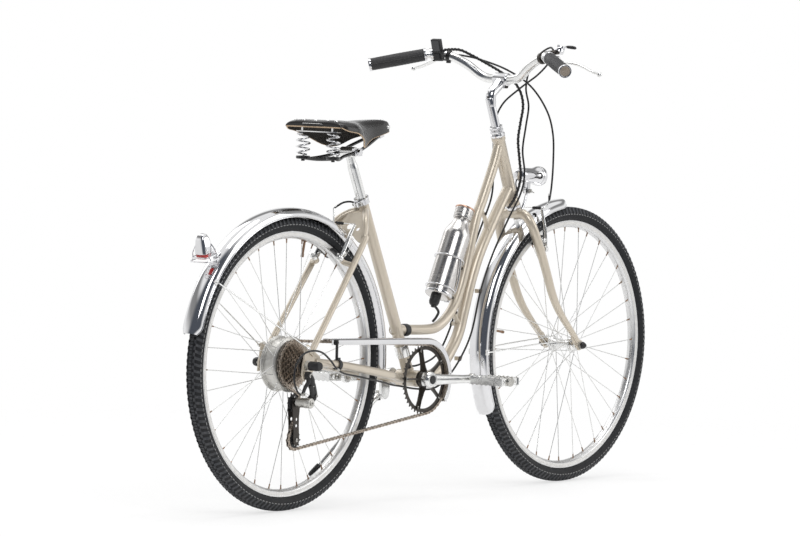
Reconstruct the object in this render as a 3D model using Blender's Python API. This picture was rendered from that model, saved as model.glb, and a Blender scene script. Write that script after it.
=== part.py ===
"""Electric city bicycle: steel frame, rear drum motor, bottle battery, derailleur gears and cable rim brakes.

Measured frame: X runs forward from the rear axle, Y to the rider's left, Z up from the ground, in metres.
The last step slides everything so that the middle of the length is at X = 0.
"""
import math

import bmesh
import bpy
from mathutils import Matrix, Vector

# Driving sizes
WHEELBASE = 1.13
WHEEL_RADIUS = 0.351
TYRE_HALF_WIDTH = 0.0195
RIM_OUTER = 0.3168
RIM_INNER = RIM_OUTER - 0.0183
RIM_SHOULDER = RIM_OUTER - 0.0123
RIM_HALF_WIDTH = 0.0125
WHEEL_STEPS = 36
SPOKES = 36
SPOKE_RADIUS = 0.0010
SPOKE_APART = 0.0012
SPOKE_END_Y = 0.0025
FENDER_RADIUS = 0.3735
FENDER_HALF_WIDTH = 0.027
REAR_FENDER_START = 166.5
REAR_FENDER_END = -7.5
REAR_FENDER_PIECES = 19
SKIRT_RADIUS = 0.3565
SHEET = 0.0012
FIT = 0.0004
HEAD_ANGLE = math.radians(68)
SEAT_ANGLE = math.radians(65)
SPIDER_ANGLE = 33
BRACKET_X = 0.490
BRACKET_Z = 0.294
CRANK_LENGTH = 0.170
PITCH = 0.0127
RING_TEETH = 42
COG_TEETH = (28, 24, 22, 20, 18, 16, 14)
PULLEY_TEETH = 11
RING_Y = -0.045
COG_Y = -0.030
COG_SPACING = 0.0047
ROLLER_REACH = 0.15
LINK_HALF_HEIGHT = 0.0036
TOOTH_THICKNESS = 0.0017
HEAD_TUBE_RADIUS = 0.0160
STEERER_RADIUS = 0.0127
QUILL_RADIUS = 0.0111
UPPER_TUBE_RADIUS = 0.0127
LOWER_TUBE_RADIUS = 0.0143
SEAT_TUBE_RADIUS = 0.0143
POST_RADIUS = 0.0127
BAR_RADIUS = 0.0111
BAR_SIDES = 8
AXLE_RADIUS = 0.0047
REAR_AXLE_RADIUS = 0.0060
FORK_HALF_SPAN = 0.050
REAR_HALF_SPAN = 0.065
DROPOUT = 0.005
PEDAL_IN = 0.084
PEDAL_OUT = 0.186
GUARD_OUTER_Y = -0.0560
GUARD_INNER_Y = -0.0270
GUARD_RADIUS = 0.0955
PAD_RADIUS = RIM_OUTER - 0.0083
PAD_LENGTH = 0.044
PAD_HEIGHT = 0.0075
PAD_DEPTH = 0.0090
PAD_GAP = 0.0020
MEASURED_WHEELBASE = 1.13
FRONT_END = WHEELBASE - MEASURED_WHEELBASE
STRAIGHT = math.radians(10)
LONGEST_RUN = 0.12

REAR = Vector((0, 0, WHEEL_RADIUS))
FRONT = Vector((WHEELBASE, 0, WHEEL_RADIUS))
BRACKET = Vector((BRACKET_X, 0, BRACKET_Z))
STEER_UP = Vector((-math.cos(HEAD_ANGLE), 0, math.sin(HEAD_ANGLE)))
STEER_FRONT = Vector((math.sin(HEAD_ANGLE), 0, math.cos(HEAD_ANGLE)))
STEER_POINT = Vector((0.868 + FRONT_END, 0, 0.795))
SEAT_UP = Vector((-math.cos(SEAT_ANGLE), 0, math.sin(SEAT_ANGLE)))
SEAT_FRONT = Vector((math.sin(SEAT_ANGLE), 0, math.cos(SEAT_ANGLE)))
SIDE = Vector((0, 1, 0))
UP = Vector((0, 0, 1))


def clear_scene():
    for thing in list(bpy.data.objects):
        bpy.data.objects.remove(thing, do_unlink=True)


def steer(height, front=0.0, side=0.0):
    """A point beside the steering axis where the axis is at this height."""
    return STEER_POINT + STEER_UP * ((height - STEER_POINT.z) / STEER_UP.z) + STEER_FRONT * front + SIDE * side


def seat(height, front=0.0, side=0.0):
    """A point beside the seat tube axis where the axis is at this height."""
    return BRACKET + SEAT_UP * ((height - BRACKET.z) / SEAT_UP.z) + SEAT_FRONT * front + SIDE * side


def ahead(points):
    """The same points, moved with the front wheel when the wheelbase changes."""
    return [Vector((p[0] + FRONT_END, p[1], p[2])) for p in points]


def along_frame(points):
    """The same points, moved by the share of the wheelbase's change that falls to their place on the frame."""
    reach = 0.840 - BRACKET_X
    return [Vector((p[0] + FRONT_END * min(max((p[0] - BRACKET_X) / reach, 0), 1), p[1], p[2])) for p in points]


def flip(points):
    """The same points on the other side of the bicycle."""
    return [Vector((p[0], -p[1], p[2])) for p in points]


def polar(centre, radius, degrees, y=0.0):
    """A point around a wheel-like centre, the angle counted from forward towards up."""
    turn = math.radians(degrees)
    return Vector((centre[0] + radius * math.cos(turn), y, centre[2] + radius * math.sin(turn)))


def basis(origin, across, along):
    """The frame with its first axis across and its third along."""
    third = Vector(along).normalized()
    second = third.cross(Vector(across)).normalized()
    first = second.cross(third)
    turned = Matrix((first, second, third)).transposed().to_4x4()
    return Matrix.Translation(Vector(origin)) @ turned


def bridge(bm, rings, closed=False):
    """Quads between rings of the same number of points."""
    pairs = list(zip(rings, rings[1:]))
    if closed:
        pairs.append((rings[-1], rings[0]))
    for one, two in pairs:
        count = len(one)
        for i in range(count):
            j = (i + 1) % count
            bm.faces.new((one[i], one[j], two[j], two[i]))


def smooth(points, parts=4):
    """A curve through the points, with this many pieces to a span."""
    points = [Vector(p) for p in points]
    ends = [points[0] * 2 - points[1]] + points + [points[-1] * 2 - points[-2]]
    out = []
    for a, b, c, d in zip(ends, ends[1:], ends[2:], ends[3:]):
        for k in range(parts):
            t = k / parts
            out.append(0.5 * (2 * b + (c - a) * t + (2 * a - 5 * b + 4 * c - d) * t * t
                              + (3 * b - a - 3 * c + d) * t ** 3))
    return thinned(out + [points[-1]])


def thinned(path):
    """The path without the points at which it hardly turns."""
    kept = path[:2]
    for after in path[2:]:
        if (kept[-1] - kept[-2]).angle(after - kept[-1]) < STRAIGHT and (after - kept[-2]).length < LONGEST_RUN:
            kept[-1] = after
        else:
            kept.append(after)
    return kept


def transported(path):
    """A frame across the path at each of its points, carried along without twist."""
    tangents = []
    for i in range(len(path)):
        before = path[max(i - 1, 0)]
        after = path[min(i + 1, len(path) - 1)]
        if 0 < i < len(path) - 1:
            way = (path[i] - before).normalized() + (after - path[i]).normalized()
        else:
            way = after - before
        tangents.append(way.normalized())
    start = SIDE if abs(tangents[0].dot(SIDE)) < 0.9 else UP
    first = (start - tangents[0] * start.dot(tangents[0])).normalized()
    frames = []
    for tangent in tangents:
        first = (first - tangent * first.dot(tangent)).normalized()
        frames.append((first, tangent.cross(first)))
    return frames


def sweep(path, radius, sides=8, flat=1.0, turn=0.5):
    """A solid bar along the path. radius and flat may be lists, one entry to a point."""
    path = [Vector(p) for p in path]
    wide = radius if isinstance(radius, (list, tuple)) else [radius] * len(path)
    thin = flat if isinstance(flat, (list, tuple)) else [flat] * len(path)
    bm = bmesh.new()
    rings = []
    for point, r, f, (first, second) in zip(path, wide, thin, transported(path)):
        ring = []
        for i in range(sides):
            a = 2 * math.pi * (i + turn) / sides
            ring.append(bm.verts.new(point + first * (r * math.cos(a)) + second * (r * f * math.sin(a))))
        rings.append(ring)
    bridge(bm, rings)
    bm.faces.new(rings[0])
    bm.faces.new(list(reversed(rings[-1])))
    return bm


def section_sweep(path, section, side):
    """A sheet-like bar: the closed section, as (across, out) pairs, stands square to the path and to the side."""
    path = [Vector(p) for p in path]
    bm = bmesh.new()
    rings = []
    for i, point in enumerate(path):
        before = path[max(i - 1, 0)]
        after = path[min(i + 1, len(path) - 1)]
        tangent = (after - before).normalized()
        out = tangent.cross(Vector(side)).normalized()
        rings.append([bm.verts.new(point + Vector(side) * a + out * b) for a, b in section])
    bridge(bm, rings)
    bm.faces.new(rings[0])
    bm.faces.new(list(reversed(rings[-1])))
    return bm


def lathe(profile, steps, origin, along, across=SIDE, turn=0.0, ring=False):
    """A turned body: profile has (radius, distance along the axis). ring closes it round a hole."""
    place = basis(origin, across if abs(Vector(along).normalized().dot(Vector(across))) < 0.9 else UP, along)
    bm = bmesh.new()
    loops = []
    for r, h in profile:
        if r < 1e-7:
            loops.append([bm.verts.new(place @ Vector((0, 0, h)))])
            continue
        loop = []
        for i in range(steps):
            a = 2 * math.pi * (i + turn) / steps
            loop.append(bm.verts.new(place @ Vector((r * math.cos(a), r * math.sin(a), h))))
        loops.append(loop)
    pairs = list(zip(loops, loops[1:]))
    if ring:
        pairs.append((loops[-1], loops[0]))
    for one, two in pairs:
        for i in range(steps):
            j = (i + 1) % steps
            if len(one) == 1 and len(two) > 1:
                bm.faces.new((one[0], two[j], two[i]))
            elif len(two) == 1 and len(one) > 1:
                bm.faces.new((one[i], one[j], two[0]))
            elif len(one) > 1:
                bm.faces.new((one[i], one[j], two[j], two[i]))
    return bm


def rod(start, end, radius, sides=8, turn=0.5):
    return sweep([start, end], radius, sides, turn=turn)


def pin(origin, along, radius, low, high, steps=12, turn=0.5):
    """A plain cylinder on an axis."""
    return lathe([(0, low), (radius, low), (radius, high), (0, high)], steps, origin, along, turn=turn)


def collar(origin, along, inner, outer, low, high, steps=16, turn=0.5):
    """A plain ring on an axis."""
    return lathe([(inner, low), (outer, low), (outer, high), (inner, high)], steps, origin, along, turn=turn, ring=True)


def box(centre, size, across=(1, 0, 0), along=(0, 0, 1)):
    place = basis(centre, across, along)
    bm = bmesh.new()
    bmesh.ops.create_cube(bm, size=1.0)
    for v in bm.verts:
        v.co = place @ Vector((v.co.x * size[0], v.co.y * size[1], v.co.z * size[2]))
    return bm


def plate(outline, thickness, place):
    """A flat plate: the outline lies in the first two axes of the place, the thickness is centred."""
    bm = bmesh.new()
    low = [bm.verts.new(place @ Vector((p[0], p[1], -thickness / 2))) for p in outline]
    high = [bm.verts.new(place @ Vector((p[0], p[1], thickness / 2))) for p in outline]
    bridge(bm, [low, high])
    bm.faces.new(low[::-1])
    bm.faces.new(high)
    return bm


def side_place(y):
    """Plates that lie in the side view at this distance to the left: first axis forward, second up."""
    return Matrix(((1, 0, 0, 0), (0, 0, -1, y), (0, 1, 0, 0), (0, 0, 0, 1)))


def temporary(bm, where):
    bmesh.ops.remove_doubles(bm, verts=bm.verts[:], dist=1e-6)
    bmesh.ops.recalc_face_normals(bm, faces=bm.faces[:])
    mesh = bpy.data.meshes.new("temporary")
    bm.to_mesh(mesh)
    bm.free()
    thing = bpy.data.objects.new("temporary", mesh)
    where.objects.link(thing)
    return thing


def boolean(base, tools, operation):
    """The base joined with the tools, or cut by them."""
    scene = bpy.context.scene.collection
    tray = bpy.data.collections.new("tools")
    scene.children.link(tray)
    body = temporary(base, scene)
    for tool in tools:
        temporary(tool, tray)
    change = body.modifiers.new("change", "BOOLEAN")
    change.operation = operation
    change.solver = "EXACT"
    change.operand_type = "COLLECTION"
    change.collection = tray
    bpy.context.view_layer.update()
    mesh = bpy.data.meshes.new_from_object(body.evaluated_get(bpy.context.evaluated_depsgraph_get()))
    bm = bmesh.new()
    bm.from_mesh(mesh)
    for thing in list(tray.objects) + [body]:
        old = thing.data
        bpy.data.objects.remove(thing, do_unlink=True)
        bpy.data.meshes.remove(old)
    bpy.data.collections.remove(tray)
    bpy.data.meshes.remove(mesh)
    bmesh.ops.remove_doubles(bm, verts=bm.verts[:], dist=2e-6)
    bmesh.ops.dissolve_degenerate(bm, dist=1e-6, edges=bm.edges[:])
    return bm


def fuse(parts):
    return boolean(parts[0], parts[1:], "UNION") if len(parts) > 1 else parts[0]


def cut(body, tools):
    return boolean(body, tools, "DIFFERENCE")


LOOKS = {
    "champagne paint": ((0.62, 0.55, 0.45), 0.55, 0.32),
    "bright chrome": ((0.80, 0.80, 0.82), 1.0, 0.10),
    "polished alloy": ((0.78, 0.78, 0.80), 1.0, 0.25),
    "brushed steel": ((0.60, 0.59, 0.58), 1.0, 0.35),
    "brown chain steel": ((0.32, 0.24, 0.20), 0.9, 0.45),
    "dark steel": ((0.10, 0.10, 0.11), 0.8, 0.40),
    "black rubber": ((0.02, 0.02, 0.02), 0.0, 0.75),
    "black plastic": ((0.03, 0.03, 0.03), 0.0, 0.50),
    "black leather": ((0.02, 0.02, 0.02), 0.0, 0.45),
    "grey leather": ((0.10, 0.09, 0.08), 0.0, 0.60),
    "red lens": ((0.55, 0.02, 0.02), 0.0, 0.15),
    "copper": ((0.70, 0.36, 0.22), 1.0, 0.25),
    "dark screen": ((0.02, 0.02, 0.03), 0.0, 0.08),
}


def node(name, bm, look, origin=(0, 0, 0)):
    """The finished object, with its own material and its origin where it turns."""
    bmesh.ops.remove_doubles(bm, verts=bm.verts[:], dist=1e-6)
    bmesh.ops.recalc_face_normals(bm, faces=bm.faces[:])
    bmesh.ops.translate(bm, vec=-Vector(origin), verts=bm.verts[:])
    mesh = bpy.data.meshes.new(name)
    bm.to_mesh(mesh)
    bm.free()
    thing = bpy.data.objects.new(name, mesh)
    thing.location = origin
    BICYCLE.objects.link(thing)
    colour, metal, rough = LOOKS[look]
    material = bpy.data.materials.new(name + " " + look)
    material.use_nodes = True
    shader = material.node_tree.nodes["Principled BSDF"]
    shader.inputs["Base Color"].default_value = (*colour, 1)
    shader.inputs["Metallic"].default_value = metal
    shader.inputs["Roughness"].default_value = rough
    mesh.materials.append(material)
    return thing


# Chain path

def pitch_radius(teeth):
    return PITCH / (2 * math.sin(math.pi / teeth))


def tangent(one, two):
    """The straight run from circle one to circle two, each as (x, z, radius, way round, y)."""
    d = Vector((two[0] - one[0], two[1] - one[1]))
    angle = math.atan2(d.y, d.x) - math.asin((two[3] * two[2] - one[3] * one[2]) / d.length)
    normal = Vector((-math.sin(angle), math.cos(angle)))
    start = Vector(one[:2]) - normal * (one[3] * one[2])
    end = Vector(two[:2]) - normal * (two[3] * two[2])
    return start, end


GUIDE = Vector((0.001, COG_Y, 0.262))
TENSION_START = Vector((0.005, COG_Y, 0.171))


def chain_circles(tension):
    return [
        (BRACKET_X, BRACKET_Z, pitch_radius(RING_TEETH), 1, RING_Y, RING_TEETH),
        (0.0, WHEEL_RADIUS, pitch_radius(COG_TEETH[0]), 1, COG_Y, COG_TEETH[0]),
        (GUIDE.x, GUIDE.z, pitch_radius(PULLEY_TEETH), -1, COG_Y, PULLEY_TEETH),
        (tension.x, tension.z, pitch_radius(PULLEY_TEETH), 1, COG_Y, PULLEY_TEETH),
    ]


def chain_route(tension):
    """Pieces of the path, each with its length in links."""
    circles = chain_circles(tension)
    runs = [tangent(circles[i], circles[(i + 1) % 4]) for i in range(4)]
    pieces = []
    for i in range(4):
        start, end = runs[i]
        pieces.append(("run", (end - start).length / PITCH, start, end, circles[i][4], circles[(i + 1) % 4][4]))
        disc = circles[(i + 1) % 4]
        leave = runs[(i + 1) % 4][0]
        centre = Vector(disc[:2])
        a0 = math.atan2(*(end - centre).yx)
        a1 = math.atan2(*(leave - centre).yx)
        swept = (disc[3] * (a1 - a0)) % (2 * math.pi)
        pieces.append(("arc", swept * disc[5] / (2 * math.pi), centre, disc[2], a0, disc[3] * swept, disc[4]))
    return pieces


def route_links(tension):
    return sum(piece[1] for piece in chain_route(tension))


def swung_tension(turn):
    """The tension pulley with the cage swung about the guide pulley."""
    arm = TENSION_START - GUIDE
    return GUIDE + Vector((arm.x * math.cos(turn) - arm.z * math.sin(turn), 0,
                           arm.x * math.sin(turn) + arm.z * math.cos(turn)))


def whole_links():
    """The cage angle at which the chain is a whole, even number of links, and that number."""
    wanted = 2 * round(route_links(TENSION_START) / 2)
    low, high = -0.6, 0.6
    rising = route_links(swung_tension(high)) > route_links(swung_tension(low))
    for _ in range(60):
        middle = (low + high) / 2
        if (route_links(swung_tension(middle)) < wanted) == rising:
            low = middle
        else:
            high = middle
    return middle, wanted


CAGE_TURN, LINKS = whole_links()
TENSION = swung_tension(CAGE_TURN)


def chain_pins():
    """The pins, and for each toothed disc the angle of one pin that lies on it."""
    pieces = chain_route(TENSION)
    pins, phases = [], {}
    place, k = 0.0, 0
    for number, piece in enumerate(pieces):
        while k < LINKS and k <= place + piece[1] + 1e-9:
            t = k - place
            if piece[0] == "run":
                share = t / piece[1]
                point = piece[2].lerp(piece[3], share)
                pins.append(Vector((point.x, piece[4] + (piece[5] - piece[4]) * share, point.y)))
            else:
                a = piece[4] + piece[5] * t / piece[1]
                pins.append(Vector((piece[2].x + piece[3] * math.cos(a), piece[6], piece[2].y + piece[3] * math.sin(a))))
                phases.setdefault(number // 2, a)
            k += 1
        place += piece[1]
    return pins, phases


PINS, PHASES = chain_pins()


def chain_body():
    """One ladder: two side strips, joined by a block at every pin, that step in and out from link to link."""
    bm = bmesh.new()
    outer, near, far = [], [], []
    for k in range(LINKS):
        point, after = PINS[k], PINS[(k + 1) % LINKS]
        way = (after - point).normalized()
        rise = way.cross(SIDE).normalized()
        inside, outside = (0.0016, 0.0026) if k % 2 else (0.0026, 0.0036)
        for share, offset, ends in ((0.5, outside, outer), (ROLLER_REACH, inside, near), (1 - ROLLER_REACH, inside, far)):
            at = point.lerp(after, share)
            ends.append([bm.verts.new(at + SIDE * y + rise * h) for y, h in (
                (offset, LINK_HALF_HEIGHT), (offset, -LINK_HALF_HEIGHT),
                (-offset, LINK_HALF_HEIGHT), (-offset, -LINK_HALF_HEIGHT))])
    for k in range(LINKS):
        j = (k + 1) % LINKS
        for low in (0, 2):
            high = low + 1
            bm.faces.new((outer[k][low], outer[k][high], outer[j][high], outer[j][low]))
            bm.faces.new((near[k][low], near[k][high], far[k][high], far[k][low]))
            for edge in (low, high):
                bm.faces.new((outer[k][edge], near[k][edge], far[k][edge]))
                bm.faces.new((outer[k][edge], far[k][edge], near[j][edge], outer[j][edge]))
        for edge in (0, 1):
            bm.faces.new((far[k][edge], far[k][edge + 2], near[j][edge + 2], near[j][edge]))
        for end in (far[k], near[j]):
            bm.faces.new((end[0], end[1], end[3], end[2]))
    return bm


def toothed(teeth, phase, centre, simple=False):
    """A solid sprocket plate whose gaps stand under the chain's pins."""
    pitch = pitch_radius(teeth)
    root = pitch - LINK_HALF_HEIGHT - FIT
    tip = pitch + 0.0018
    half_gap = (ROLLER_REACH + 0.045) * PITCH / pitch
    step = 2 * math.pi / teeth
    outline = []
    for i in range(teeth):
        a = phase + i * step
        for b in ((a,) if simple else (a - half_gap, a + half_gap)):
            outline.append((root * math.cos(b), root * math.sin(b)))
        outline.append((tip * math.cos(a + step / 2), tip * math.sin(a + step / 2)))
    return plate(outline, TOOTH_THICKNESS, Matrix.Translation(Vector(centre)) @ side_place(0))


# Wheels

def tyre(centre):
    half = [(WHEEL_RADIUS - 0.0048, 0.0135), (WHEEL_RADIUS - 0.0180, TYRE_HALF_WIDTH), (RIM_OUTER + FIT, 0.0122)]
    profile = [(WHEEL_RADIUS, 0)] + half + [(r, -y) for r, y in reversed(half)]
    return lathe(profile, WHEEL_STEPS, centre, SIDE, across=(1, 0, 0), ring=True)


def rim(centre):
    profile = [(RIM_OUTER, RIM_HALF_WIDTH), (RIM_SHOULDER, RIM_HALF_WIDTH), (RIM_INNER, 0),
               (RIM_SHOULDER, -RIM_HALF_WIDTH), (RIM_OUTER, -RIM_HALF_WIDTH)]
    return lathe(profile, WHEEL_STEPS, centre, SIDE, across=(1, 0, 0), ring=True)


def spokes(centre, flange_radius, left_y, right_y, crossing):
    """Laced spokes, alternately leading and trailing, from each flange to the rim's inner wall."""
    out = []
    slope = (RIM_SHOULDER - RIM_INNER) / RIM_HALF_WIDTH
    step = 360 / SPOKES
    for side, y in ((1, left_y), (-1, right_y)):
        for j in range(SPOKES // 2):
            at_rim = step * (2 * j + (side > 0))
            at_hub = at_rim + (crossing if j % 2 else -crossing)
            apart = SPOKE_APART if j % 2 else -SPOKE_APART
            start = polar(centre, flange_radius, at_hub, y + apart)
            end_y = SPOKE_END_Y * side + apart
            end = polar(centre, RIM_INNER + slope * (abs(end_y) - SPOKE_RADIUS) - FIT, at_rim, end_y)
            out.append(rod(start, end, SPOKE_RADIUS, 3))
    return out


def front_hub():
    f = 0.0305
    half = [(AXLE_RADIUS + 0.0006, 0.0440), (0.0095, 0.0440), (0.0115, 0.0380),
            (0.0195, f + 0.0024), (0.0195, f - 0.0024), (0.0115, 0.0235)]
    profile = half + [(r, -h) for r, h in reversed(half)]
    body = lathe(profile, 12, FRONT, SIDE, across=(1, 0, 0), ring=True)
    return fuse([body] + spokes(FRONT, 0.0168, f, -f, 60))


def motor_hub():
    profile = [(REAR_AXLE_RADIUS + 0.0010, 0.0500), (0.0130, 0.0500), (0.0130, 0.0360), (0.0220, 0.0320),
               (0.0420, 0.0275), (0.0600, 0.0225), (0.0665, 0.0215), (0.0665, 0.0165),
               (0.0610, 0.0150), (0.0610, -0.0130), (0.0665, -0.0145), (0.0665, -0.0195),
               (0.0590, -0.0215), (0.0300, -0.0245), (REAR_AXLE_RADIUS + 0.0010, -0.0245)]
    body = lathe(profile, 18, REAR, SIDE, across=(1, 0, 0), ring=True)
    return fuse([body] + spokes(REAR, 0.0640, 0.0190, -0.0170, 20))


def make_wheels():
    for name, centre, hub in (("front", FRONT, front_hub()), ("rear", REAR, motor_hub())):
        node(name + "_tyre", tyre(centre), "black rubber", centre)
        node(name + "_rim", rim(centre), "polished alloy", centre)
        node("front_hub" if name == "front" else "motor_hub", hub, "polished alloy", centre)
    nut = [(0, -0.0680), (0.0040, -0.0680), (0.0080, -0.0655), (0.0080, -0.0585), (AXLE_RADIUS, -0.0585),
           (AXLE_RADIUS, 0.0585), (0.0080, 0.0585), (0.0080, 0.0655), (0.0040, 0.0680), (0, 0.0680)]
    node("front_axle", lathe(nut, 10, FRONT, SIDE, turn=0.5), "brushed steel", FRONT)
    r = REAR_AXLE_RADIUS
    profile = [(0, -0.1100), (0.0095, -0.1100), (0.0110, -0.1080), (0.0110, -0.0760), (r, -0.0760), (r, 0.0760),
               (0.0110, 0.0760), (0.0110, 0.0850), (0.0085, 0.0850), (0.0085, 0.0930), (0, 0.0930)]
    node("rear_axle", lathe(profile, 10, REAR, SIDE, turn=0.5), "dark steel", REAR)


# Frame

CHAINSTAY = [(0.476, -0.018, 0.290), (0.440, -0.0230, 0.294), (0.405, -0.0295, 0.300), (0.372, -0.0390, 0.307),
             (0.340, -0.0465, 0.313), (0.163, -0.0585, 0.342), (0.030, -0.0665, 0.360)]
CHAINSTAY_RADIUS = [0.0100, 0.0095, 0.0090, 0.0095, 0.0105, 0.0100, 0.0080]
SEATSTAY = [(0.012, -0.0675, 0.376), (0.205, -0.0620, 0.620), (0.226, -0.0570, 0.655), (0.246, -0.0430, 0.688),
            (0.270, -0.0230, 0.706), (0.293, -0.0060, 0.712)]
SEATSTAY_RADIUS = 0.0078
STAY_WAY = (Vector(SEATSTAY[1]) - Vector(SEATSTAY[0])).normalized()
STAY_REAR = Vector((-STAY_WAY.z, 0, STAY_WAY.x)).normalized()
REAR_BOSS = Vector((0.172, -0.0400, 0.586)) + STAY_REAR * 0.022
FRONT_BOSS = Vector((0.986 + FRONT_END, -0.0400, 0.600))
BRAKE_UP_FRONT = Vector((-0.06, 0, 1)).normalized()
BRAKE_UP_REAR = Vector((STAY_WAY.x, 0, STAY_WAY.z)).normalized()
ARM_LENGTH = 0.100
ARM_LEAN = 0.0070
STAND_PIVOT = Vector((0.420, 0.040, 0.255))
STAND_BEND = Vector((0.319, 0.044, 0.178))
STAND_FOOT = Vector((0.2434, 0.1086, 0.0583))
STAND_DOWN = (STAND_FOOT - STAND_BEND).normalized()
STAND_AXIS = SIDE
CABLE_RADIUS = 0.0024
CABLE_GUIDES = [(0.7500, 0.0190, 0.5800), (0.6820, 0.0190, 0.4200), (0.4080, 0.0190, 0.4900), (0.3560, 0.0190, 0.6000)]

DROPOUT_OUTLINE = [(0.048, 0.370), (0.052, 0.351), (0.020, 0.334), (0.004, 0.318), (-0.012, 0.317), (-0.018, 0.330),
                   (-0.016, 0.352), (-0.012, 0.366), (-0.007, 0.397), (0.004, 0.401), (0.014, 0.392), (0.024, 0.386)]


def dropout(side):
    y = side * (REAR_HALF_SPAN + DROPOUT / 2)
    outline = DROPOUT_OUTLINE if side < 0 else DROPOUT_OUTLINE[:3] + [(0.000, 0.332)] + DROPOUT_OUTLINE[5:]
    return plate(outline, DROPOUT, side_place(y))


def gusset():
    """The sheet between the seat stays, and its holes."""
    low, high = Vector((0.2140, 0, 0.634)), Vector((0.262, 0, 0.704))
    way = (high - low).normalized()
    length = (high - low).length
    outline = [(-0.060, 0), (-0.045, 0.004), (-0.020, 0.022), (0.020, 0.022), (0.045, 0.004), (0.060, 0),
               (0.048, 0.046), (0.022, length), (-0.022, length), (-0.048, 0.046)]
    place = basis(low, SIDE, way.cross(-SIDE))
    holes = []
    for x, y, r in ((0, 0.047, 0.0085), (-0.028, 0.040, 0.0050), (0.028, 0.040, 0.0050)):
        holes.append(pin(place @ Vector((x, y, 0)), way.cross(SIDE), r, -0.004, 0.004, 8))
    return plate(outline, 0.0024, place), holes


def brace(middle, along, length, width, bulge):
    """A curved bolted brace that touches both tubes."""
    forward = Vector(along).normalized()
    out = forward.cross(SIDE)
    path = [middle - forward * length / 2 + out * bulge, middle, middle + forward * length / 2 + out * bulge]
    return sweep(smooth(path, 3), width, 6, flat=0.45)


def main_frame():
    head = pin(steer(0.712), STEER_UP, HEAD_TUBE_RADIUS, 0, (0.885 - 0.712) / STEER_UP.z)
    upper = sweep(smooth(along_frame([(0.840, 0, 0.870), (0.831, 0, 0.850), (0.816, 0, 0.812), (0.771, 0, 0.724),
                          (0.747, 0, 0.679), (0.711, 0, 0.568), (0.688, 0, 0.509), (0.667, 0, 0.471),
                          (0.643, 0, 0.444), (0.604, 0, 0.419), (0.559, 0, 0.411), (0.438, 0, 0.415)]), 2),
                  UPPER_TUBE_RADIUS, 8)
    lower = sweep(smooth(along_frame([(0.882, 0, 0.756), (0.850, 0, 0.715), (0.818, 0, 0.672), (0.768, 0, 0.600),
                          (0.733, 0, 0.530), (0.705, 0, 0.453), (0.683, 0, 0.394), (0.647, 0, 0.346),
                          (0.605, 0, 0.308), (0.560, 0, 0.294), (0.496, 0, 0.291)]), 2),
                  LOWER_TUBE_RADIUS, 8)
    seat_tube = pin(seat(0.741), SEAT_UP, SEAT_TUBE_RADIUS, -(0.741 - 0.300) / SEAT_UP.z, 0)
    shell = pin(BRACKET, SIDE, 0.0205, -0.034, 0.034)
    joined = [head, upper, lower, seat_tube, shell]
    for turned in (list, flip):
        joined.append(sweep(turned([Vector(p) for p in CHAINSTAY]), CHAINSTAY_RADIUS, 7))
        joined.append(sweep(turned([Vector(p) for p in SEATSTAY]), SEATSTAY_RADIUS, 6))
    joined += [dropout(-1), dropout(1)]
    joined.append(sweep([(0.386, -0.036, 0.304), (0.386, 0.036, 0.304)], 0.0065, 8))
    sheet, holes = gusset()
    joined.append(sheet)
    low_brace, high_brace = along_frame([(0.6740, 0, 0.432), (0.7885, 0, 0.672)])
    joined.append(brace(low_brace, (0.042, 0, -0.052), 0.070, 0.008, 0.006))
    joined.append(brace(high_brace, (0.018, 0, -0.052), 0.074, 0.007, -0.010))
    for side in (-1, 1):
        boss = REAR_BOSS * 1.0
        boss.y *= -side
        root = boss - STAY_REAR * 0.024
        joined.append(sweep([root + SIDE * side * 0.019, root + SIDE * side * 0.004 + STAY_REAR * 0.007,
                             boss - STAY_REAR * 0.0120, boss - STAY_REAR * 0.0046], 0.0068, 8))
    joined.append(box((0.419, 0.0225, 0.266), (0.032, 0.0085, 0.044)))
    joined.append(pin(STAND_PIVOT, STAND_AXIS, 0.0095, -0.0200, -0.0084))
    joined.append(rod((-0.005, -0.0690, 0.328), (-0.005, -0.0712, 0.328), 0.0085, 12))
    for x, y, z in along_frame(CABLE_GUIDES):
        inner, outer = 0.004, y - CABLE_RADIUS - FIT
        joined.append(box((x, (inner + outer) / 2, z), (0.010, outer - inner, 0.010)))
    for height in CAGE_HEIGHTS:
        axis_point = BOTTLE_LOW + BOTTLE_UP * height
        joined.append(rod(axis_point + BOTTLE_FRONT * (CAGE_FACE + FIT), axis_point + BOTTLE_FRONT * 0.0640, 0.0045, 6))
    body = fuse(joined)
    bores = [pin(steer(0.712), STEER_UP, 0.0143, -0.03, 0.25),
             pin(seat(0.741), SEAT_UP, POST_RADIUS + 0.0007, -0.170, 0.05),
             pin(BRACKET, SIDE, 0.0172, -0.05, 0.05),
             pin(REAR, SIDE, REAR_AXLE_RADIUS + 0.0008, -0.08, 0.08)]
    return cut(body, bores + holes)


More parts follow.
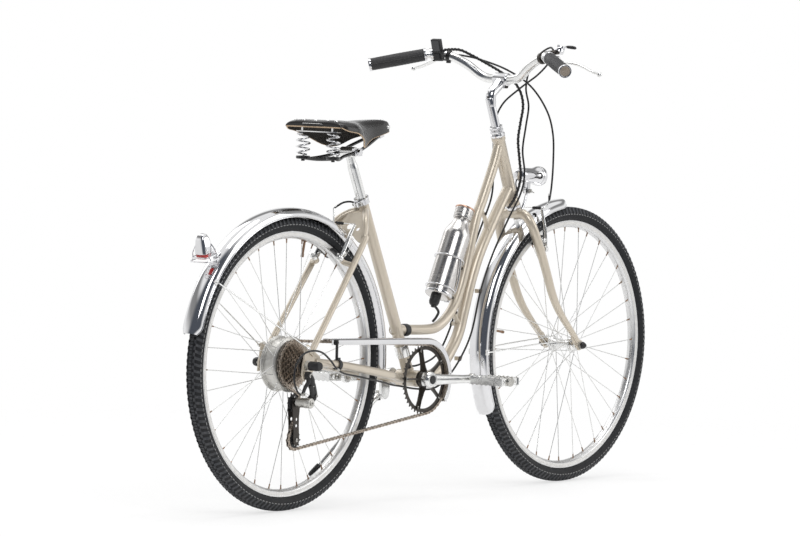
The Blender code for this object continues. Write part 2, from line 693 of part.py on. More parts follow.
def make_frame():
    node("main_frame", main_frame(), "champagne paint")
    cups = [(0.0098, -0.0375), (0.0195, -0.0375), (0.0195, -0.0344), (0.0166, -0.0344), (0.0166, 0.0344),
            (0.0195, 0.0344), (0.0195, 0.0375), (0.0098, 0.0375)]
    node("bottom_bracket", lathe(cups, 12, BRACKET, SIDE, turn=0.5, ring=True), "dark steel", BRACKET)
    top = seat(0.741)
    clamp = collar(top, SEAT_UP, SEAT_TUBE_RADIUS + FIT, 0.0180, -0.0150, -0.0010, 12)
    ears = box(top + SEAT_FRONT * -0.0205 + SEAT_UP * -0.0080, (0.010, 0.014, 0.0120), SEAT_FRONT, SEAT_UP)
    bolt = rod(top + SEAT_FRONT * -0.0215 + SEAT_UP * -0.008 - SIDE * 0.012,
               top + SEAT_FRONT * -0.0215 + SEAT_UP * -0.008 + SIDE * 0.012, 0.0032, 8)
    node("seat_clamp", fuse([clamp, ears, bolt]), "bright chrome", top)
    lower_cup = [(0.0140, -0.0105), (0.0175, -0.0105), (0.0190, -0.0060), (0.0190, -0.0004), (0.0140, -0.0004)]
    node("headset_lower", lathe(lower_cup, 14, steer(0.712), STEER_UP, turn=0.5, ring=True), "bright chrome",
         steer(0.712))


def fender_section():
    """The rolled sheet, as (across, out) pairs."""
    outer = [(-FENDER_HALF_WIDTH, -0.0220), (-0.0240, -0.0090), (-0.0110, -0.0010), (0.0110, -0.0010),
             (0.0240, -0.0090), (FENDER_HALF_WIDTH, -0.0220)]
    inner = [(a * (1 - SHEET / FENDER_HALF_WIDTH), b - (SHEET if 0 < i < len(outer) - 1 else 0)) for i, (a, b) in
             enumerate(outer)]
    return outer + inner[::-1]


def fender(centre, start, end, pieces):
    path = [polar(centre, FENDER_RADIUS, start + (end - start) * i / pieces) for i in range(pieces + 1)]
    section = fender_section()
    if end > start:
        section = [(-a, b) for a, b in section]
    bm = bmesh.new()
    rings = []
    for point in path:
        out = (point - Vector(centre)).normalized()
        rings.append([bm.verts.new(point + SIDE * a + out * b) for a, b in section])
    bridge(bm, rings)
    bm.faces.new(rings[0])
    bm.faces.new(list(reversed(rings[-1])))
    return bm


def wire_stay(clip, foot_y, foot, side):
    """One stay wire from the clip on the fender to the eye beside the axle."""
    end = Vector((foot.x, side * foot_y, foot.z))
    start = Vector((clip.x, side * 0.0262, clip.z))
    return sweep([start, start.lerp(end, 0.06) + SIDE * side * 0.004, end], 0.0018, 5)


def make_rear_fender():
    clip = polar(REAR, SKIRT_RADIUS, 144.8)
    eye = Vector((-0.004, 0, 0.392))
    joined = [fender(REAR, REAR_FENDER_START, REAR_FENDER_END, REAR_FENDER_PIECES)]
    for side in (-1, 1):
        joined.append(wire_stay(clip, 0.0755, eye, side))
        joined.append(rod((eye.x, side * 0.0704, eye.z), (eye.x, side * 0.0775, eye.z), 0.0045, 8))
        joined.append(box((clip.x, side * 0.0262, clip.z), (0.014, 0.0040, 0.012), (0.82, 0, 0.57), (-0.57, 0, 0.82)))
    body = fuse(joined)
    node("rear_fender", body, "bright chrome")
    lens_centre = Vector((-0.3055, 0, 0.6235))
    facing = (lens_centre - Vector((-0.262, 0, 0.652))).normalized()
    housing = lathe([(0, -0.0480), (0.0085, -0.0470), (0.0140, -0.0330), (0.0165, -0.0120), (0.0165, -0.0004),
                     (0, -0.0004)], 16, lens_centre, facing)
    piece = (REAR_FENDER_START - REAR_FENDER_END) / REAR_FENDER_PIECES
    crown = (FENDER_RADIUS - 0.0010) * math.cos(math.radians(piece / 2))
    foot_at = polar(REAR, crown + FIT + 0.0025, REAR_FENDER_START - piece * 3.5)
    foot = box(foot_at, (0.0050, 0.018, 0.016), foot_at - REAR, SIDE.cross(foot_at - REAR))
    leg = sweep([foot_at, lens_centre - facing * 0.0300], 0.0055, 8)
    bars = []
    for side in (-1, 1):
        ring = [Vector((-0.288, side * 0.015, 0.638)), Vector((-0.296, side * 0.024, 0.658)),
                Vector((-0.320, side * 0.024, 0.661)), Vector((-0.341, side * 0.020, 0.620)),
                Vector((-0.331, side * 0.010, 0.603)), Vector((-0.331, side * -0.001, 0.603))]
        bars.append(sweep(ring, 0.0016, 5))
    node("rear_light", fuse([housing, foot, leg] + bars), "bright chrome", lens_centre)
    lens = lathe([(0, 0), (0.0155, 0), (0.0150, 0.0070), (0.0090, 0.0120), (0, 0.0130)], 16, lens_centre, facing)
    node("rear_lens", lens, "red lens", lens_centre)


def make_guard():
    """The inverted channel over the upper run, then round the ring."""
    top = 0.0060
    section = [(GUARD_OUTER_Y, -0.0085), (GUARD_OUTER_Y, 0.0020), (GUARD_OUTER_Y + 0.005, top),
               (GUARD_INNER_Y - 0.004, top), (GUARD_INNER_Y, 0.0010),
               (GUARD_INNER_Y - SHEET, 0.0006), (GUARD_INNER_Y - 0.0045, top - SHEET),
               (GUARD_OUTER_Y + 0.0055, top - SHEET), (GUARD_OUTER_Y + SHEET, 0.0014),
               (GUARD_OUTER_Y + SHEET, -0.0085)]
    path = [Vector((0.110, 0, 0.4035)), Vector((0.250, 0, 0.3985)), Vector((0.420, 0, 0.3925))]
    path += [polar(BRACKET, GUARD_RADIUS, a) for a in range(84, -48, -12)]
    channel = section_sweep(path, section, (0, 1, 0))
    post_y = GUARD_OUTER_Y - 0.0025
    one, two = Vector(CHAINSTAY[5]), Vector(CHAINSTAY[6])
    stay = one.lerp(two, (one.x - 0.126) / (one.x - two.x))
    band = collar(stay, one - two, 0.0108, 0.0130, -0.006, 0.006, 12)
    post = rod((0.126, post_y, 0.3585), (0.126, post_y, 0.4040), 0.0035, 8)
    cheek = box((0.126, post_y + 0.002, 0.4020), (0.012, 0.004, 0.010))
    node("chain_guard", fuse([channel, post, cheek, band]), "bright chrome")


# Steering

GRIP_IN, GRIP_OUT, LEVER_PIVOT, LAMP_HINGE = ahead([
    (0.780, -0.190, 1.085), (0.690, -0.305, 1.055), (0.835, -0.176, 1.0745), (0.959, 0, 0.7460)])
LEVER_BARREL = ahead([(0.832, -0.171, 1.0845), (0.846, -0.150, 1.0840)])
BAR_HALF = ahead([(0.843, 0, 1.027), (0.841, -0.035, 1.028), (0.838, -0.062, 1.036), (0.828, -0.095, 1.060),
            (0.816, -0.130, 1.078), (0.800, -0.165, 1.0865), (0.780, -0.190, 1.085)])


def bar_path():
    right = smooth(BAR_HALF, 2)
    way = (GRIP_OUT - GRIP_IN).normalized()
    right += [GRIP_OUT - way * 0.0055]
    return flip(right)[::-1] + right[1:]


def on_bar(y):
    """The point on the middle line of the handlebar at this distance to the left."""
    path = bar_path()
    for a, b in zip(path, path[1:]):
        if (a.y - y) * (b.y - y) <= 0 and a.y != b.y:
            return a.lerp(b, (y - a.y) / (b.y - a.y))


def perch(side):
    """The lever mount: a ring on the bar and an arm out to the lever pivot."""
    own_side = list if side < 0 else flip
    way, pivot = own_side([GRIP_OUT - GRIP_IN, LEVER_PIVOT])
    ring_at, *arm_path = own_side(ahead([
        (0.7900, -0.1790, 1.0860), (0.796, -0.176, 1.0860), (0.817, -0.171, 1.0860), (0.836, -0.176, 1.0840)]))
    ring = pin(ring_at, way, 0.0155, -0.007, 0.007, 10, turn=0)
    arm = sweep(arm_path, [0.008, 0.0075, 0.0070], 6, flat=0.75)
    cap = pin(pivot, UP, 0.0078, 0.0042, 0.0125, 10)
    barrel = sweep(own_side(LEVER_BARREL), 0.0042, 6)
    return [ring, arm, cap, barrel]


def make_cockpit():
    joined = [sweep(bar_path(), BAR_RADIUS, BAR_SIDES)] + perch(-1) + perch(1)
    bar_way = (Vector(BAR_HALF[5]) - Vector(BAR_HALF[4])).normalized()
    mount = on_bar(-0.152)
    joined.append(lathe([(0, -0.006), (0.0150, -0.006), (0.0150, 0.006), (0, 0.006)], 10, mount, bar_way))
    joined.append(sweep([mount + UP * 0.008, SHIFTER - SHIFTER_AXIS * 0.0070], 0.0065, 8))
    joined.append(pin(SHIFTER, SHIFTER_AXIS, SHIFTER_RADIUS, -0.0110, -0.0004, 14))
    node("handlebar", fuse(joined), "polished alloy")

    barrel = pin(SHIFTER, SHIFTER_AXIS, 0.0120, 0, 0.0060, 14)
    thumb = sweep([SHIFTER + SHIFTER_AXIS * 0.003, SHIFTER + Vector((0.017, -0.011, 0.004)),
                   SHIFTER + Vector((0.030, -0.026, 0.002))], [0.0050, 0.0042, 0.0065], 8, flat=[0.5, 0.6, 0.7])
    node("shifter_lever", fuse([barrel, thumb]), "bright chrome", SHIFTER)

    for name, side in (("right", -1), ("left", 1)):
        start = Vector((GRIP_IN.x, GRIP_IN.y * -side, GRIP_IN.z))
        end = Vector((GRIP_OUT.x, GRIP_OUT.y * -side, GRIP_OUT.z))
        length = (end - start).length
        inner = BAR_RADIUS + 0.0005
        profile = [(0, length - 0.005), (inner, length - 0.005), (inner, 0.0030), (0.0150, 0.0030), (0.0160, 0.0060),
                   (0.0160, length - 0.0070), (0.0167, length - 0.0035), (0.0150, length), (0, length)]
        node("grip_" + name, lathe(profile, 12, start, end - start, turn=0.5), "grey leather")
        pivot = Vector((LEVER_PIVOT.x, LEVER_PIVOT.y * -side, LEVER_PIVOT.z))
        hub = pin(pivot, UP, 0.0070, -0.0060, 0.0036, 8)
        bend = ahead([(0.8380, -0.181, 1.0740), (0.851, -0.204, 1.0730), (0.860, -0.238, 1.0640),
                      (0.8590, -0.266, 1.0530), (0.8560, -0.290, 1.0470)])
        blade = sweep(smooth(bend if side < 0 else flip(bend), 2), [0.0060, 0.0062, 0.0065, 0.0068, 0.0068, 0.0064,
                                                                    0.0058, 0.0052, 0.0045], 6, flat=0.55)
        tip = bend[-1] if side < 0 else flip(bend)[-1]
        ball = lathe([(0, -0.0065), (0.0045, -0.0047), (0.0065, 0), (0.0045, 0.0047), (0, 0.0065)], 8, tip, UP)
        node("brake_lever_" + name, fuse([hub, blade, ball]), "polished alloy", pivot)

    foot = steer(0.830)
    quill_top = (0.9830 - 0.830) / STEER_UP.z
    quill = lathe([(0, 0), (QUILL_RADIUS, 0), (QUILL_RADIUS, quill_top - 0.002), (QUILL_RADIUS - 0.002, quill_top),
                   (0, quill_top)], 12, foot, STEER_UP, turn=0.5)
    clamp_centre = BAR_HALF[0]
    neck = sweep(smooth([steer(0.960)] + ahead([(0.800, 0, 0.990), (0.822, 0, 1.008)]) + [clamp_centre], 3),
                 0.0118, 8, flat=1.1)
    clamp = pin(clamp_centre, SIDE, 0.0165, -0.0200, 0.0200, 12)
    lug = box(clamp_centre + Vector((0.004, 0, -0.0165)), (0.014, 0.020, 0.012))
    stem = fuse([quill, neck, clamp, lug])
    bore = sweep(bar_path(), BAR_RADIUS + FIT, BAR_SIDES)
    node("stem", cut(stem, [bore]), "polished alloy", steer(0.960))

    upper = [(STEERER_RADIUS + 0.0004, 0.0004), (0.0185, 0.0004), (0.0185, 0.0070), (0.0155, 0.0090),
             (0.0170, 0.0110), (0.0170, 0.0210), (0.0150, 0.0280), (STEERER_RADIUS + 0.0004, 0.0280)]
    node("headset_upper", lathe(upper, 12, steer(0.885), STEER_UP, turn=0.5, ring=True), "bright chrome", steer(0.885))

    screen_up = Vector((-0.30, 0, 1)).normalized()
    display_centre = Vector((0.7680 + FRONT_END, 0.1470, 1.0970))
    case = box(display_centre, (0.012, 0.028, 0.056), screen_up.cross(SIDE).normalized() * -1, screen_up)
    ring_centre = on_bar(0.144)
    strap_way = on_bar(0.148) - on_bar(0.140)
    strap = collar(ring_centre, strap_way, BAR_RADIUS + 0.0010, 0.0145, -0.005, 0.005, 10)
    leg = box((0.7825 + FRONT_END, ring_centre.y, ring_centre.z), (0.0270, 0.008, 0.008))
    node("display", fuse([case, strap, leg]), "black plastic", display_centre)
    back = screen_up.cross(SIDE).normalized()
    back = back if back.x < 0 else -back
    key_centre = display_centre - screen_up * 0.0150 + back * 0.0068
    node("display_button", box(key_centre + back * 0.0011, (0.0022, 0.018, 0.014), back, screen_up), "black rubber",
         key_centre)


SHIFTER = Vector((0.8500 + FRONT_END, -0.1720, 1.1080))
SHIFTER_AXIS = Vector((0.45, -0.10, 0.88)).normalized()
SHIFTER_RADIUS = 0.0125

CROWN_HEIGHT = 0.6880
CROWN_RADIUS = 0.0125
BLADE = ahead([(0.9110, -0.0400, 0.6880), (0.9120, -0.0500, 0.6740), (0.9200, -0.0550, 0.6500), (0.9370, -0.0560, 0.6150),
         (0.9560, -0.0560, 0.5800), (0.9810, -0.0560, 0.5290), (1.0020, -0.0555, 0.4870), (1.0260, -0.0550, 0.4520),
         (1.0580, -0.0545, 0.4180), (1.0950, -0.0540, 0.3840), (1.1180, -0.0535, 0.3620)])
BLADE_RADIUS = [0.0120, 0.0120, 0.0120, 0.0120, 0.0115, 0.0110, 0.0105, 0.0098, 0.0090, 0.0080, 0.0068]


def make_fork():
    steerer = pin(steer(0.700), STEER_UP, STEERER_RADIUS, -0.010, (0.906 - 0.700) / STEER_UP.z)
    race = pin(steer(0.712), STEER_UP, 0.0185, -0.0200, -0.0112, 14)
    crown = sweep([steer(CROWN_HEIGHT, side=-0.0420), steer(CROWN_HEIGHT), steer(CROWN_HEIGHT, side=0.0420)],
                  [0.0118, CROWN_RADIUS, 0.0118], 8)
    joined = [steerer, race, crown]
    for turned in (list, flip):
        joined.append(sweep(turned([Vector(p) for p in BLADE]), BLADE_RADIUS, 7))
        side = -1 if turned is list else 1
        y = side * (FORK_HALF_SPAN + DROPOUT / 2)
        around_axle = [(-0.030, 0.033), (-0.014, 0.027), (-0.004, 0.015), (0.008, 0.011), (0.012, -0.001),
                       (0.006, -0.011), (-0.006, -0.013), (-0.012, -0.005), (-0.026, 0.005), (-0.036, 0.021)]
        outline = [(FRONT.x + x, FRONT.z + z) for x, z in around_axle]
        joined.append(plate(outline, DROPOUT, side_place(y)))
        boss = Vector((FRONT_BOSS.x, FRONT_BOSS.y * -side, FRONT_BOSS.z))
        normal = Vector((BRAKE_UP_FRONT.z, 0, -BRAKE_UP_FRONT.x))
        root = ahead([(0.9500, side * 0.0530, 0.5940), (0.9620, side * 0.0450, 0.5980)])
        joined.append(sweep(root + [boss - normal * 0.0120, boss - normal * 0.0046],
                            [0.0085, 0.0075, 0.0070, 0.0070], 8))
    body = fuse(joined)
    bores = [pin(steer(0.820), STEER_UP, QUILL_RADIUS + FIT, 0, 0.2),
             pin(FRONT, SIDE, AXLE_RADIUS + 0.0008, -0.07, 0.07)]
    node("fork", cut(body, bores), "champagne paint", steer(0.712))

    clip = polar(FRONT, SKIRT_RADIUS, 180.8)
    joined = [fender(FRONT, 94, 206, 12)]
    for side in (-1, 1):
        start = Vector((clip.x, side * 0.0262, clip.z))
        eye = FRONT + Vector((-0.0040, side * 0.0438, 0.0190))
        joined.append(sweep([start, start + Vector((0.012, side * 0.004, 0.001)), eye - Vector((0.0260, 0, 0.0045)), eye],
                            0.0018, 5))
        joined.append(rod(eye - SIDE * side * 0.0018, eye + SIDE * side * 0.0058, 0.0035, 8))
        joined.append(box((clip.x, side * 0.0262, clip.z), (0.012, 0.0040, 0.014)))
    to_crown = steer(CROWN_HEIGHT) - FRONT
    low, high = FENDER_RADIUS - 0.0040, to_crown.length - CROWN_RADIUS - FIT
    joined.append(box(FRONT + to_crown.normalized() * (low + high) / 2, (0.0100, 0.0140, high - low), STEER_FRONT,
                      to_crown))
    node("front_fender", fuse(joined), "bright chrome")

    base = steer(0.6840, CROWN_RADIUS + FIT + 0.0020)
    plate_base = box(base, (0.0040, 0.022, 0.0150), STEER_FRONT, STEER_UP)
    strip = [base] + ahead([(0.9380, 0, 0.7000), (0.9540, 0, 0.7260)]) + [LAMP_HINGE]
    post = sweep(strip, [0.0045, 0.0045, 0.0042, 0.0032], 8)
    knuckle = pin(LAMP_HINGE, SIDE, 0.0085, -0.0035, 0.0035, 12)
    wing = sweep([LAMP_HINGE - SIDE * 0.003, LAMP_HINGE - SIDE * 0.016], 0.0028, 8)
    tabs = sweep([LAMP_HINGE + Vector((-0.008, -0.0145, 0.004)), LAMP_HINGE + Vector((0.008, -0.0145, -0.004))], 0.0030, 6,
                 flat=0.5)
    node("lamp_bracket", fuse([plate_base, post, knuckle, wing, tabs]), "bright chrome", LAMP_HINGE)
    middle = LAMP_HINGE + Vector((0.011, 0, 0.038))
    facing = Vector((1, 0, -0.05)).normalized()
    lamp = lathe([(0, -0.0560), (0.0090, -0.0550), (0.0160, -0.0490), (0.0185, -0.0360), (0.0195, 0.0050),
                  (0.0230, 0.0240), (0.0245, 0.0300), (0.0245, 0.0430), (0.0215, 0.0490), (0, 0.0540)], 12, middle,
                 facing)
    ears = []
    for side in (-1, 1):
        ears.append(sweep([LAMP_HINGE + Vector((0, side * 0.0057, -0.007)), LAMP_HINGE + Vector((0.002, side * 0.0057,
                          0.026))], 0.0017, 8, flat=4.0))
    lamp = fuse([lamp] + ears)
    node("headlamp", cut(lamp, [pin(LAMP_HINGE, SIDE, 0.0034, -0.02, 0.02, 8)]), "bright chrome", LAMP_HINGE)


def brake_arm(boss, up, normal, side):
    """One brake arm with its pad, on its boss. side is -1 on the right."""
    inward = SIDE * -side
    top = boss + up * ARM_LENGTH + inward * ARM_LEAN
    barrel = pin(boss, normal, 0.0080, -0.0040, 0.0075, 8)
    blade = sweep([boss + normal * 0.0030, boss + up * 0.030 + normal * 0.003, boss + up * 0.075 + inward * 0.0045
                   + normal * 0.002, top], [0.0065, 0.0060, 0.0050, 0.0045], 6, flat=0.8)
    wheel = FRONT if boss.x > WHEELBASE / 2 else REAR
    start = boss - wheel
    start.y = 0
    start -= normal * 0.0020
    rise = -start.dot(up) + math.sqrt(start.dot(up) ** 2 - start.length_squared + PAD_RADIUS ** 2)
    pad_at = boss + up * rise - normal * 0.0020
    pad_centre = Vector((pad_at.x, side * (RIM_HALF_WIDTH + PAD_GAP + PAD_DEPTH / 2), pad_at.z))
    round_way = (pad_centre - Vector((wheel.x, pad_centre.y, wheel.z))).normalized().cross(SIDE)
    pad = box(pad_centre, (PAD_LENGTH, PAD_DEPTH, PAD_HEIGHT), round_way, round_way.cross(SIDE))
    post = rod(pad_centre + SIDE * side * 0.003, Vector((pad_at.x, boss.y + side * 0.004, pad_at.z)), 0.0038, 6)
    return fuse([barrel, blade, post, pad])


def make_brakes():
    for side, name in ((-1, "right"), (1, "left")):
        boss = Vector((FRONT_BOSS.x, FRONT_BOSS.y * -side, FRONT_BOSS.z))
        normal = Vector((BRAKE_UP_FRONT.z, 0, -BRAKE_UP_FRONT.x))
        node("front_brake_arm_" + name, brake_arm(boss, BRAKE_UP_FRONT, normal, side), "polished alloy", boss)
        boss = Vector((REAR_BOSS.x, REAR_BOSS.y * -side, REAR_BOSS.z))
        node("rear_brake_arm_" + name, brake_arm(boss, BRAKE_UP_REAR, STAY_REAR, side), "polished alloy", boss)


# Saddle

SADDLE_CLAMP_HEIGHT = 0.8530
POST_HEAD_HALF = 0.0203
SPRING_X = 0.1110
SPRING_Y = 0.0460
SPRING_FOOT = 0.8464
SPRING_LENGTH = 0.0526
SPRING_CREST = SPRING_FOOT + SPRING_LENGTH
SPRING_TURNS = 3.6
SPRING_RADIUS = 0.0150
SPRING_WIRE = 0.0021
SPRING_CURL_STEPS = 8
CUP_TOP = SPRING_FOOT - SPRING_WIRE - FIT
NOSE = Vector((0.3430, 0, 0.8980))


def make_saddle():
    top = seat(0.741)
    head_centre = seat(SADDLE_CLAMP_HEIGHT)
    post = lathe([(0, -0.135), (POST_RADIUS, -0.135), (POST_RADIUS, 0.080), (0.0105, 0.0950), (0.0105, 0.1220),
                  (0, 0.1220)], 16, top, SEAT_UP, turn=0.5)
    head = pin(head_centre, SIDE, 0.0125, -POST_HEAD_HALF, POST_HEAD_HALF, 12)
    node("seatpost", fuse([post, head]), "polished alloy", top)

    rail = []
    for side in (-1, 1):
        path = [(0.1110, side * 0.0460, 0.8420), (0.1350, side * 0.0440, 0.8370), (0.1800, side * 0.0262, 0.8440),
                (0.2300, side * 0.0262, 0.8540), (0.2700, side * 0.0240, 0.8680), (0.3150, side * 0.0150, 0.8840),
                (0.3420, side * 0.0050, 0.8900)]
        rail.append(sweep(path, 0.0040, 5))
        rail.append(pin((SPRING_X, side * SPRING_Y, CUP_TOP), UP, 0.0170, -0.0075, 0, 10))
    rail.append(box((NOSE.x, 0, 0.8905), (0.016, 0.026, 0.008), (0.95, 0, 0.3), (-0.3, 0, 0.95)))
    rail.append(box((NOSE.x, 0, 0.9050), (0.012, 0.012, 0.0318)))
    rail.append(sweep([(SPRING_X, -SPRING_Y, 0.8390), (SPRING_X - 0.003, 0, 0.8370), (SPRING_X, SPRING_Y, 0.8390)],
                      0.0045, 6))
    clamps = [box(head_centre + SIDE * side * (POST_HEAD_HALF + FIT + 0.0055), (0.028, 0.0110, 0.018))
              for side in (-1, 1)]
    node("saddle_frame", fuse(rail + clamps), "black plastic", head_centre)

    for side, name in ((-1, "right"), (1, "left")):
        count = int(SPRING_TURNS * SPRING_CURL_STEPS)
        path = []
        for i in range(count + 1):
            share = i / count
            a = 2 * math.pi * SPRING_TURNS * share
            r = SPRING_RADIUS * (1 - 0.07 * math.cos(2 * math.pi * share))
            path.append(Vector((SPRING_X + r * math.cos(a), side * (SPRING_Y + r * math.sin(a)),
                                SPRING_FOOT + (SPRING_CREST - SPRING_FOOT) * share)))
        node("saddle_spring_" + name, sweep(path, SPRING_WIRE, 5), "bright chrome",
             (SPRING_X, side * SPRING_Y, SPRING_FOOT))
    gap = (SPRING_CREST - SPRING_FOOT) / SPRING_TURNS - 2 * SPRING_WIRE
    print("spring gap between coils", round(gap * 1000, 2), "mm")

    plate_low = SPRING_CREST + SPRING_WIRE + FIT
    rear_plate = box((SPRING_X, 0, plate_low + 0.0015), (0.022, 0.124, 0.003))
    posts = [box((SPRING_X, side * SPRING_Y, 0.9150), (0.010, 0.006, 0.0250)) for side in (-1, 1)]
    node("saddle_top", fuse([saddle_cover(), rear_plate] + posts), "black leather", NOSE)


SADDLE_STATIONS = [
    (0.0950, 0.0840, 0.9150, 0.9310), (0.1150, 0.0950, 0.9060, 0.9330), (0.1450, 0.0980, 0.9000, 0.9330),
    (0.1800, 0.0860, 0.8920, 0.9320), (0.2150, 0.0620, 0.8860, 0.9310), (0.2550, 0.0400, 0.8880, 0.9300),
    (0.3000, 0.0280, 0.8920, 0.9300), (0.3400, 0.0230, 0.8960, 0.9300), (0.3620, 0.0180, 0.9000, 0.9280),
    (0.3740, 0.0080, 0.9060, 0.9200)]


def saddle_cover():
    """A moulded shell from tail to nose: each station has half width, skirt height and crown height."""
    bm = bmesh.new()
    rings = []
    for x, half, skirt, crown in SADDLE_STATIONS:
        drop = crown - skirt
        outer = [(-half, skirt), (-half, skirt + drop * 0.45), (-half * 0.86, crown - drop * 0.18),
                 (-half * 0.50, crown), (0, crown + 0.0005), (half * 0.50, crown), (half * 0.86, crown - drop * 0.18),
                 (half, skirt + drop * 0.45), (half, skirt)]
        wall = min(0.0045, half * 0.35)
        inner = [(half - wall, skirt), (half - wall, skirt + drop * 0.42), (half * 0.80 - wall * 0.4,
                 crown - drop * 0.18 - 0.0045), (0, crown - 0.0062), (-half * 0.80 + wall * 0.4,
                 crown - drop * 0.18 - 0.0045), (-half + wall, skirt + drop * 0.42), (-half + wall, skirt)]
        rings.append([bm.verts.new((x, y, z)) for y, z in outer + inner])
    bridge(bm, rings)
    bm.faces.new(rings[0])
    bm.faces.new(list(reversed(rings[-1])))
    return bm


# Drive

def crank(side):
    """An arm with its pedal spindle. side is -1 on the right, which points forward."""
    reach = -side
    out = SIDE * side
    tilt = math.radians(-2)
    way = Vector((math.cos(tilt), 0, math.sin(tilt))) * reach
    eye = BRACKET + way * CRANK_LENGTH
    middle = 0.0650
    boss = pin(BRACKET + out * 0.0525, out, 0.0175, 0, 0.0195, 12)
    arm = sweep([BRACKET + out * middle, BRACKET + way * 0.060 + out * middle, eye + out * middle],
                [0.0060, 0.0055, 0.0052], 8, flat=[2.2, 2.0, 1.9])
    end = pin(eye + out * (middle - 0.0062), out, 0.0135, 0, 0.0122, 10)
    spindle = pin(eye + out * middle, out, 0.0055, 0, PEDAL_OUT - 0.010 - middle, 8)
    return fuse([boss, arm, end, spindle]), eye


def pedal(eye, side):
    """A cage pedal: a hollow barrel, two end plates and two toothed rails."""
    out = SIDE * side
    length = PEDAL_OUT - PEDAL_IN
    start = eye + out * PEDAL_IN
    barrel = pin(start, out, 0.0095, 0, length, 10)
    cap = pin(start, out, 0.0120, length - 0.006, length, 10)
    joined = [barrel, cap]
    for at in (0.004, length - 0.008):
        joined.append(box(start + out * at, (0.072, 0.0050, 0.0180)))
    for x in (-0.0350, 0.0350):
        joined.append(box(start + out * (length / 2 - 0.002) + Vector((x, 0, 0)), (0.0040, length - 0.006, 0.0220)))
    body = fuse(joined)
    return cut(body, [pin(start, out, 0.0062, -0.02, length - 0.007, 8)])


def make_drive():
    windows = []
    for k in range(5):
        start = math.radians(SPIDER_ANGLE + 72 * k) + 0.12
        swept = math.radians(72) - 0.24
        corners = [(0.030, 0.35), (0.030, 0.65)] + [(0.0720, t) for t in (1.0, 0.8, 0.6, 0.4, 0.2, 0.0)]
        outline = [(r * math.cos(start + swept * t), r * math.sin(start + swept * t)) for r, t in corners]
        windows.append(plate(outline, 0.010, Matrix.Translation(BRACKET + SIDE * (RING_Y - 0.002)) @ side_place(0)))
    star = []
    for k in range(5):
        for r, off in ((0.0770, -5), (0.0770, 5), (0.0260, 22), (0.0260, 50)):
            a = math.radians(SPIDER_ANGLE + 72 * k + off)
            star.append((r * math.cos(a), r * math.sin(a)))
    ring = toothed(RING_TEETH, PHASES[3], BRACKET + SIDE * RING_Y)
    ring = cut(ring, windows)
    spider = plate(star, 0.0036, Matrix.Translation(BRACKET + SIDE * (RING_Y - 0.0022)) @ side_place(0))
    hub = pin(BRACKET + SIDE * RING_Y, -SIDE, 0.0215, 0.0030, 0.0070, 16)
    bore = pin(BRACKET, SIDE, 0.0096, -0.08, 0.08, 12)
    node("chainring", cut(fuse([ring, spider, hub]), [bore]), "dark steel", BRACKET)
    node("crank_spindle", pin(BRACKET, SIDE, 0.0084, -0.0520, 0.0520, 12), "dark steel", BRACKET)
    for side, name in ((-1, "right"), (1, "left")):
        body, eye = crank(side)
        node("crank_" + name, body, "polished alloy", BRACKET)
        node("pedal_" + name, pedal(eye, side), "polished alloy", eye + SIDE * side * (PEDAL_IN + PEDAL_OUT) / 2)

    node("chain", chain_body(), "brown chain steel")
    stack = []
    for k, teeth in enumerate(COG_TEETH):
        centre = REAR + SIDE * (COG_Y - k * COG_SPACING)
        stack.append(toothed(teeth, PHASES[0], centre, simple=k > 0))
    low = COG_Y - 6 * COG_SPACING - 0.0030
    core = lathe([(0, 0), (0.0180, 0), (0.0210, 0.0030), (0.0210, COG_Y + 0.0040 - low), (0, COG_Y + 0.0040 - low)],
                 12, REAR + SIDE * low, SIDE, across=(1, 0, 0))
    bore = pin(REAR, SIDE, REAR_AXLE_RADIUS + 0.0012, -0.08, 0.08)
    node("freewheel", cut(fuse([core] + stack), [bore]), "brown chain steel", REAR)


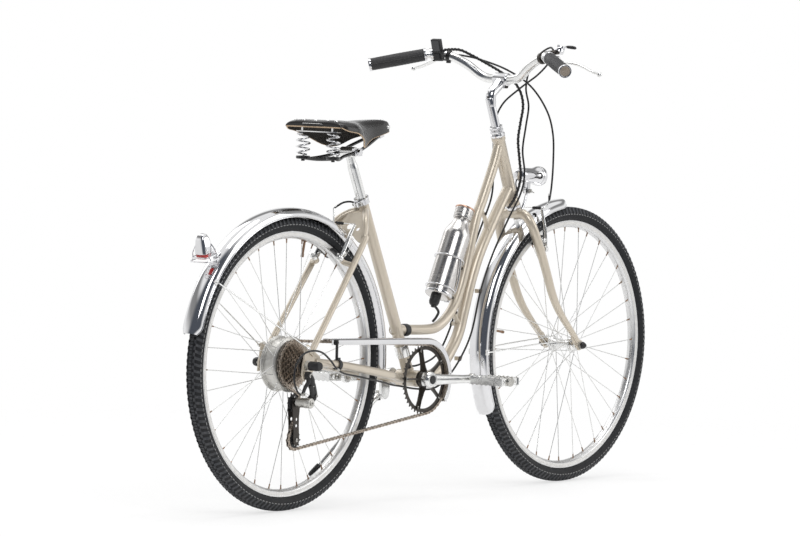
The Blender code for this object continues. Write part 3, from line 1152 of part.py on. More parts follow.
def make_derailleur():
    for name, centre, phase in (("guide_pulley", GUIDE, PHASES[1]), ("tension_pulley", TENSION, PHASES[2])):
        wheel = toothed(PULLEY_TEETH, phase, centre)
        hub = pin(centre, SIDE, 0.0070, -0.0030, 0.0030, 8)
        node(name, cut(fuse([wheel, hub]), [pin(centre, SIDE, 0.0031, -0.02, 0.02, 8)]), "black plastic", centre)
    bolt_at = Vector((-0.005, -0.0718, 0.328))
    knuckle = Vector((0.016, -0.0700, 0.2760))
    hanger = pin(bolt_at, -SIDE, 0.0095, 0, 0.0130, 12)
    upper = sweep([bolt_at - SIDE * 0.0095, Vector((0.000, -0.0830, 0.3080)), Vector((0.012, -0.0800, 0.2860)),
                   knuckle + Vector((0, -0.004, 0))], [0.0080, 0.0090, 0.0095, 0.0095], 8, flat=1.2)
    drum = pin(Vector((GUIDE.x, 0, GUIDE.z)), SIDE, 0.0125, -0.0840, -0.0420, 14)
    inner = sweep([knuckle, Vector((0.006, -0.0720, 0.2640))], 0.0100, 8)
    arm = sweep([bolt_at + Vector((-0.002, -0.006, -0.004)), Vector((-0.0220, -0.0830, 0.3040)),
                 Vector((-0.0350, -0.0850, 0.2840))], [0.0065, 0.0050, 0.0045], 8)
    node("derailleur_body", fuse([hanger, upper, drum, inner, arm]), "black plastic", bolt_at)
    along = (TENSION - GUIDE).normalized()
    span = (TENSION - GUIDE).length
    outline = [(-0.011, -0.009), (0.0, -0.013), (0.011, -0.009), (0.0135, 0.012), (0.0100, span - 0.012),
               (0.0110, span + 0.006), (0.0, span + 0.013), (-0.0110, span + 0.006), (-0.0120, span * 0.5),
               (-0.0135, 0.012)]
    joined = []
    for y in (-0.0375, -0.0225):
        joined.append(plate(outline, 0.0020, basis(GUIDE + SIDE * (y - GUIDE.y), along.cross(SIDE),
                                                       along.cross(SIDE).cross(along))))
    joined.append(pin(GUIDE, SIDE, 0.0025, -0.0075, 0.0075, 8))
    joined.append(pin(TENSION, SIDE, 0.0025, -0.0075, 0.0075, 8))
    node("derailleur_cage", fuse(joined), "dark steel", GUIDE)


def make_stand():
    head = pin(STAND_PIVOT, STAND_AXIS, 0.0095, -0.0080, 0.0080, 12)
    leg = sweep(smooth([STAND_PIVOT, STAND_PIVOT.lerp(STAND_BEND, 0.7), STAND_BEND, STAND_BEND.lerp(STAND_FOOT, 0.3),
                        STAND_FOOT - STAND_DOWN * 0.028], 3), 0.0066, 10)
    foot = sweep([STAND_FOOT - STAND_DOWN * 0.034, STAND_FOOT - STAND_DOWN * 0.006, STAND_FOOT],
                 [0.0082, 0.0095, 0.0070], 10)
    node("kickstand", fuse([head, leg, foot]), "polished alloy", STAND_PIVOT)


# Battery and cables

BOTTLE_LOW, BOTTLE_HIGH = along_frame([(0.5985, 0, 0.4920), (0.7035, 0, 0.7085)])
BOTTLE_UP = (BOTTLE_HIGH - BOTTLE_LOW).normalized()
BOTTLE_FRONT = SIDE.cross(BOTTLE_UP).normalized()
BOTTLE_RADIUS = 0.0345
CAGE_HEIGHTS = (0.0200, 0.1000)
CAGE_INNER = BOTTLE_RADIUS + 0.0014
CAGE_FACE = CAGE_INNER + 0.0055


def make_battery():
    length = (BOTTLE_HIGH - BOTTLE_LOW).length
    low = BOTTLE_LOW
    profile = [(0, 0), (0.0315, 0), (BOTTLE_RADIUS, 0.0030), (BOTTLE_RADIUS, 0.1620), (0.0320, 0.1740),
               (0.0235, 0.1920), (0.0200, 0.2010), (0.0190, 0.2080), (0, 0.2080)]
    node("battery_case", lathe(profile, 20, low, BOTTLE_UP), "brushed steel", low)
    cap = [(0, 0.2084), (0.0215, 0.2084), (0.0235, 0.2130), (0.0235, 0.2290), (0.0245, 0.2330), (0.0235, length - 0.001),
           (0, length)]
    node("battery_cap", lathe(cap, 16, low, BOTTLE_UP), "copper", low + BOTTLE_UP * 0.2084)
    plug = lathe([(0, -0.0004), (0.0130, -0.0004), (0.0130, -0.0200), (0.0100, -0.0280), (0, -0.0290)], 12,
                 low + BOTTLE_FRONT * -0.008, BOTTLE_UP)
    lead = sweep(smooth([low + BOTTLE_UP * -0.026 - BOTTLE_FRONT * 0.008]
                        + along_frame([(0.6010, 0, 0.4540), (0.5930, 0, 0.4400), (0.5795, 0, 0.4298)]), 3), 0.0032, 6)
    node("battery_lead", fuse([plug, lead]), "black plastic")
    reach = CAGE_INNER
    rings = [collar(low, BOTTLE_UP, reach, reach + 0.0034, h - 0.0020, h + 0.0020, 16) for h in CAGE_HEIGHTS]
    for side in (-1, 1):
        wire = []
        for k in range(6):
            a = math.radians(48 + 10 * k)
            wire.append(low + BOTTLE_UP * (0.0200 + 0.0160 * k) + SIDE * side * (reach + 0.0020) * math.sin(a)
                        + BOTTLE_FRONT * (reach + 0.0020) * math.cos(a))
        rings.append(sweep(wire, 0.0018, 5))
    rail = box(low + BOTTLE_UP * 0.060 + BOTTLE_FRONT * (CAGE_FACE - 0.0020), (0.0040, 0.0140, 0.120), BOTTLE_FRONT,
               BOTTLE_UP)
    cage = fuse(rings + [rail])
    node("battery_cage", cage, "bright chrome", low)


HARNESS = [(0.7680, 0.1324, 1.0960), (0.7680, 0.1260, 1.0960), (0.7700, 0.1200, 1.0980), (0.8100, 0.1100, 1.0980),
           (0.8350, 0.0900, 1.0850), (0.8620, 0.0600, 1.0640), (0.8720, 0.0250, 1.0450),
           (0.8800, -0.0060, 1.0250), (0.8950, -0.0200, 0.9960), (0.9050, -0.0220, 0.9600), (0.8960, -0.0220, 0.9200),
           (0.8880, -0.0215, 0.8750), (0.8960, -0.0215, 0.8250), (0.9030, -0.0210, 0.7800), (0.8850, -0.0205, 0.7350),
           (0.8560, -0.0195, 0.7050)]
FRONT_CABLE = [(0.8900, 0.1080, 1.0750), (0.9300, 0.0500, 1.0500), (0.9650, 0.0000, 1.0100), (0.9950, -0.0300, 0.9500),
               (1.0080, -0.0420, 0.8900), (1.0080, -0.0450, 0.8200), (1.0020, -0.0460, 0.7600),
               (0.9940, -0.0460, 0.7240)]
REAR_CABLE = [(0.8900, -0.1080, 1.0700), (0.9050, -0.0650, 1.0400), (0.9000, -0.0150, 1.0050), (0.8830, 0.0250, 0.9650),
              (0.8600, 0.0330, 0.9150), (0.8530, 0.0290, 0.8550), (0.8480, 0.0240, 0.7900), (0.8380, 0.0210, 0.7300),
              (0.7950, 0.0195, 0.6560), (0.7500, 0.0190, 0.5800), (0.7150, 0.0190, 0.5060), (0.6820, 0.0190, 0.4200),
              (0.6300, 0.0200, 0.3480), (0.5600, 0.0220, 0.3230), (0.5050, 0.0220, 0.3280), (0.4560, 0.0210, 0.3900),
              (0.4080, 0.0190, 0.4900), (0.3560, 0.0190, 0.6000), (0.3180, 0.0205, 0.6800), (0.2920, 0.0235, 0.7240),
              (0.2580, 0.0300, 0.7300), (0.2280, 0.0400, 0.7160)]
GEAR_CABLE = [(0.8570, -0.1380, 1.1100), (0.8640, -0.1120, 1.1010), (0.8780, -0.0800, 1.0830), (0.8920, -0.0480, 1.0500),
              (0.8980, -0.0350, 1.0050), (0.9150, -0.0320, 0.9600), (0.9080, -0.0300, 0.9100),
              (0.8980, -0.0290, 0.8500), (0.9080, -0.0295, 0.7900), (0.8930, -0.0290, 0.7400),
              (0.8500, -0.0230, 0.6750), (0.7950, -0.0190, 0.5900), (0.7480, -0.0190, 0.5000),
              (0.7150, -0.0190, 0.4000), (0.6700, -0.0190, 0.3350), (0.6150, -0.0190, 0.2880),
              (0.5600, -0.0190, 0.2660), (0.4900, -0.0200, 0.2687), (0.4200, -0.0250, 0.2790),
              (0.3650, -0.0420, 0.2860), (0.3000, -0.0560, 0.2980), (0.2000, -0.0640, 0.3160),
              (0.1400, -0.0720, 0.3260), (0.1000, -0.0800, 0.3400), (0.0680, -0.0850, 0.3620),
              (0.0300, -0.0900, 0.3820), (-0.0100, -0.0930, 0.3880), (-0.0450, -0.0930, 0.3810),
              (-0.0700, -0.0920, 0.3560), (-0.0740, -0.0900, 0.3220), (-0.0600, -0.0880, 0.2960),
              (-0.0440, -0.0860, 0.2850)]


def cable(name, points, radius):
    node(name, sweep(smooth(points, 2), radius, 5), "black rubber")


def from_lever(side):
    """The first points of a brake cable, straight out of the lever mount's barrel."""
    start, end = (LEVER_BARREL if side < 0 else flip(LEVER_BARREL))
    way = (end - start).normalized()
    return [end + way * 2 * FIT, end + way * 0.008, end + way * 0.017]


def over_arms(boss, up, side):
    """The last points of a brake cable, over the tops of both arms, from this side to the other."""
    points = []
    for share in (1, 0, -1):
        points.append(Vector((boss.x, side * share * (abs(boss.y) - ARM_LEAN), boss.z))
                      + up * (ARM_LENGTH + CABLE_RADIUS + 2 * FIT))
    return points


def make_cables():
    cable("wire_harness", HARNESS, 0.0038)
    cable("front_brake_cable", from_lever(1) + FRONT_CABLE + over_arms(FRONT_BOSS, BRAKE_UP_FRONT, -1), CABLE_RADIUS)
    cable("rear_brake_cable", from_lever(-1) + REAR_CABLE + over_arms(REAR_BOSS, BRAKE_UP_REAR, 1), CABLE_RADIUS)
    out = (SIDE - SHIFTER_AXIS * SIDE.dot(SHIFTER_AXIS)).normalized()
    exit_point = SHIFTER - SHIFTER_AXIS * 0.0056 + out * (SHIFTER_RADIUS + FIT)
    cable("gear_cable", [exit_point, exit_point + out * 0.006] + GEAR_CABLE, CABLE_RADIUS)


clear_scene()
BICYCLE = bpy.data.collections.new("electric_bicycle")
bpy.context.scene.collection.children.link(BICYCLE)
make_wheels()
make_frame()
make_rear_fender()
make_guard()
make_cockpit()
make_fork()
make_brakes()
make_saddle()
make_drive()
make_derailleur()
make_stand()
make_battery()
make_cables()

bpy.context.view_layer.update()
corners = [thing.matrix_world @ vertex.co for thing in BICYCLE.objects for vertex in thing.data.vertices]
MIDDLE = (min(c.x for c in corners) + max(c.x for c in corners)) / 2
for thing in BICYCLE.objects:
    thing.location.x -= MIDDLE
print("slid back by", round(MIDDLE, 6), "links", LINKS, "cage turned", round(math.degrees(CAGE_TURN), 2))
print("height", round(max(c.z for c in corners), 4), "lowest", round(min(c.z for c in corners), 5), "width",
      round(min(c.y for c in corners), 4), round(max(c.y for c in corners), 4))
for label, way in (("steering", STEER_UP), ("seat tube", SEAT_UP), ("stand", STAND_AXIS), ("stand leg", STAND_DOWN),
                   ("front brake", BRAKE_UP_FRONT), ("rear brake", STAY_REAR), ("shifter", SHIFTER_AXIS),
                   ("bottle", BOTTLE_UP), ("tension pulley", TENSION), ("front boss", FRONT_BOSS),
                   ("rear boss", REAR_BOSS)):
    print(label, [round(v, 6) for v in way])
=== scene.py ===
"""The looks of an electric bicycle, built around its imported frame.

Run it with blender --background --python scene.py. Lengths are metres, or millimetres inside mm(), and
+Z is up. Places are given as they were measured, from the middle of the rear axle, and SHIFT moves them
to the frame's own place.
"""

import math
import random

import bmesh
import bpy
from mathutils import Matrix, Vector


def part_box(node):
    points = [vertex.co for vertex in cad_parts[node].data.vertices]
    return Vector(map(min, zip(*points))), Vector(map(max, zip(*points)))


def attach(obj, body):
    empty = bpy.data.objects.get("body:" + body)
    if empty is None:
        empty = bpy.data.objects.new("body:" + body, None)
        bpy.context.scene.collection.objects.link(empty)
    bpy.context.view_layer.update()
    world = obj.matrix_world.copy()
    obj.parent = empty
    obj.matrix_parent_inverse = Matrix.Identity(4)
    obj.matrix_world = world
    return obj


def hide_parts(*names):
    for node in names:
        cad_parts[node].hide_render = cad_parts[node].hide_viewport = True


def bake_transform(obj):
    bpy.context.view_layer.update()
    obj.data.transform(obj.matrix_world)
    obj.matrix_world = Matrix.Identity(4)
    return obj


bl_info = {"name": "Electric bicycle", "version": (1, 0, 0), "blender": (4, 5, 0),
    "location": "3D View > Sidebar > Bicycle",
    "description": "Builds the finished surfaces of an electric bicycle around its packed frame",
    "category": "Object",}

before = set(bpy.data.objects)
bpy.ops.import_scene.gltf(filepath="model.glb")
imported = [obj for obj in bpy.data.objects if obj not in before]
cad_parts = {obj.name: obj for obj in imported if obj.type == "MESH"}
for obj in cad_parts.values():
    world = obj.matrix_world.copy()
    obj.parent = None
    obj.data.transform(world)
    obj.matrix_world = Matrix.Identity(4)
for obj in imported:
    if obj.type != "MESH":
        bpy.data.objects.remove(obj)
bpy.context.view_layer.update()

# Places that several pieces share

SIDE = Vector((0, 1, 0))
UP = Vector((0, 0, 1))
AXLE_LOW, AXLE_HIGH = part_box("rear_axle")
SHIFT = Vector(((AXLE_LOW.x + AXLE_HIGH.x) / 2, 0, 0))
WHEEL_RADIUS = 0.351
WHEELBASE = 1.13
REAR = Vector((0, 0, WHEEL_RADIUS))
FRONT = Vector((WHEELBASE, 0, WHEEL_RADIUS))
BRACKET = Vector((0.49, 0, 0.294))
HEAD_ANGLE = math.radians(68)
SEAT_ANGLE = math.radians(65)
STEER_UP = Vector((-math.cos(HEAD_ANGLE), 0, math.sin(HEAD_ANGLE)))
STEER_FRONT = Vector((math.sin(HEAD_ANGLE), 0, math.cos(HEAD_ANGLE)))
STEER_POINT = Vector((0.868, 0, 0.795))
SEAT_UP = Vector((-math.cos(SEAT_ANGLE), 0, math.sin(SEAT_ANGLE)))
SEAT_FRONT = Vector((math.sin(SEAT_ANGLE), 0, math.cos(SEAT_ANGLE)))


def steer(height, front=0.0, side=0.0):
    """A point beside the steering axis where the axis is at this height."""
    return STEER_POINT + STEER_UP * ((height - STEER_POINT.z)
        / STEER_UP.z) + STEER_FRONT * front + SIDE * side


def seat(height, front=0.0, side=0.0):
    """A point beside the seat tube's axis where the axis is at this height."""
    return BRACKET + SEAT_UP * ((height - BRACKET.z) / SEAT_UP.z) + SEAT_FRONT * front + SIDE * side


def flip(points):
    """The same points on the other side of the bicycle."""
    return [Vector((p[0], -p[1], p[2])) for p in points]


def polar(centre, radius, degrees, y=0.0):
    """A point around a wheel-like centre, the angle counted from forward towards up."""
    turn = math.radians(degrees)
    return Vector((centre[0] + radius * math.cos(turn), y, centre[2] + radius * math.sin(turn)))


# Mesh tools

def mm(sizes):
    """Lengths given in millimetres, or lists of them, in metres."""
    return [mm(size) for size in sizes] if isinstance(sizes, (list, tuple)) else sizes / 1000


def spline(points, parts=8):
    """A smooth curve through the points, with this many pieces to a span."""
    points = [Vector(p) for p in points]
    ends = [points[0] * 2 - points[1]] + points + [points[-1] * 2 - points[-2]]
    out = []
    for a, b, c, d in zip(ends, ends[1:], ends[2:], ends[3:]):
        for k in range(parts):
            t = k / parts
            out.append(0.5 * (2 * b + (c - a) * t + (2 * a - 5 * b + 4 * c - d) * t * t
                + (3 * b - a - 3 * c + d) * t ** 3))
    return out + [points[-1]]


def along_list(values, count):
    """A list stretched to this many entries by straight steps between its own."""
    out = []
    for i in range(count):
        place = i * (len(values) - 1) / max(count - 1, 1)
        low = min(int(place), len(values) - 2)
        out.append(values[low] + (values[low + 1] - values[low]) * (place - low))
    return out


def basis(origin, across, along):
    """The place whose first axis lies across and whose third lies along."""
    third = Vector(along).normalized()
    second = third.cross(Vector(across)).normalized()
    return Matrix.Translation(Vector(origin)) @ Matrix((second.cross(third), second,
        third)).transposed().to_4x4()


def carried(path):
    """A frame across the path at each point, carried along it without twist."""
    ways = []
    for i in range(len(path)):
        ways.append((path[min(i + 1, len(path) - 1)] - path[max(i - 1, 0)]).normalized())
    first = SIDE if abs(ways[0].dot(SIDE)) < 0.9 else UP
    out = []
    for way in ways:
        first = (first - way * first.dot(way)).normalized()
        out.append((first, way.cross(first)))
    return out


def skin(bm, rings, closed=False, caps=True):
    """Faces between rings of equally many points, and over both ends."""
    pairs = list(zip(rings, rings[1:])) + ([(rings[-1], rings[0])] if closed else [])
    for one, two in pairs:
        for i in range(len(one)):
            j = (i + 1) % len(one)
            bm.faces.new((one[i], one[j], two[j], two[i]))
    if caps and not closed:
        bm.faces.new(list(reversed(rings[0])))
        bm.faces.new(rings[-1])


def tube(bm, path, radius, sides=16, flat=1.0, smooth=0, caps=True):
    """A round bar along the path. radius and flat may be lists; smooth gives the curve's pieces to a span."""
    path = spline(path, smooth) if smooth else [Vector(p) for p in path]
    wide = along_list(radius, len(path)) if isinstance(radius, (list, tuple)) else [radius] * len(path)
    thin = along_list(flat, len(path)) if isinstance(flat, (list, tuple)) else [flat] * len(path)
    rings = []
    for point, r, f, (first, second) in zip(path, wide, thin, carried(path)):
        ring = []
        for i in range(sides):
            a = 2 * math.pi * (i + 0.5) / sides
            ring.append(bm.verts.new(point + first * (r * math.cos(a)) + second * (r * f * math.sin(a))))
        rings.append(ring)
    skin(bm, rings, caps=caps)


def turned(bm, profile, origin, along, steps=32, ring=False):
    """A lathe-turned form: the profile gives radius and distance along the axis.

    Its ends are closed flat. With ring, its two ends are joined round a hole instead.
    """
    profile = list(profile)
    if not ring:
        if profile[0][0] > 0:
            profile.insert(0, (0, profile[0][1]))
        if profile[-1][0] > 0:
            profile.append((0, profile[-1][1]))
    across = SIDE if abs(Vector(along).normalized().dot(SIDE)) < 0.9 else Vector((1, 0, 0))
    place = basis(origin, across, along)
    loops = []
    for r, h in profile:
        if r < 1e-7:
            loops.append([bm.verts.new(place @ Vector((0, 0, h)))])
            continue
        loop = []
        for i in range(steps):
            a = 2 * math.pi * i / steps
            loop.append(bm.verts.new(place @ Vector((r * math.cos(a), r * math.sin(a), h))))
        loops.append(loop)
    for one, two in list(zip(loops, loops[1:])) + ([(loops[-1], loops[0])] if ring else []):
        for i in range(steps):
            j = (i + 1) % steps
            if len(one) == 1 and len(two) > 1:
                bm.faces.new((one[0], two[j], two[i]))
            elif len(two) == 1 and len(one) > 1:
                bm.faces.new((one[i], one[j], two[0]))
            elif len(one) > 1:
                bm.faces.new((one[i], one[j], two[j], two[i]))


def rod(bm, start, end, radius, sides=12):
    """A straight round bar with closed ends."""
    tube(bm, [start, end], radius, sides)


def disc(bm, origin, along, radius, low, high, steps=28):
    """A short cylinder on an axis, from one distance along it to another."""
    turned(bm, [(radius, low), (radius, high)], origin, along, steps)


def collar(bm, origin, along, inner, outer, low, high, steps=32):
    """A plain ring round an axis."""
    turned(bm, [(inner, low), (outer, low), (outer, high), (inner, high)], origin, along, steps, ring=True)


def block(bm, centre, size, across=(1, 0, 0), along=(0, 0, 1)):
    """A small block of these three sizes, turned to the two directions."""
    place = basis(centre, across, along)
    bmesh.ops.create_cube(bm, size=1.0, matrix=place @ Matrix.Diagonal((size[0], size[1], size[2], 1)))


def sheet_plate(bm, outline, thickness, place, holes=()):
    """A flat plate cut to the outline, with round holes given as x, y and radius."""
    loops = [[Vector((x, y, 0)) for x, y in outline]]
    for x, y, r in holes:
        loops.append([Vector((x + r * math.cos(math.pi * k / 8), y + r * math.sin(math.pi * k / 8), 0))
            for k in range(16)])
    levels = []
    for level in (-thickness / 2, thickness / 2):
        drawn = [[bm.verts.new(place @ (p + UP * level)) for p in loop] for loop in loops]
        edges = [bm.edges.new((loop[i - 1], loop[i])) for loop in drawn for i in range(len(loop))]
        bmesh.ops.triangle_fill(bm, use_beauty=True, use_dissolve=False, edges=edges)
        levels.append(drawn)
    for low, high in zip(*levels):
        for i in range(len(low)):
            bm.faces.new((low[i - 1], low[i], high[i], high[i - 1]))


def upright(y):
    """The place of a plate that stands upright at this distance to the side, drawn as x and z."""
    return Matrix(((1, 0, 0, 0), (0, 0, 1, y), (0, 1, 0, 0), (0, 0, 0, 1)))


def section(bm, path, outline, side=SIDE, closed=False):
    """A rolled form: the closed outline, as across and out, carried along the path."""
    rings = []
    for i, point in enumerate(path):
        if closed:
            before, after = path[i - 1], path[(i + 1) % len(path)]
        else:
            before, after = path[max(i - 1, 0)], path[min(i + 1, len(path) - 1)]
        out = (after - before).normalized().cross(side).normalized()
        rings.append([bm.verts.new(point + side * a + out * b) for a, b in outline])
    skin(bm, rings, closed=closed)


def hexagon(bm, origin, along, radius, low, high):
    """A hexagonal nut or bolt head with its corners turned off."""
    turned(bm, [(radius, low), (radius, high - radius * 0.12), (radius * 0.86, high)], origin, along, 6)


def socket_bolt(bm, origin, along, radius, height):
    """A round bolt head with the hollow of its key."""
    turned(bm, [(radius, 0), (radius, height * 0.8), (radius * 0.85, height), (radius * 0.5, height),
        (radius * 0.45, height * 0.45)], origin, along, 18)


def piece(name, bm, maker, body=None, nodes=(), bevel=0.0004, angle=38):
    """The finished object of a mesh: moved to the frame's place, shaded, edged, and set on its body."""
    bmesh.ops.recalc_face_normals(bm, faces=bm.faces)
    bm.transform(Matrix.Translation(SHIFT))
    mesh = bpy.data.meshes.new(name)
    bm.to_mesh(mesh)
    bm.free()
    material = kept(maker)
    mesh.materials.append(material)
    mesh.shade_smooth()
    mesh.set_sharp_from_angle(angle=math.radians(angle))
    thing = bpy.data.objects.new(name, mesh)
    bpy.context.scene.collection.objects.link(thing)
    if bevel:
        edge = thing.modifiers.new("edges", "BEVEL")
        edge.width = bevel
        edge.segments = 2
        edge.limit_method = "ANGLE"
        edge.angle_limit = math.radians(angle)
        edge.harden_normals = True
    if body:
        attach(thing, body)
    if nodes:
        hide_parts(*nodes)
    return thing


# Shader effects

def add_node(tree, kind, inputs=(), **settings):
    """A shader node with its settings, its inputs given as values or as the sockets that feed them."""
    node = tree.nodes.new("ShaderNode" + kind)
    for label, value in settings.items():
        setattr(node, label, value)
    for label, value in dict(inputs).items():
        if isinstance(value, bpy.types.NodeSocket):
            tree.links.new(value, node.inputs[label])
        else:
            node.inputs[label].default_value = value
    return node


def effect(name, inputs, outputs):
    """An empty shader node group with its named sockets: what it is given and what it puts out."""
    group = bpy.data.node_groups.new(name, "ShaderNodeTree")
    for label, (kind, value) in inputs.items():
        group.interface.new_socket(label, in_out="INPUT", socket_type="NodeSocket"
            + kind).default_value = value
    for label in outputs:
        group.interface.new_socket(label, in_out="OUTPUT", socket_type="NodeSocketFloat")
    return group, group.nodes.new("NodeGroupInput").outputs, group.nodes.new("NodeGroupOutput").inputs


def ramp(tree, source, low, high, out_low=0.0, out_high=1.0):
    """A value taken from one range to another and held inside it."""
    limits = {"Value": source, "From Min": low, "From Max": high, "To Min": out_low, "To Max": out_high}
    return add_node(tree, "MapRange", limits).outputs["Result"]


def product(tree, one, two):
    """Two values multiplied."""
    return add_node(tree, "Math", {0: one, 1: two}, operation="MULTIPLY").outputs[0]


def own_place(tree):
    """The point of the surface in its object's own lengths."""
    return add_node(tree, "TexCoord").outputs["Object"]


def cloud_effect():
    """Soft uneven patches, which Stretch draws out into brushed lines."""
    group, given, put = effect("cloud", {"Scale": ("Float", 20.0), "Stretch": ("Vector", (1, 1, 1)),
        "Detail": ("Float", 4.0)}, ["Mask"])
    drawn = add_node(group, "Mapping", {"Vector": own_place(group), "Scale": given["Stretch"]})
    noise = add_node(group, "TexNoise", {"Vector": drawn.outputs["Vector"], "Scale": given["Scale"],
        "Detail": given["Detail"]})
    group.links.new(ramp(group, noise.outputs["Fac"], 0.32, 0.68), put["Mask"])
    return group


def wear_and_shade_effect():
    """Where a form is worn on its edges, and its hollows, which the finishes darken as painted shade."""
    group, given, put = effect("worn edges and hollow shade", {"Scale": ("Float", 120.0)}, ["Edge", "Hollow shade"])
    bend = add_node(group, "NewGeometry").outputs["Pointiness"]
    noise = add_node(group, "TexNoise", {"Vector": own_place(group), "Scale": given["Scale"]})
    patchy = ramp(group, noise.outputs["Fac"], 0.4, 0.65)
    group.links.new(product(group, ramp(group, bend, 0.53, 0.62), patchy), put["Edge"])
    # The hollow mask marks concave places, where painted shade darkens the colour.
    group.links.new(ramp(group, bend, 0.49, 0.42), put["Hollow shade"])
    return group


def leather_effect():
    """The pebbled grain of leather: raised cells with fine creases between them."""
    group, given, put = effect("leather grain", {"Scale": ("Float", 700.0)}, ["Height"])
    cells = add_node(group, "TexVoronoi", {"Vector": own_place(group), "Scale": given["Scale"]},
        feature="DISTANCE_TO_EDGE").outputs["Distance"]
    group.links.new(ramp(group, cells, 0.0, 0.25), put["Height"])
    return group


def dust_effect():
    """Thin road dust, thickest low down on the bicycle."""
    group, given, put = effect("road dust", {"Top": ("Float", 0.45)}, ["Mask"])
    noise = add_node(group, "TexNoise", {"Vector": own_place(group), "Scale": 60.0, "Detail": 8.0})
    height = add_node(group, "SeparateXYZ", {"Vector": own_place(group)}).outputs["Z"]
    low = ramp(group, height, 0.0, given["Top"], 1.0, 0.0)
    group.links.new(product(group, ramp(group, noise.outputs["Fac"], 0.38, 0.75), low), put["Mask"])
    return group


EFFECTS = {}
EFFECT_MAKERS = {"cloud": cloud_effect, "edges": wear_and_shade_effect, "leather": leather_effect, "dust": dust_effect}


def use_effect(tree, name, **values):
    """The outputs of one effect in a material, with its own values."""
    if name not in EFFECTS:
        EFFECTS[name] = EFFECT_MAKERS[name]()
    node = tree.nodes.new("ShaderNodeGroup")
    node.node_tree = EFFECTS[name]
    for label, value in values.items():
        node.inputs[label.capitalize()].default_value = value
    return node.outputs


def tint(tree, below, mask, colour, share):
    """The colour below, changed towards another where the mask is high."""
    below = below if isinstance(below, bpy.types.NodeSocket) else (*below, 1)
    mixed = {"Factor": product(tree, mask, share), "A": below, "B": (*colour, 1)}
    return add_node(tree, "Mix", mixed, data_type="RGBA").outputs["Result"]


FINISHES = {}


def finish(slot, colour, metallic, roughness, second, share=0.5, patches=18, spread=0.06, grain=900,
        pebbles=0, depth=0.02, stretch=(1, 1, 1), worn=None, wear=0.6, hollow_shade=None, hollow_shade_share=0.6, dust=0.0,
        coat=0.0, coat_roughness=0.08, specular=0.5):
    """A surface from its colour, patches, grain or pebbles, worn edges, painted shade in its hollows, and
    dust.

    depth is that of the grain, in millimetres.
    """
    material = bpy.data.materials.new(slot)
    material["slot"] = slot
    material.use_nodes = True
    tree = material.node_tree
    patchy = use_effect(tree, "cloud", scale=patches, stretch=stretch, detail=5.0)["Mask"]
    shown = tint(tree, colour, patchy, second, share)
    edges = use_effect(tree, "edges", scale=140.0)
    # Painted shade: the colour is darkened in the form's hollows.
    if hollow_shade:
        shown = tint(tree, shown, edges["Hollow shade"], hollow_shade, hollow_shade_share)
    if worn:
        shown = tint(tree, shown, edges["Edge"], worn, wear)
    if dust:
        shown = tint(tree, shown, use_effect(tree, "dust", top=0.42)["Mask"], (0.36, 0.32, 0.27), dust)
    rough = ramp(tree, patchy, 0.0, 1.0, max(roughness - spread, 0.02), min(roughness + spread, 1.0))
    if pebbles:
        height = use_effect(tree, "leather", scale=pebbles)["Height"]
    else:
        height = use_effect(tree, "cloud", scale=grain, stretch=stretch, detail=3.0)["Mask"]
    bump = add_node(tree, "Bump", {"Distance": depth / 1000, "Strength": 0.6, "Height": height})
    values = {"Metallic": metallic, "Coat Weight": coat, "Coat Roughness": coat_roughness,
        "Specular IOR Level": specular}
    for label, value in values.items():
        tree.nodes["Principled BSDF"].inputs[label].default_value = value
    for label, socket in {"Base Color": shown, "Roughness": rough, "Normal": bump.outputs["Normal"]}.items():
        tree.links.new(socket, tree.nodes["Principled BSDF"].inputs[label])
    return material


def kept(maker):
    """The finish that this function makes, made once and called by its name."""
    if maker.__name__ not in FINISHES:
        made = maker(bpy.context.scene.bicycle_colours)
        made.name = maker.__name__.replace("_", " ")
        FINISHES[maker.__name__] = made
    return FINISHES[maker.__name__]


def champagne_paint(colours):
    """Metallic paint under a clear coat, with fine flakes."""
    return finish("champagne_paint", colours.paint, 0.45, 0.32, tuple(c * 0.94 for c in colours.paint),
        patches=5, spread=0.03, depth=0.004, worn=(0.7, 0.68, 0.64), wear=0.25, hollow_shade=(0.16, 0.14, 0.12),
        hollow_shade_share=0.4, dust=0.05, coat=0.7, coat_roughness=0.06, share=0.6, grain=2600)


def bright_chrome(colours):
    """Polished plated steel with a few soft patches of film."""
    return finish("bright_chrome", colours.chrome, 1.0, 0.075, (0.62, 0.62, 0.64), share=0.3, patches=9,
        spread=0.02, depth=0.0015, hollow_shade=(0.12, 0.1, 0.09), hollow_shade_share=0.5, dust=0.12, grain=300)


def polished_alloy(colours):
    """Bright buffed aluminium."""
    return finish("polished_alloy", colours.alloy, 1.0, 0.22, (0.7, 0.7, 0.69), share=0.4, patches=24,
        spread=0.04, depth=0.0015, hollow_shade=(0.1, 0.09, 0.08), dust=0.12, grain=700)


def drum_alloy(colours):
    """The cast, scuffed aluminium of the motor hub."""
    return finish("polished_alloy", (0.66, 0.65, 0.62), 0.9, 0.42, (0.45, 0.44, 0.41), patches=55,
        spread=0.1, depth=0.04, worn=(0.8, 0.79, 0.77), wear=0.5, hollow_shade=(0.12, 0.1, 0.08), hollow_shade_share=0.7,
        dust=0.2, grain=1800)


def rim_alloy(colours):
    """Anodised aluminium, brushed round the rim."""
    return finish("polished_alloy", (0.74, 0.74, 0.74), 0.9, 0.3, (0.6, 0.6, 0.6), share=0.4, patches=24,
        spread=0.07, depth=0.002, hollow_shade=(0.14, 0.12, 0.1), hollow_shade_share=0.5, dust=0.15)


def brake_track(colours):
    """The paler band that the pads rub dull."""
    return finish("polished_alloy", (0.78, 0.77, 0.75), 0.7, 0.38, (0.58, 0.57, 0.55), patches=70, grain=2400)


def spoke_steel(colours):
    """Drawn stainless wire."""
    return finish("axle_steel", (0.76, 0.76, 0.75), 0.85, 0.28, (0.6, 0.6, 0.59), patches=60, depth=0.006,
        dust=0.15, grain=1200)


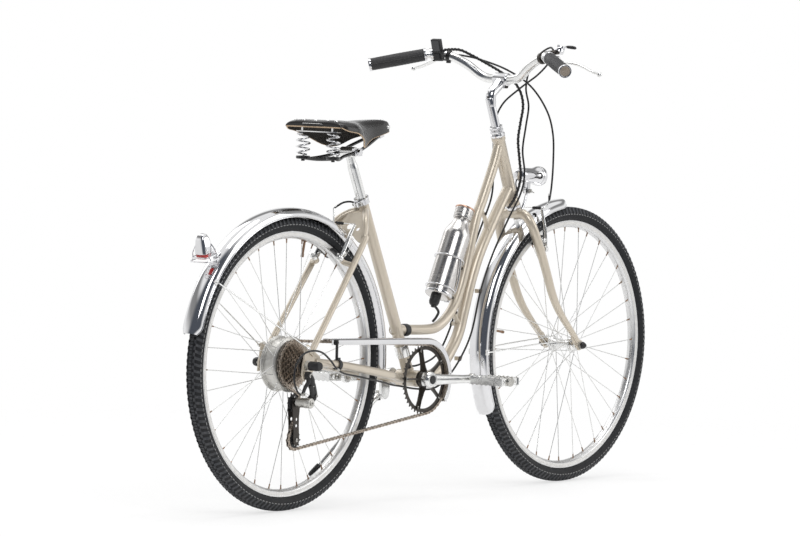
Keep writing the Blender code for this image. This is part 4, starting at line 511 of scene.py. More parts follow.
def axle_steel(colours):
    """Zinc-plated steel nuts and axles."""
    return finish("axle_steel", (0.56, 0.55, 0.52), 1.0, 0.32, (0.34, 0.33, 0.31), share=0.6, patches=90,
        depth=0.03, hollow_shade=(0.08, 0.06, 0.05), hollow_shade_share=0.7, dust=0.2, grain=1500)


def nipple_brass(colours):
    """The brownish spoke nipples."""
    return finish("axle_steel", (0.3, 0.19, 0.12), 0.7, 0.4, (0.16, 0.1, 0.07), patches=200, grain=1500)


def tyre_rubber(colours):
    """Black rubber, greyed by use and dust."""
    return finish("tyre_rubber", colours.rubber, 0.0, 0.6, (0.021, 0.022, 0.024), share=0.6, patches=14,
        spread=0.07, depth=0.04, worn=(0.08, 0.082, 0.085), dust=0.04, specular=0.22, grain=1600)


def lit_tread_rubber(colours):
    """The rubber of the blocks that meet the road, painted lighter than the casing's so that the grooves
    between them read as painted shade.
    """
    # Painted light: a lighter copy of the casing's rubber, so the blocks look lit and the grooves shaded.
    return finish("tyre_rubber", tuple(c * 3.0 for c in colours.rubber), 0.0, 0.62,
        tuple(c * 1.6 for c in colours.rubber), patches=16, spread=0.07, depth=0.05,
        worn=(0.12, 0.12, 0.125), wear=0.7, dust=0.06, specular=0.25, grain=1600)


def tyre_dash(colours):
    """The pale reflective dashes on the tyre wall."""
    return finish("tyre_rubber", (0.3, 0.3, 0.3), 0.0, 0.45, (0.16, 0.16, 0.16), patches=120, dust=0.15,
        grain=3000)


def cable_rubber(colours):
    """The satin sleeve of cables and wires."""
    return finish("cable_rubber", (0.016, 0.016, 0.017), 0.0, 0.38, (0.028, 0.028, 0.028), patches=60,
        dust=0.05, specular=0.3, grain=1200)


def black_plastic(colours):
    """Moulded black plastic with a fine spark texture."""
    return finish("black_plastic", colours.plastic, 0.0, 0.42, (0.034, 0.034, 0.035), patches=70,
        depth=0.03, worn=(0.09, 0.09, 0.09), wear=0.35, dust=0.06, specular=0.3, grain=3200)


def gloss_plastic(colours):
    """The glossy window of the display."""
    return finish("black_plastic", (0.01, 0.011, 0.014), 0.0, 0.1, (0.016, 0.017, 0.02), share=0.4,
        patches=30, spread=0.03, depth=0.004, coat=0.6, grain=300)


def black_frame_steel(colours):
    """Black enamelled steel rails."""
    return finish("black_frame_steel", (0.02, 0.02, 0.021), 0.2, 0.3, (0.04, 0.039, 0.038), patches=50,
        worn=(0.2, 0.19, 0.18), wear=0.5, coat=0.3, dust=0.12)


def dark_steel(colours):
    """Blackened, oily steel."""
    return finish("dark_steel", (0.055, 0.05, 0.046), 0.85, 0.38, (0.03, 0.026, 0.023), share=0.7,
        patches=60, depth=0.03, worn=(0.32, 0.29, 0.26), hollow_shade=(0.02, 0.017, 0.014), hollow_shade_share=0.8, dust=0.22,
        grain=1500)


def chain_steel(colours):
    """Brown oiled chain and cogs."""
    return finish("chain_steel", (0.44, 0.375, 0.315), 0.9, 0.34, (0.26, 0.21, 0.165), share=0.7,
        patches=160, depth=0.04, worn=(0.46, 0.42, 0.37), hollow_shade=(0.07, 0.05, 0.04), hollow_shade_share=0.8, dust=0.1,
        grain=1700)


def saddle_leather(colours):
    """Glossy black leather, finely pebbled and polished by use."""
    return finish("saddle_leather", colours.leather, 0.0, 0.26, (0.018, 0.017, 0.016), patches=24,
        spread=0.05, depth=0.04, worn=(0.07, 0.06, 0.05), wear=0.3, coat=0.2, coat_roughness=0.14,
        specular=0.3, pebbles=900)


def leather_edge(colours):
    """The tan cut edge of the saddle's leather."""
    return finish("saddle_leather", (0.56, 0.42, 0.28), 0.0, 0.62, (0.38, 0.27, 0.17), share=0.6,
        patches=90, depth=0.08, grain=1500)


def leather_back(colours):
    """The dark raw underside of the saddle's leather."""
    return finish("saddle_leather", (0.06, 0.054, 0.048), 0.0, 0.85, (0.038, 0.034, 0.03), share=0.6,
        patches=60, depth=0.12, grain=2200)


def grip_leather(colours):
    """The charcoal wrap of the grips, with a slight sheen."""
    return finish("grip_leather", (0.036, 0.036, 0.038), 0.0, 0.5, (0.055, 0.054, 0.055), share=0.6,
        patches=40, spread=0.08, depth=0.12, worn=(0.16, 0.15, 0.14), wear=0.4, specular=0.25, pebbles=700)


def grip_end(colours):
    """The bare grey-brown disc that closes a grip."""
    return finish("grip_leather", (0.26, 0.22, 0.18), 0.0, 0.55, (0.19, 0.16, 0.13), share=0.6, patches=90,
        depth=0.08, pebbles=900)


def red_lens(colours):
    """Moulded red lens with its fine ribs."""
    return finish("red_lens", (0.55, 0.012, 0.01), 0.0, 0.12, (0.34, 0.006, 0.006), patches=90, spread=0.04,
        depth=0.3, coat=0.8, pebbles=420)


def copper_cap(colours):
    """Polished copper with darker tarnish."""
    return finish("copper_cap", (0.66, 0.42, 0.31), 1.0, 0.22, (0.48, 0.28, 0.2), patches=60, spread=0.08,
        depth=0.01, hollow_shade=(0.1, 0.05, 0.03))


def bottle_metal(colours):
    """Stainless steel brushed round the bottle."""
    return finish("bottle_metal", (0.66, 0.64, 0.62), 1.0, 0.24, (0.54, 0.52, 0.51), patches=9, spread=0.04,
        stretch=(1, 1, 14), depth=0.002, grain=60)


def lamp_glass(colours):
    """The clear ribbed glass in front of the lamp."""
    made = finish("bright_chrome", (0.86, 0.88, 0.9), 0.0, 0.05, (0.74, 0.76, 0.79), share=0.3, patches=40,
        spread=0.02, depth=0.3, coat=0.5, pebbles=260)
    made.node_tree.nodes["Principled BSDF"].inputs["Transmission Weight"].default_value = 0.55
    return made


# Wheels

RIM_OUTER = 0.3168
RIM_SHOULDER = 0.3045
RIM_INNER = 0.2985
RIM_HALF_WIDTH = 0.0125
TYRE_WALL = mm([(317.2, 12.2), (321.5, 16.5), (327, 19), (333, 19.5), (339, 18.3), (343.5, 15), (347, 10.5),
    (348.8, 5)])
WHEELS = (("front", FRONT, "front_wheel"), ("rear", REAR, "rear_wheel"))


def tread_block(bm, centre, angle, inner, outer, width, lean):
    """One rubber block: its inner and outer corners as radius and y, its width round the tyre in degrees."""
    corners = []
    for radius, y in (inner, outer):
        for side in (-1, 1):
            corners.append((radius, y, angle + side * width / 2 + lean * (1 if radius == outer[0] else 0)))
    rings = []
    for sink in (0.003, 0.0):
        ring = []
        for index in (0, 1, 3, 2):
            radius, y, turn = corners[index]
            tighter = 0.9 if sink == 0.0 else 1.0
            middle = angle + (turn - angle) * tighter
            ring.append(bm.verts.new(polar(centre, radius - sink, middle, y)))
        rings.append(ring)
    skin(bm, rings)


def make_tyres():
    """The casing, its shoulder and centre blocks, its wall ribs and its ring of pale dashes."""
    sizes = bpy.context.scene.bicycle_sizes
    for name, centre, body in WHEELS:
        bm = bmesh.new()
        wall = TYRE_WALL + [(0.349, 0)] + [(r, -y) for r, y in reversed(TYRE_WALL)]
        turned(bm, [(r, y) for r, y in wall], centre, SIDE, 144, ring=True)
        for y in (0.0158, 0.0197):
            for side in (-1, 1):
                radius = 0.3206 if y < 0.018 else 0.3345
                collar(bm, centre, SIDE * side, radius, radius + 0.0012, y - 0.0006, y + 0.0002, 144)
        piece(name + "_tyre_casing", bm, tyre_rubber, body, [name + "_tyre"], bevel=0)

        bm = bmesh.new()
        step = 360 / sizes.tread_blocks
        for k in range(sizes.tread_blocks):
            turn = k * step
            for side in (-1, 1):
                shift = step / 2 if side > 0 else 0
                tread_block(bm, centre, turn + shift, (0.3498, side * 0.0112), (0.3366, side * 0.0207),
                    step * 0.5, step * 0.32)
                tread_block(bm, centre, turn + shift + step / 2, (0.3504, side * 0.0062),
                    (0.3494, side * 0.0106), step * 0.62, 0)
            tread_block(bm, centre, turn + step * 0.25, (0.3509, 0.0042), (0.3508, -0.0042), step * 0.44, 0)
            tread_block(bm, centre, turn + step * 0.75, (0.3508, 0.0042), (0.3509, -0.0042), step * 0.36, 0)
        # The blocks take a lighter copy of the casing's rubber: painted light, so the grooves between them
        # read as shade.
        piece(name + "_tyre_tread", bm, lit_tread_rubber, body)

        bm = bmesh.new()
        step = 360 / sizes.tyre_dashes
        for k in range(sizes.tyre_dashes):
            for side in (-1, 1):
                corners = []
                for radius, y, shift in ((0.332, 0.0195, -1), (0.332, 0.0195, 1), (0.3336, 0.0195, 1),
                        (0.3336, 0.0195, -1)):
                    turn = k * step + shift * step * 0.29
                    corners.append((radius, y, turn))
                rings = []
                for rise in (-0.0004, 0.0003):
                    rings.append([bm.verts.new(polar(centre, r, t, side * (y + rise))) for r, y,
                        t in corners])
                skin(bm, rings)
        piece(name + "_tyre_dashes", bm, tyre_dash, body, bevel=0)


def make_rims():
    """The double-walled rim with its brake tracks and the valve."""
    for name, centre, body in WHEELS:
        half = [(RIM_OUTER - 0.0004, 0.0112), (RIM_OUTER - 0.0002, 0.0125), (RIM_OUTER - 0.002, 0.0125),
            (RIM_OUTER - 0.003, 0.0121), (RIM_SHOULDER + 0.0012, 0.0121), (RIM_SHOULDER, 0.0117),
            (0.3012, 0.009), (0.2993, 0.005), (0.2987, 0.0)]
        profile = half + [(r, -y) for r, y in reversed(half[:-1])]
        bm = bmesh.new()
        turned(bm, profile, centre, SIDE, 144, ring=True)
        piece(name + "_rim_body", bm, rim_alloy, body, [name + "_rim"], bevel=0)
        bm = bmesh.new()
        for side in (-1, 1):
            collar(bm, centre, SIDE * side, RIM_SHOULDER + 0.0016, RIM_OUTER - 0.0034, 0.01195, 0.01245, 144)
        piece(name + "_brake_tracks", bm, brake_track, body, bevel=0.0001)
        bm = bmesh.new()
        turn = 171 if name == "front" else 77
        foot = polar(centre, 0.2995, turn)
        inward = (centre - foot).normalized()
        disc(bm, foot, inward, 0.0052, -0.002, 0.0022, 16)
        turned(bm, mm([(3, 0), (3, 31), (3.8, 31.6), (4, 39), (3.4, 40)]), foot, inward, 16)
        piece(name + "_valve", bm, nipple_brass, body, bevel=0.0002)


def spoke_ends(centre, flange_radius, left_y, right_y, crossing, count):
    """Both ends of every spoke, from flange to rim, and the side of the flange that it lies on."""
    slope = (RIM_SHOULDER - RIM_INNER) / RIM_HALF_WIDTH
    step = 360 / count
    for side, y in ((1, left_y), (-1, right_y)):
        for j in range(count // 2):
            at_rim = step * (2 * j + (side > 0))
            at_hub = at_rim + (crossing if j % 2 else -crossing)
            face = 1 if j % 2 else -1
            end_y = 0.0025 * side + 0.0012 * face
            start = polar(centre, flange_radius, at_hub, y + 0.0012 * face)
            yield start, polar(centre, RIM_INNER + slope * (abs(end_y) - 0.001) + 0.001, at_rim, end_y), face


def make_spokes():
    """Laced spokes with their heads on the flanges and their nipples in the rim."""
    sizes = bpy.context.scene.bicycle_sizes
    hubs = {"front": (0.0168, 0.0305, -0.0305, 60), "rear": (0.064, 0.019, -0.017, 20)}
    for name, centre, body in WHEELS:
        flange, left, right, crossing = hubs[name]
        wires, heads = bmesh.new(), bmesh.new()
        for start, end, face in spoke_ends(centre, flange, left, right, crossing, sizes.spokes):
            rod(wires, start, end, sizes.spoke_thickness / 2, 8)
            turned(wires, mm([(0, -0.8), (1.9, -0.6), (1.9, 0.4), (0, 1)]), start + SIDE * 0.0016 * face,
                SIDE * face, 10)
            way = (start - end).normalized()
            turned(heads, mm([(2.1, -1), (2.1, 3), (1.6, 4), (1.6, 11), (1.1, 11.8)]), end, way, 8)
        piece(name + "_spokes", wires, spoke_steel, body, bevel=0)
        piece(name + "_nipples", heads, nipple_brass, body, bevel=0)


def make_hubs():
    """The small front hub, the drum of the motor hub, and both axles with their nuts."""
    half = mm([(5.3, 44), (8.8, 44), (9.5, 43.2), (9.5, 38.2), (11.8, 37.4), (15, 33.2), (19.2, 33),
        (20, 32.2), (20, 28.8), (19.2, 28), (14, 27.2), (11.2, 23.5), (10.4, 12)])
    bm = bmesh.new()
    turned(bm, half + [(r, -y) for r, y in reversed(half)], FRONT, SIDE, 48, ring=True)
    piece("front_hub_shell", bm, polished_alloy, "front_wheel", ["front_hub"], bevel=0.0003)
    bm = bmesh.new()
    drum = mm([(7, 50), (12, 50), (13, 49), (13, 36.6), (21.8, 33), (30, 31.2), (42, 27.6), (44, 26.2),
        (59, 23.2), (60.5, 21.6), (66, 21.6), (66.8, 20.8), (66.8, 17.2), (65.8, 16.4), (61.8, 15.4),
        (61, 14.5), (61, -12.8), (61.8, -13.8), (66, -14.4), (66.8, -15.2), (66.8, -18.6), (66, -19.6),
        (59.6, -21.6), (40, -23.6), (30, -24.5), (7, -24.5)])
    turned(bm, drum, REAR, SIDE, 96, ring=True)
    for k in range(6):
        turn = 60 * k + 12
        place = polar(REAR, 0.0525, turn, 0.024)
        socket_bolt(bm, place, SIDE, 0.0036, 0.0022)
    piece("motor_drum", bm, drum_alloy, "rear_wheel", ["motor_hub"])
    bm = bmesh.new()
    rod(bm, FRONT - SIDE * 0.068, FRONT + SIDE * 0.068, 0.004, 20)
    for side in (-1, 1):
        collar(bm, FRONT, SIDE * side, 0.0046, 0.01, 0.055, 0.0566)
        hexagon(bm, FRONT, SIDE * side, 0.0088, 0.0568, 0.0625)
    piece("front_axle_nuts", bm, axle_steel, "steering", ["front_axle"], bevel=0.0003)
    bm = bmesh.new()
    rod(bm, REAR - SIDE * 0.076, REAR + SIDE * 0.076, 0.0058, 20)
    for side in (-1, 1):
        collar(bm, REAR, SIDE * side, 0.006, 0.0125, 0.0702, 0.0722)
        hexagon(bm, REAR, SIDE * side, 0.0108, 0.0722, 0.079)
    piece("rear_axle_nuts", bm, axle_steel, "frame", ["rear_axle"], bevel=0.0003)
    bm = bmesh.new()
    turned(bm, mm([(11.2, 79), (11.2, 105), (10.6, 108), (9.2, 109.6), (0, 110)]), REAR, -SIDE, 36)
    turned(bm, mm([(11.2, 79), (10.8, 87), (9, 91.5), (0, 93)]), REAR, SIDE, 36)
    piece("rear_axle_caps", bm, black_plastic, "frame", bevel=0.0003)
    bm = bmesh.new()
    for side in (-1, 1):
        turned(bm, mm([(9, 61), (9.4, 62.2), (8.2, 66), (4.4, 72), (0, 73.8)]), FRONT, SIDE * side, 36)
    piece("front_axle_caps", bm, black_plastic, "steering", bevel=0.0003)


# Frame

CHAINSTAY = mm([(476, -18, 290), (440, -23, 294), (405, -29.5, 300), (372, -39, 307), (340, -46.5, 313),
    (163, -58.5, 342), (30, -66.5, 360)])
CHAINSTAY_RADIUS = mm([10, 9.5, 9, 9.5, 10.5, 10, 8])
SEATSTAY = mm([(12, -67.5, 376), (205, -62, 620), (226, -57, 655), (246, -43, 688), (270, -23, 706),
    (293, -6, 712)])
UPPER_TUBE = mm([(840, 0, 870), (831, 0, 850), (816, 0, 812), (771, 0, 724), (747, 0, 679), (711, 0, 568),
    (688, 0, 509), (667, 0, 471), (643, 0, 444), (604, 0, 419), (559, 0, 411), (438, 0, 415)])
LOWER_TUBE = mm([(882, 0, 756), (850, 0, 715), (818, 0, 672), (768, 0, 600), (733, 0, 530), (705, 0, 453),
    (683, 0, 394), (647, 0, 346), (605, 0, 308), (560, 0, 294), (496, 0, 291)])
DROPOUT_OUTLINE = mm([(48, 370), (52, 351), (20, 334), (4, 318), (-12, 317), (-18, 330), (-16, 352),
    (-12, 366), (-7, 397), (4, 401), (14, 392), (24, 386)])
REAR_STAY_WAY = Vector((0.6204, 0, 0.7843)).normalized()
REAR_STAY_BACK = Vector((-0.7843, 0, 0.6204)).normalized()
REAR_BOSS = Vector((0.154745, -0.04, 0.599648))
FRONT_BOSS = Vector((0.986, -0.04, 0.6))
FRONT_BRAKE_UP = Vector((-0.0599, 0, 0.9982)).normalized()
FRONT_BRAKE_OUT = Vector((0.9982, 0, 0.0599)).normalized()
CABLE_GUIDES = mm([(750, 19, 580), (682, 19, 420), (408, 19, 490), (356, 19, 600)])
STAND_PIVOT = Vector((0.42, 0.04, 0.255))


def weld_bead(bm, origin, along, radius, seed):
    """The rippled ring of a weld round a tube's end."""
    dice = random.Random(seed)
    place = basis(origin, SIDE if abs(Vector(along).normalized().dot(SIDE)) < 0.9 else UP, along)
    path = []
    for k in range(48):
        a = 2 * math.pi * k / 48
        swell = 0.00035 * math.sin(k * 1.9) + dice.uniform(-0.0002, 0.0002)
        path.append(place @ Vector(((radius + swell) * math.cos(a), (radius + swell) * math.sin(a), swell)))
    rings = []
    for k, point in enumerate(path):
        way = (path[(k + 1) % 48] - path[k - 1]).normalized()
        out = (point - Vector(origin)).normalized()
        up = way.cross(out)
        rings.append([bm.verts.new(point + out * (0.0016 * math.cos(t)) + up * (0.0019 * math.sin(t)))
            for t in (0, 1.047, 2.094, 3.142, 4.189, 5.236)])
    skin(bm, rings, closed=True)


def make_main_tubes():
    """The two swept tubes of the open frame, the head tube, the seat tube and the crank shell."""
    bm = bmesh.new()
    tube(bm, UPPER_TUBE, 0.0127, 28, smooth=6)
    tube(bm, LOWER_TUBE, 0.0143, 28, smooth=6)
    weld_bead(bm, (0.438 - 0.016, 0, 0.4152), (1, 0, 0.02), 0.0126, 3)
    piece("main_tubes", bm, champagne_paint, "frame", ["main_frame"], bevel=0)
    bm = bmesh.new()
    height = (0.885 - 0.712) / STEER_UP.z
    head = [(0.0143, 0), (0.0176, 0), (0.0178, 0.001), (0.0178, 0.01), (0.016, 0.0125),
        (0.016, height - 0.0125), (0.0178, height - 0.01), (0.0178, height - 0.001), (0.0176, height),
        (0.0143, height)]
    turned(bm, head, steer(0.712), STEER_UP, 40, ring=True)
    long = (0.741 - 0.3) / SEAT_UP.z
    turned(bm, [(0.0134, 0), (0.0143, 0), (0.0143, -long), (0.0134, -long)], seat(0.741), SEAT_UP, 36,
        ring=True)
    turned(bm, mm([(17.2, -34), (19.8, -34), (20.5, -33.3), (20.5, 33.3), (19.8, 34), (17.2, 34)]), BRACKET,
        SIDE, 44, ring=True)
    weld_bead(bm, BRACKET + SEAT_UP * 0.0212, SEAT_UP, 0.0146, 7)
    weld_bead(bm, BRACKET + Vector((0.0205, 0, -0.002)), (1, 0, 0.0), 0.0146, 9)
    piece("head_and_seat_tubes", bm, champagne_paint, "frame")


def make_stays():
    """The chain stays, the bent seat stays, their bridge and the gusset sheet with its three holes."""
    bm = bmesh.new()
    for turned_over in (list, flip):
        tube(bm, turned_over([Vector(p) for p in CHAINSTAY]), CHAINSTAY_RADIUS, 22, smooth=6)
        tube(bm, turned_over([Vector(p) for p in SEATSTAY]), 0.0078, 20, smooth=6)
    rod(bm, (0.386, -0.036, 0.304), (0.386, 0.036, 0.304), 0.0065, 20)
    for side in (-1, 1):
        boss = Vector((REAR_BOSS.x, side * 0.04, REAR_BOSS.z))
        root = boss - REAR_STAY_BACK * 0.024
        tube(bm, [root + SIDE * side * 0.019, root + SIDE * side * 0.004 + REAR_STAY_BACK * 0.007,
            boss - REAR_STAY_BACK * 0.012, boss - REAR_STAY_BACK * 0.0046], 0.0066, 18, smooth=4)
    piece("stays", bm, champagne_paint, "frame", bevel=0.0003)
    bm = bmesh.new()
    low, high = Vector((0.214, 0, 0.634)), Vector((0.262, 0, 0.704))
    way = (high - low).normalized()
    length = (high - low).length
    outline = [(-0.06, 0), (-0.045, 0.004), (-0.032, 0.012), (-0.02, 0.022), (0.02, 0.022), (0.032, 0.012),
        (0.045, 0.004), (0.06, 0), (0.054, 0.024), (0.048, 0.046), (0.022, length), (-0.022, length),
        (-0.048, 0.046), (-0.054, 0.024)]
    place = basis(low, SIDE, way.cross(-SIDE))
    sheet_plate(bm, outline, 0.0024, place, mm([(0, 47, 8.5), (-28, 40, 5), (28, 40, 5)]))
    piece("stay_gusset", bm, champagne_paint, "frame")
    bm = bmesh.new()
    for side in (-1, 1):
        outline = DROPOUT_OUTLINE if side < 0 else DROPOUT_OUTLINE[:3] + [(0.0, 0.332)] + DROPOUT_OUTLINE[5:]
        sheet_plate(bm, outline, 0.005, upright(side * 0.0675), [(0.0, WHEEL_RADIUS, 0.0068)])
    rod(bm, (-0.005, -0.069, 0.328), (-0.005, -0.0712, 0.328), 0.0085, 28)
    piece("rear_dropouts", bm, champagne_paint, "frame", bevel=0.0008)


def make_frame_fittings():
    """The two bolted braces, the stand's bracket, the cable guides and the bottle bosses."""
    bm, bolts = bmesh.new(), bmesh.new()
    for middle, along, length, width, bulge in (((0.674, 0, 0.432), (0.042, 0, -0.052), 0.07, 0.008, 0.006),
            ((0.7885, 0, 0.672), (0.018, 0, -0.052), 0.074, 0.007, -0.01)):
        forward = Vector(along).normalized()
        out = forward.cross(SIDE)
        middle = Vector(middle)
        path = [middle - forward * length / 2 + out * bulge, middle, middle + forward * length / 2 + out
            * bulge]
        tube(bm, path, width, 20, flat=0.45, smooth=8)
        for share in (-0.3, 0.3):
            socket_bolt(bolts, middle + forward * length * share + out * (bulge * 0.35) - SIDE * width
                * 0.9, -SIDE, 0.0042, 0.0026)
            socket_bolt(bolts, middle + forward * length * share + out * (bulge * 0.35) + SIDE * width
                * 0.9, SIDE, 0.0042, 0.0026)
    for x, y, z in CABLE_GUIDES:
        inner, outer = (0.013 if x < 0.5 else 0.004), y - 0.0028
        block(bm, (x, (inner + outer) / 2, z), (0.01, outer - inner, 0.01))
    for x, z in ((0.748, 0.5), (0.67, 0.335)):
        block(bm, (x, -0.0105, z), (0.01, 0.0125, 0.01))
    piece("frame_braces", bm, champagne_paint, "frame", bevel=0.0009)
    for x, y, z in CABLE_GUIDES:
        collar(bolts, (x, y, z), (0.45, 0, 0.9) if x > 0.5 else (-0.42, 0, 0.9), 0.0026, 0.004, -0.005,
            0.005, 18)
    for x, z in ((0.748, 0.5), (0.67, 0.335)):
        collar(bolts, (x, -0.019, z), (0.5, 0, 0.86), 0.0026, 0.004, -0.005, 0.005, 18)
    up = Vector((0.436375, 0, 0.899765))
    out = SIDE.cross(up).normalized()
    for height in (0.02, 0.1):
        axis_point = Vector((0.5985, 0, 0.492)) + up * height
        rod(bolts, axis_point + out * 0.0418, axis_point + out * 0.056, 0.0042, 18)
    piece("frame_fasteners", bolts, dark_steel, "frame", bevel=0.0002)
    bm = bmesh.new()
    turned(bm, mm([(13.2, -10), (14.8, -9), (15.6, -6), (15.6, 6), (14.8, 9), (13.2, 10)]),
        (0.4665, 0, 0.413), (1, 0, -0.02), 32, ring=True)
    piece("upper_tube_ring", bm, black_plastic, "frame", bevel=0.0003)
    bm = bmesh.new()
    sheet_plate(bm, mm([(403, 288), (435, 288), (435, 262), (431, 250), (424, 244), (414, 244), (407, 250),
        (403, 262)]), 0.0085, upright(0.0225), [])
    disc(bm, STAND_PIVOT, SIDE, 0.0095, -0.02, -0.0084)
    piece("stand_bracket", bm, polished_alloy, "frame", bevel=0.0009)
    bm = bmesh.new()
    collar(bm, seat(0.364), SEAT_UP, 0.014, 0.0172, -0.015, 0.015, 44)
    piece("seat_tube_band", bm, polished_alloy, "frame", bevel=0.0006)
    bm = bmesh.new()
    outward = (SEAT_FRONT * -0.55 - SIDE * 0.83).normalized()
    plug = basis(seat(0.329) + outward * 0.015, SEAT_UP.cross(outward), SEAT_UP)
    sheet_plate(bm, [(0.0065 * math.cos(2 * math.pi * k / 32), 0.0135 * math.sin(2 * math.pi * k / 32))
        for k in range(32)], 0.005, plug, [])
    piece("seat_tube_plug", bm, black_plastic, "frame", bevel=0.0012)
    bm = bmesh.new()
    for side in (-1, 1):
        turned(bm, mm([(9.8, 37.5), (18, 37.5), (19.5, 36.2), (19.5, 34.4), (16.6, 34.4), (9.8, 34.4)]),
            BRACKET, SIDE * side, 24, ring=True)
        for k in range(8):
            turn = 45 * k
            block(bm, polar(BRACKET, 0.0187, turn, side * 0.0358), (0.0016, 0.003, 0.003),
                polar((0, 0, 0), 1, turn), SIDE.cross(polar((0, 0, 0), 1, turn)))
    piece("bracket_cups", bm, dark_steel, "frame", ["bottom_bracket"], bevel=0.0002)
    bm = bmesh.new()
    turned(bm, mm([(14, -10.5), (17.2, -10.5), (18, -9), (19, -6), (19, -0.4), (14, -0.4)]), steer(0.712),
        STEER_UP, 40, ring=True)
    piece("lower_headset_cup", bm, bright_chrome, "frame", ["headset_lower"])


def make_seat_clamp():
    """The chromed collar at the top of the seat tube, its ears and its bolt."""
    top = seat(0.741)
    bm = bmesh.new()
    collar(bm, top, SEAT_UP, 0.0147, 0.018, -0.015, -0.001, 44)
    turned(bm, mm([(14.7, -1), (18.8, -1), (18.8, 0.6), (14.7, 0.6)]), top, SEAT_UP, 44, ring=True)
    middle = top + SEAT_FRONT * -0.0205 + SEAT_UP * -0.008
    for side in (-1, 1):
        block(bm, middle + SIDE * side * 0.0045, (0.01, 0.005, 0.012), SEAT_FRONT, SEAT_UP)
    piece("seat_clamp_collar", bm, bright_chrome, "frame", ["seat_clamp"], bevel=0.0006)
    bm = bmesh.new()
    at = top + SEAT_FRONT * -0.0215 + SEAT_UP * -0.008
    rod(bm, at - SIDE * 0.01, at + SIDE * 0.01, 0.0026, 16)
    socket_bolt(bm, at - SIDE * 0.008, -SIDE, 0.0044, 0.0042)
    hexagon(bm, at, SIDE, 0.0046, 0.0076, 0.0112)
    piece("seat_clamp_bolt", bm, axle_steel, "frame", bevel=0.0002)


# Fenders and rear light

FENDER_RADIUS = 0.3735
FENDER_SECTION = mm([(-27, -22), (-26.3, -16.5), (-24, -9.5), (-19, -4), (-11, -1.2), (0, -0.3), (11, -1.2),
    (19, -4), (24, -9.5), (26.3, -16.5), (27, -22)])


def fender_sheet(bm, centre, start, end, pieces):
    """The rolled sheet round its wheel, with a rolled wire edge on both sides and rounded ends."""
    rings, edges = [], ([], [])
    for i in range(pieces + 1):
        turn = start + (end - start) * i / pieces
        from_end = min(i, pieces - i) / pieces * abs(end - start)
        narrow = 0.7 + 0.3 * math.sqrt(min(from_end / 3.0, 1.0))
        outer = [polar(centre, FENDER_RADIUS + b * narrow, turn, a * narrow) for a, b in FENDER_SECTION]
        inner = [polar(centre, FENDER_RADIUS + b * narrow - 0.001, turn, a * narrow * 0.965) for a,
            b in reversed(FENDER_SECTION)]
        rings.append([bm.verts.new(p) for p in outer + inner])
        for edge, side in zip(edges, (-1, 1)):
            edge.append(polar(centre, FENDER_RADIUS - 0.0215 * narrow, turn, side * 0.0268 * narrow))
    skin(bm, rings)
    for edge in edges:
        tube(bm, edge, 0.0011, 8)


def rivet(bm, origin, along, radius=0.003):
    """A domed rivet head."""
    turned(bm, [(radius, 0), (radius * 0.9, radius * 0.35), (radius * 0.55, radius * 0.62),
        (0, radius * 0.72)], origin, along, 16)


def make_rear_fender():
    """The chromed rear fender, its two wire stays and their clips."""
    bm = bmesh.new()
    fender_sheet(bm, REAR, 166.5, -7.5, 96)
    piece("rear_fender_sheet", bm, bright_chrome, "frame", ["rear_fender"], bevel=0, angle=60)
    bm = bmesh.new()
    clip = polar(REAR, 0.3565, 144.8)
    for side in (-1, 1):
        eye = Vector((-0.004, side * 0.0755, 0.392))
        start = Vector((clip.x, side * 0.0262, clip.z))
        tube(bm, [start, start.lerp(eye, 0.06) + SIDE * side * 0.004, start.lerp(eye, 0.5) + SIDE * side
            * 0.0015, eye], 0.0018, 12, smooth=5)
        collar(bm, (eye.x, 0, eye.z), SIDE * side, 0.002, 0.0048, 0.0728, 0.0768, 22)
        block(bm, (clip.x, side * 0.0262, clip.z), (0.014, 0.0034, 0.012), (0.82, 0, 0.57), (-0.57, 0, 0.82))
        hexagon(bm, (eye.x, 0, eye.z), SIDE * side, 0.004, 0.0766, 0.0795)
        socket_bolt(bm, Vector((clip.x, side * 0.0279, clip.z)), SIDE * side, 0.003, 0.0022)
    piece("rear_fender_stays", bm, polished_alloy, "frame", bevel=0.0002)


def rounded_square(place, count, power, wide, tall, middle, along):
    """Points round a square with round corners. middle is its height and along its distance on its axis."""
    points = []
    for k in range(count):
        a = 2 * math.pi * k / (count - count % 2)
        across, rise = (math.copysign(abs(v) ** power, v) for v in (math.cos(a), math.sin(a)))
        points.append(place @ Vector((across * wide, middle + rise * tall, along)))
    return points


def light_box(bm, place, rows):
    """A rounded square body: each row is distance along, half width, half height and middle height."""
    skin(bm, [[bm.verts.new(p) for p in rounded_square(place, 40, 0.42, wide, tall, middle, along)]
        for along, wide, tall, middle in rows])


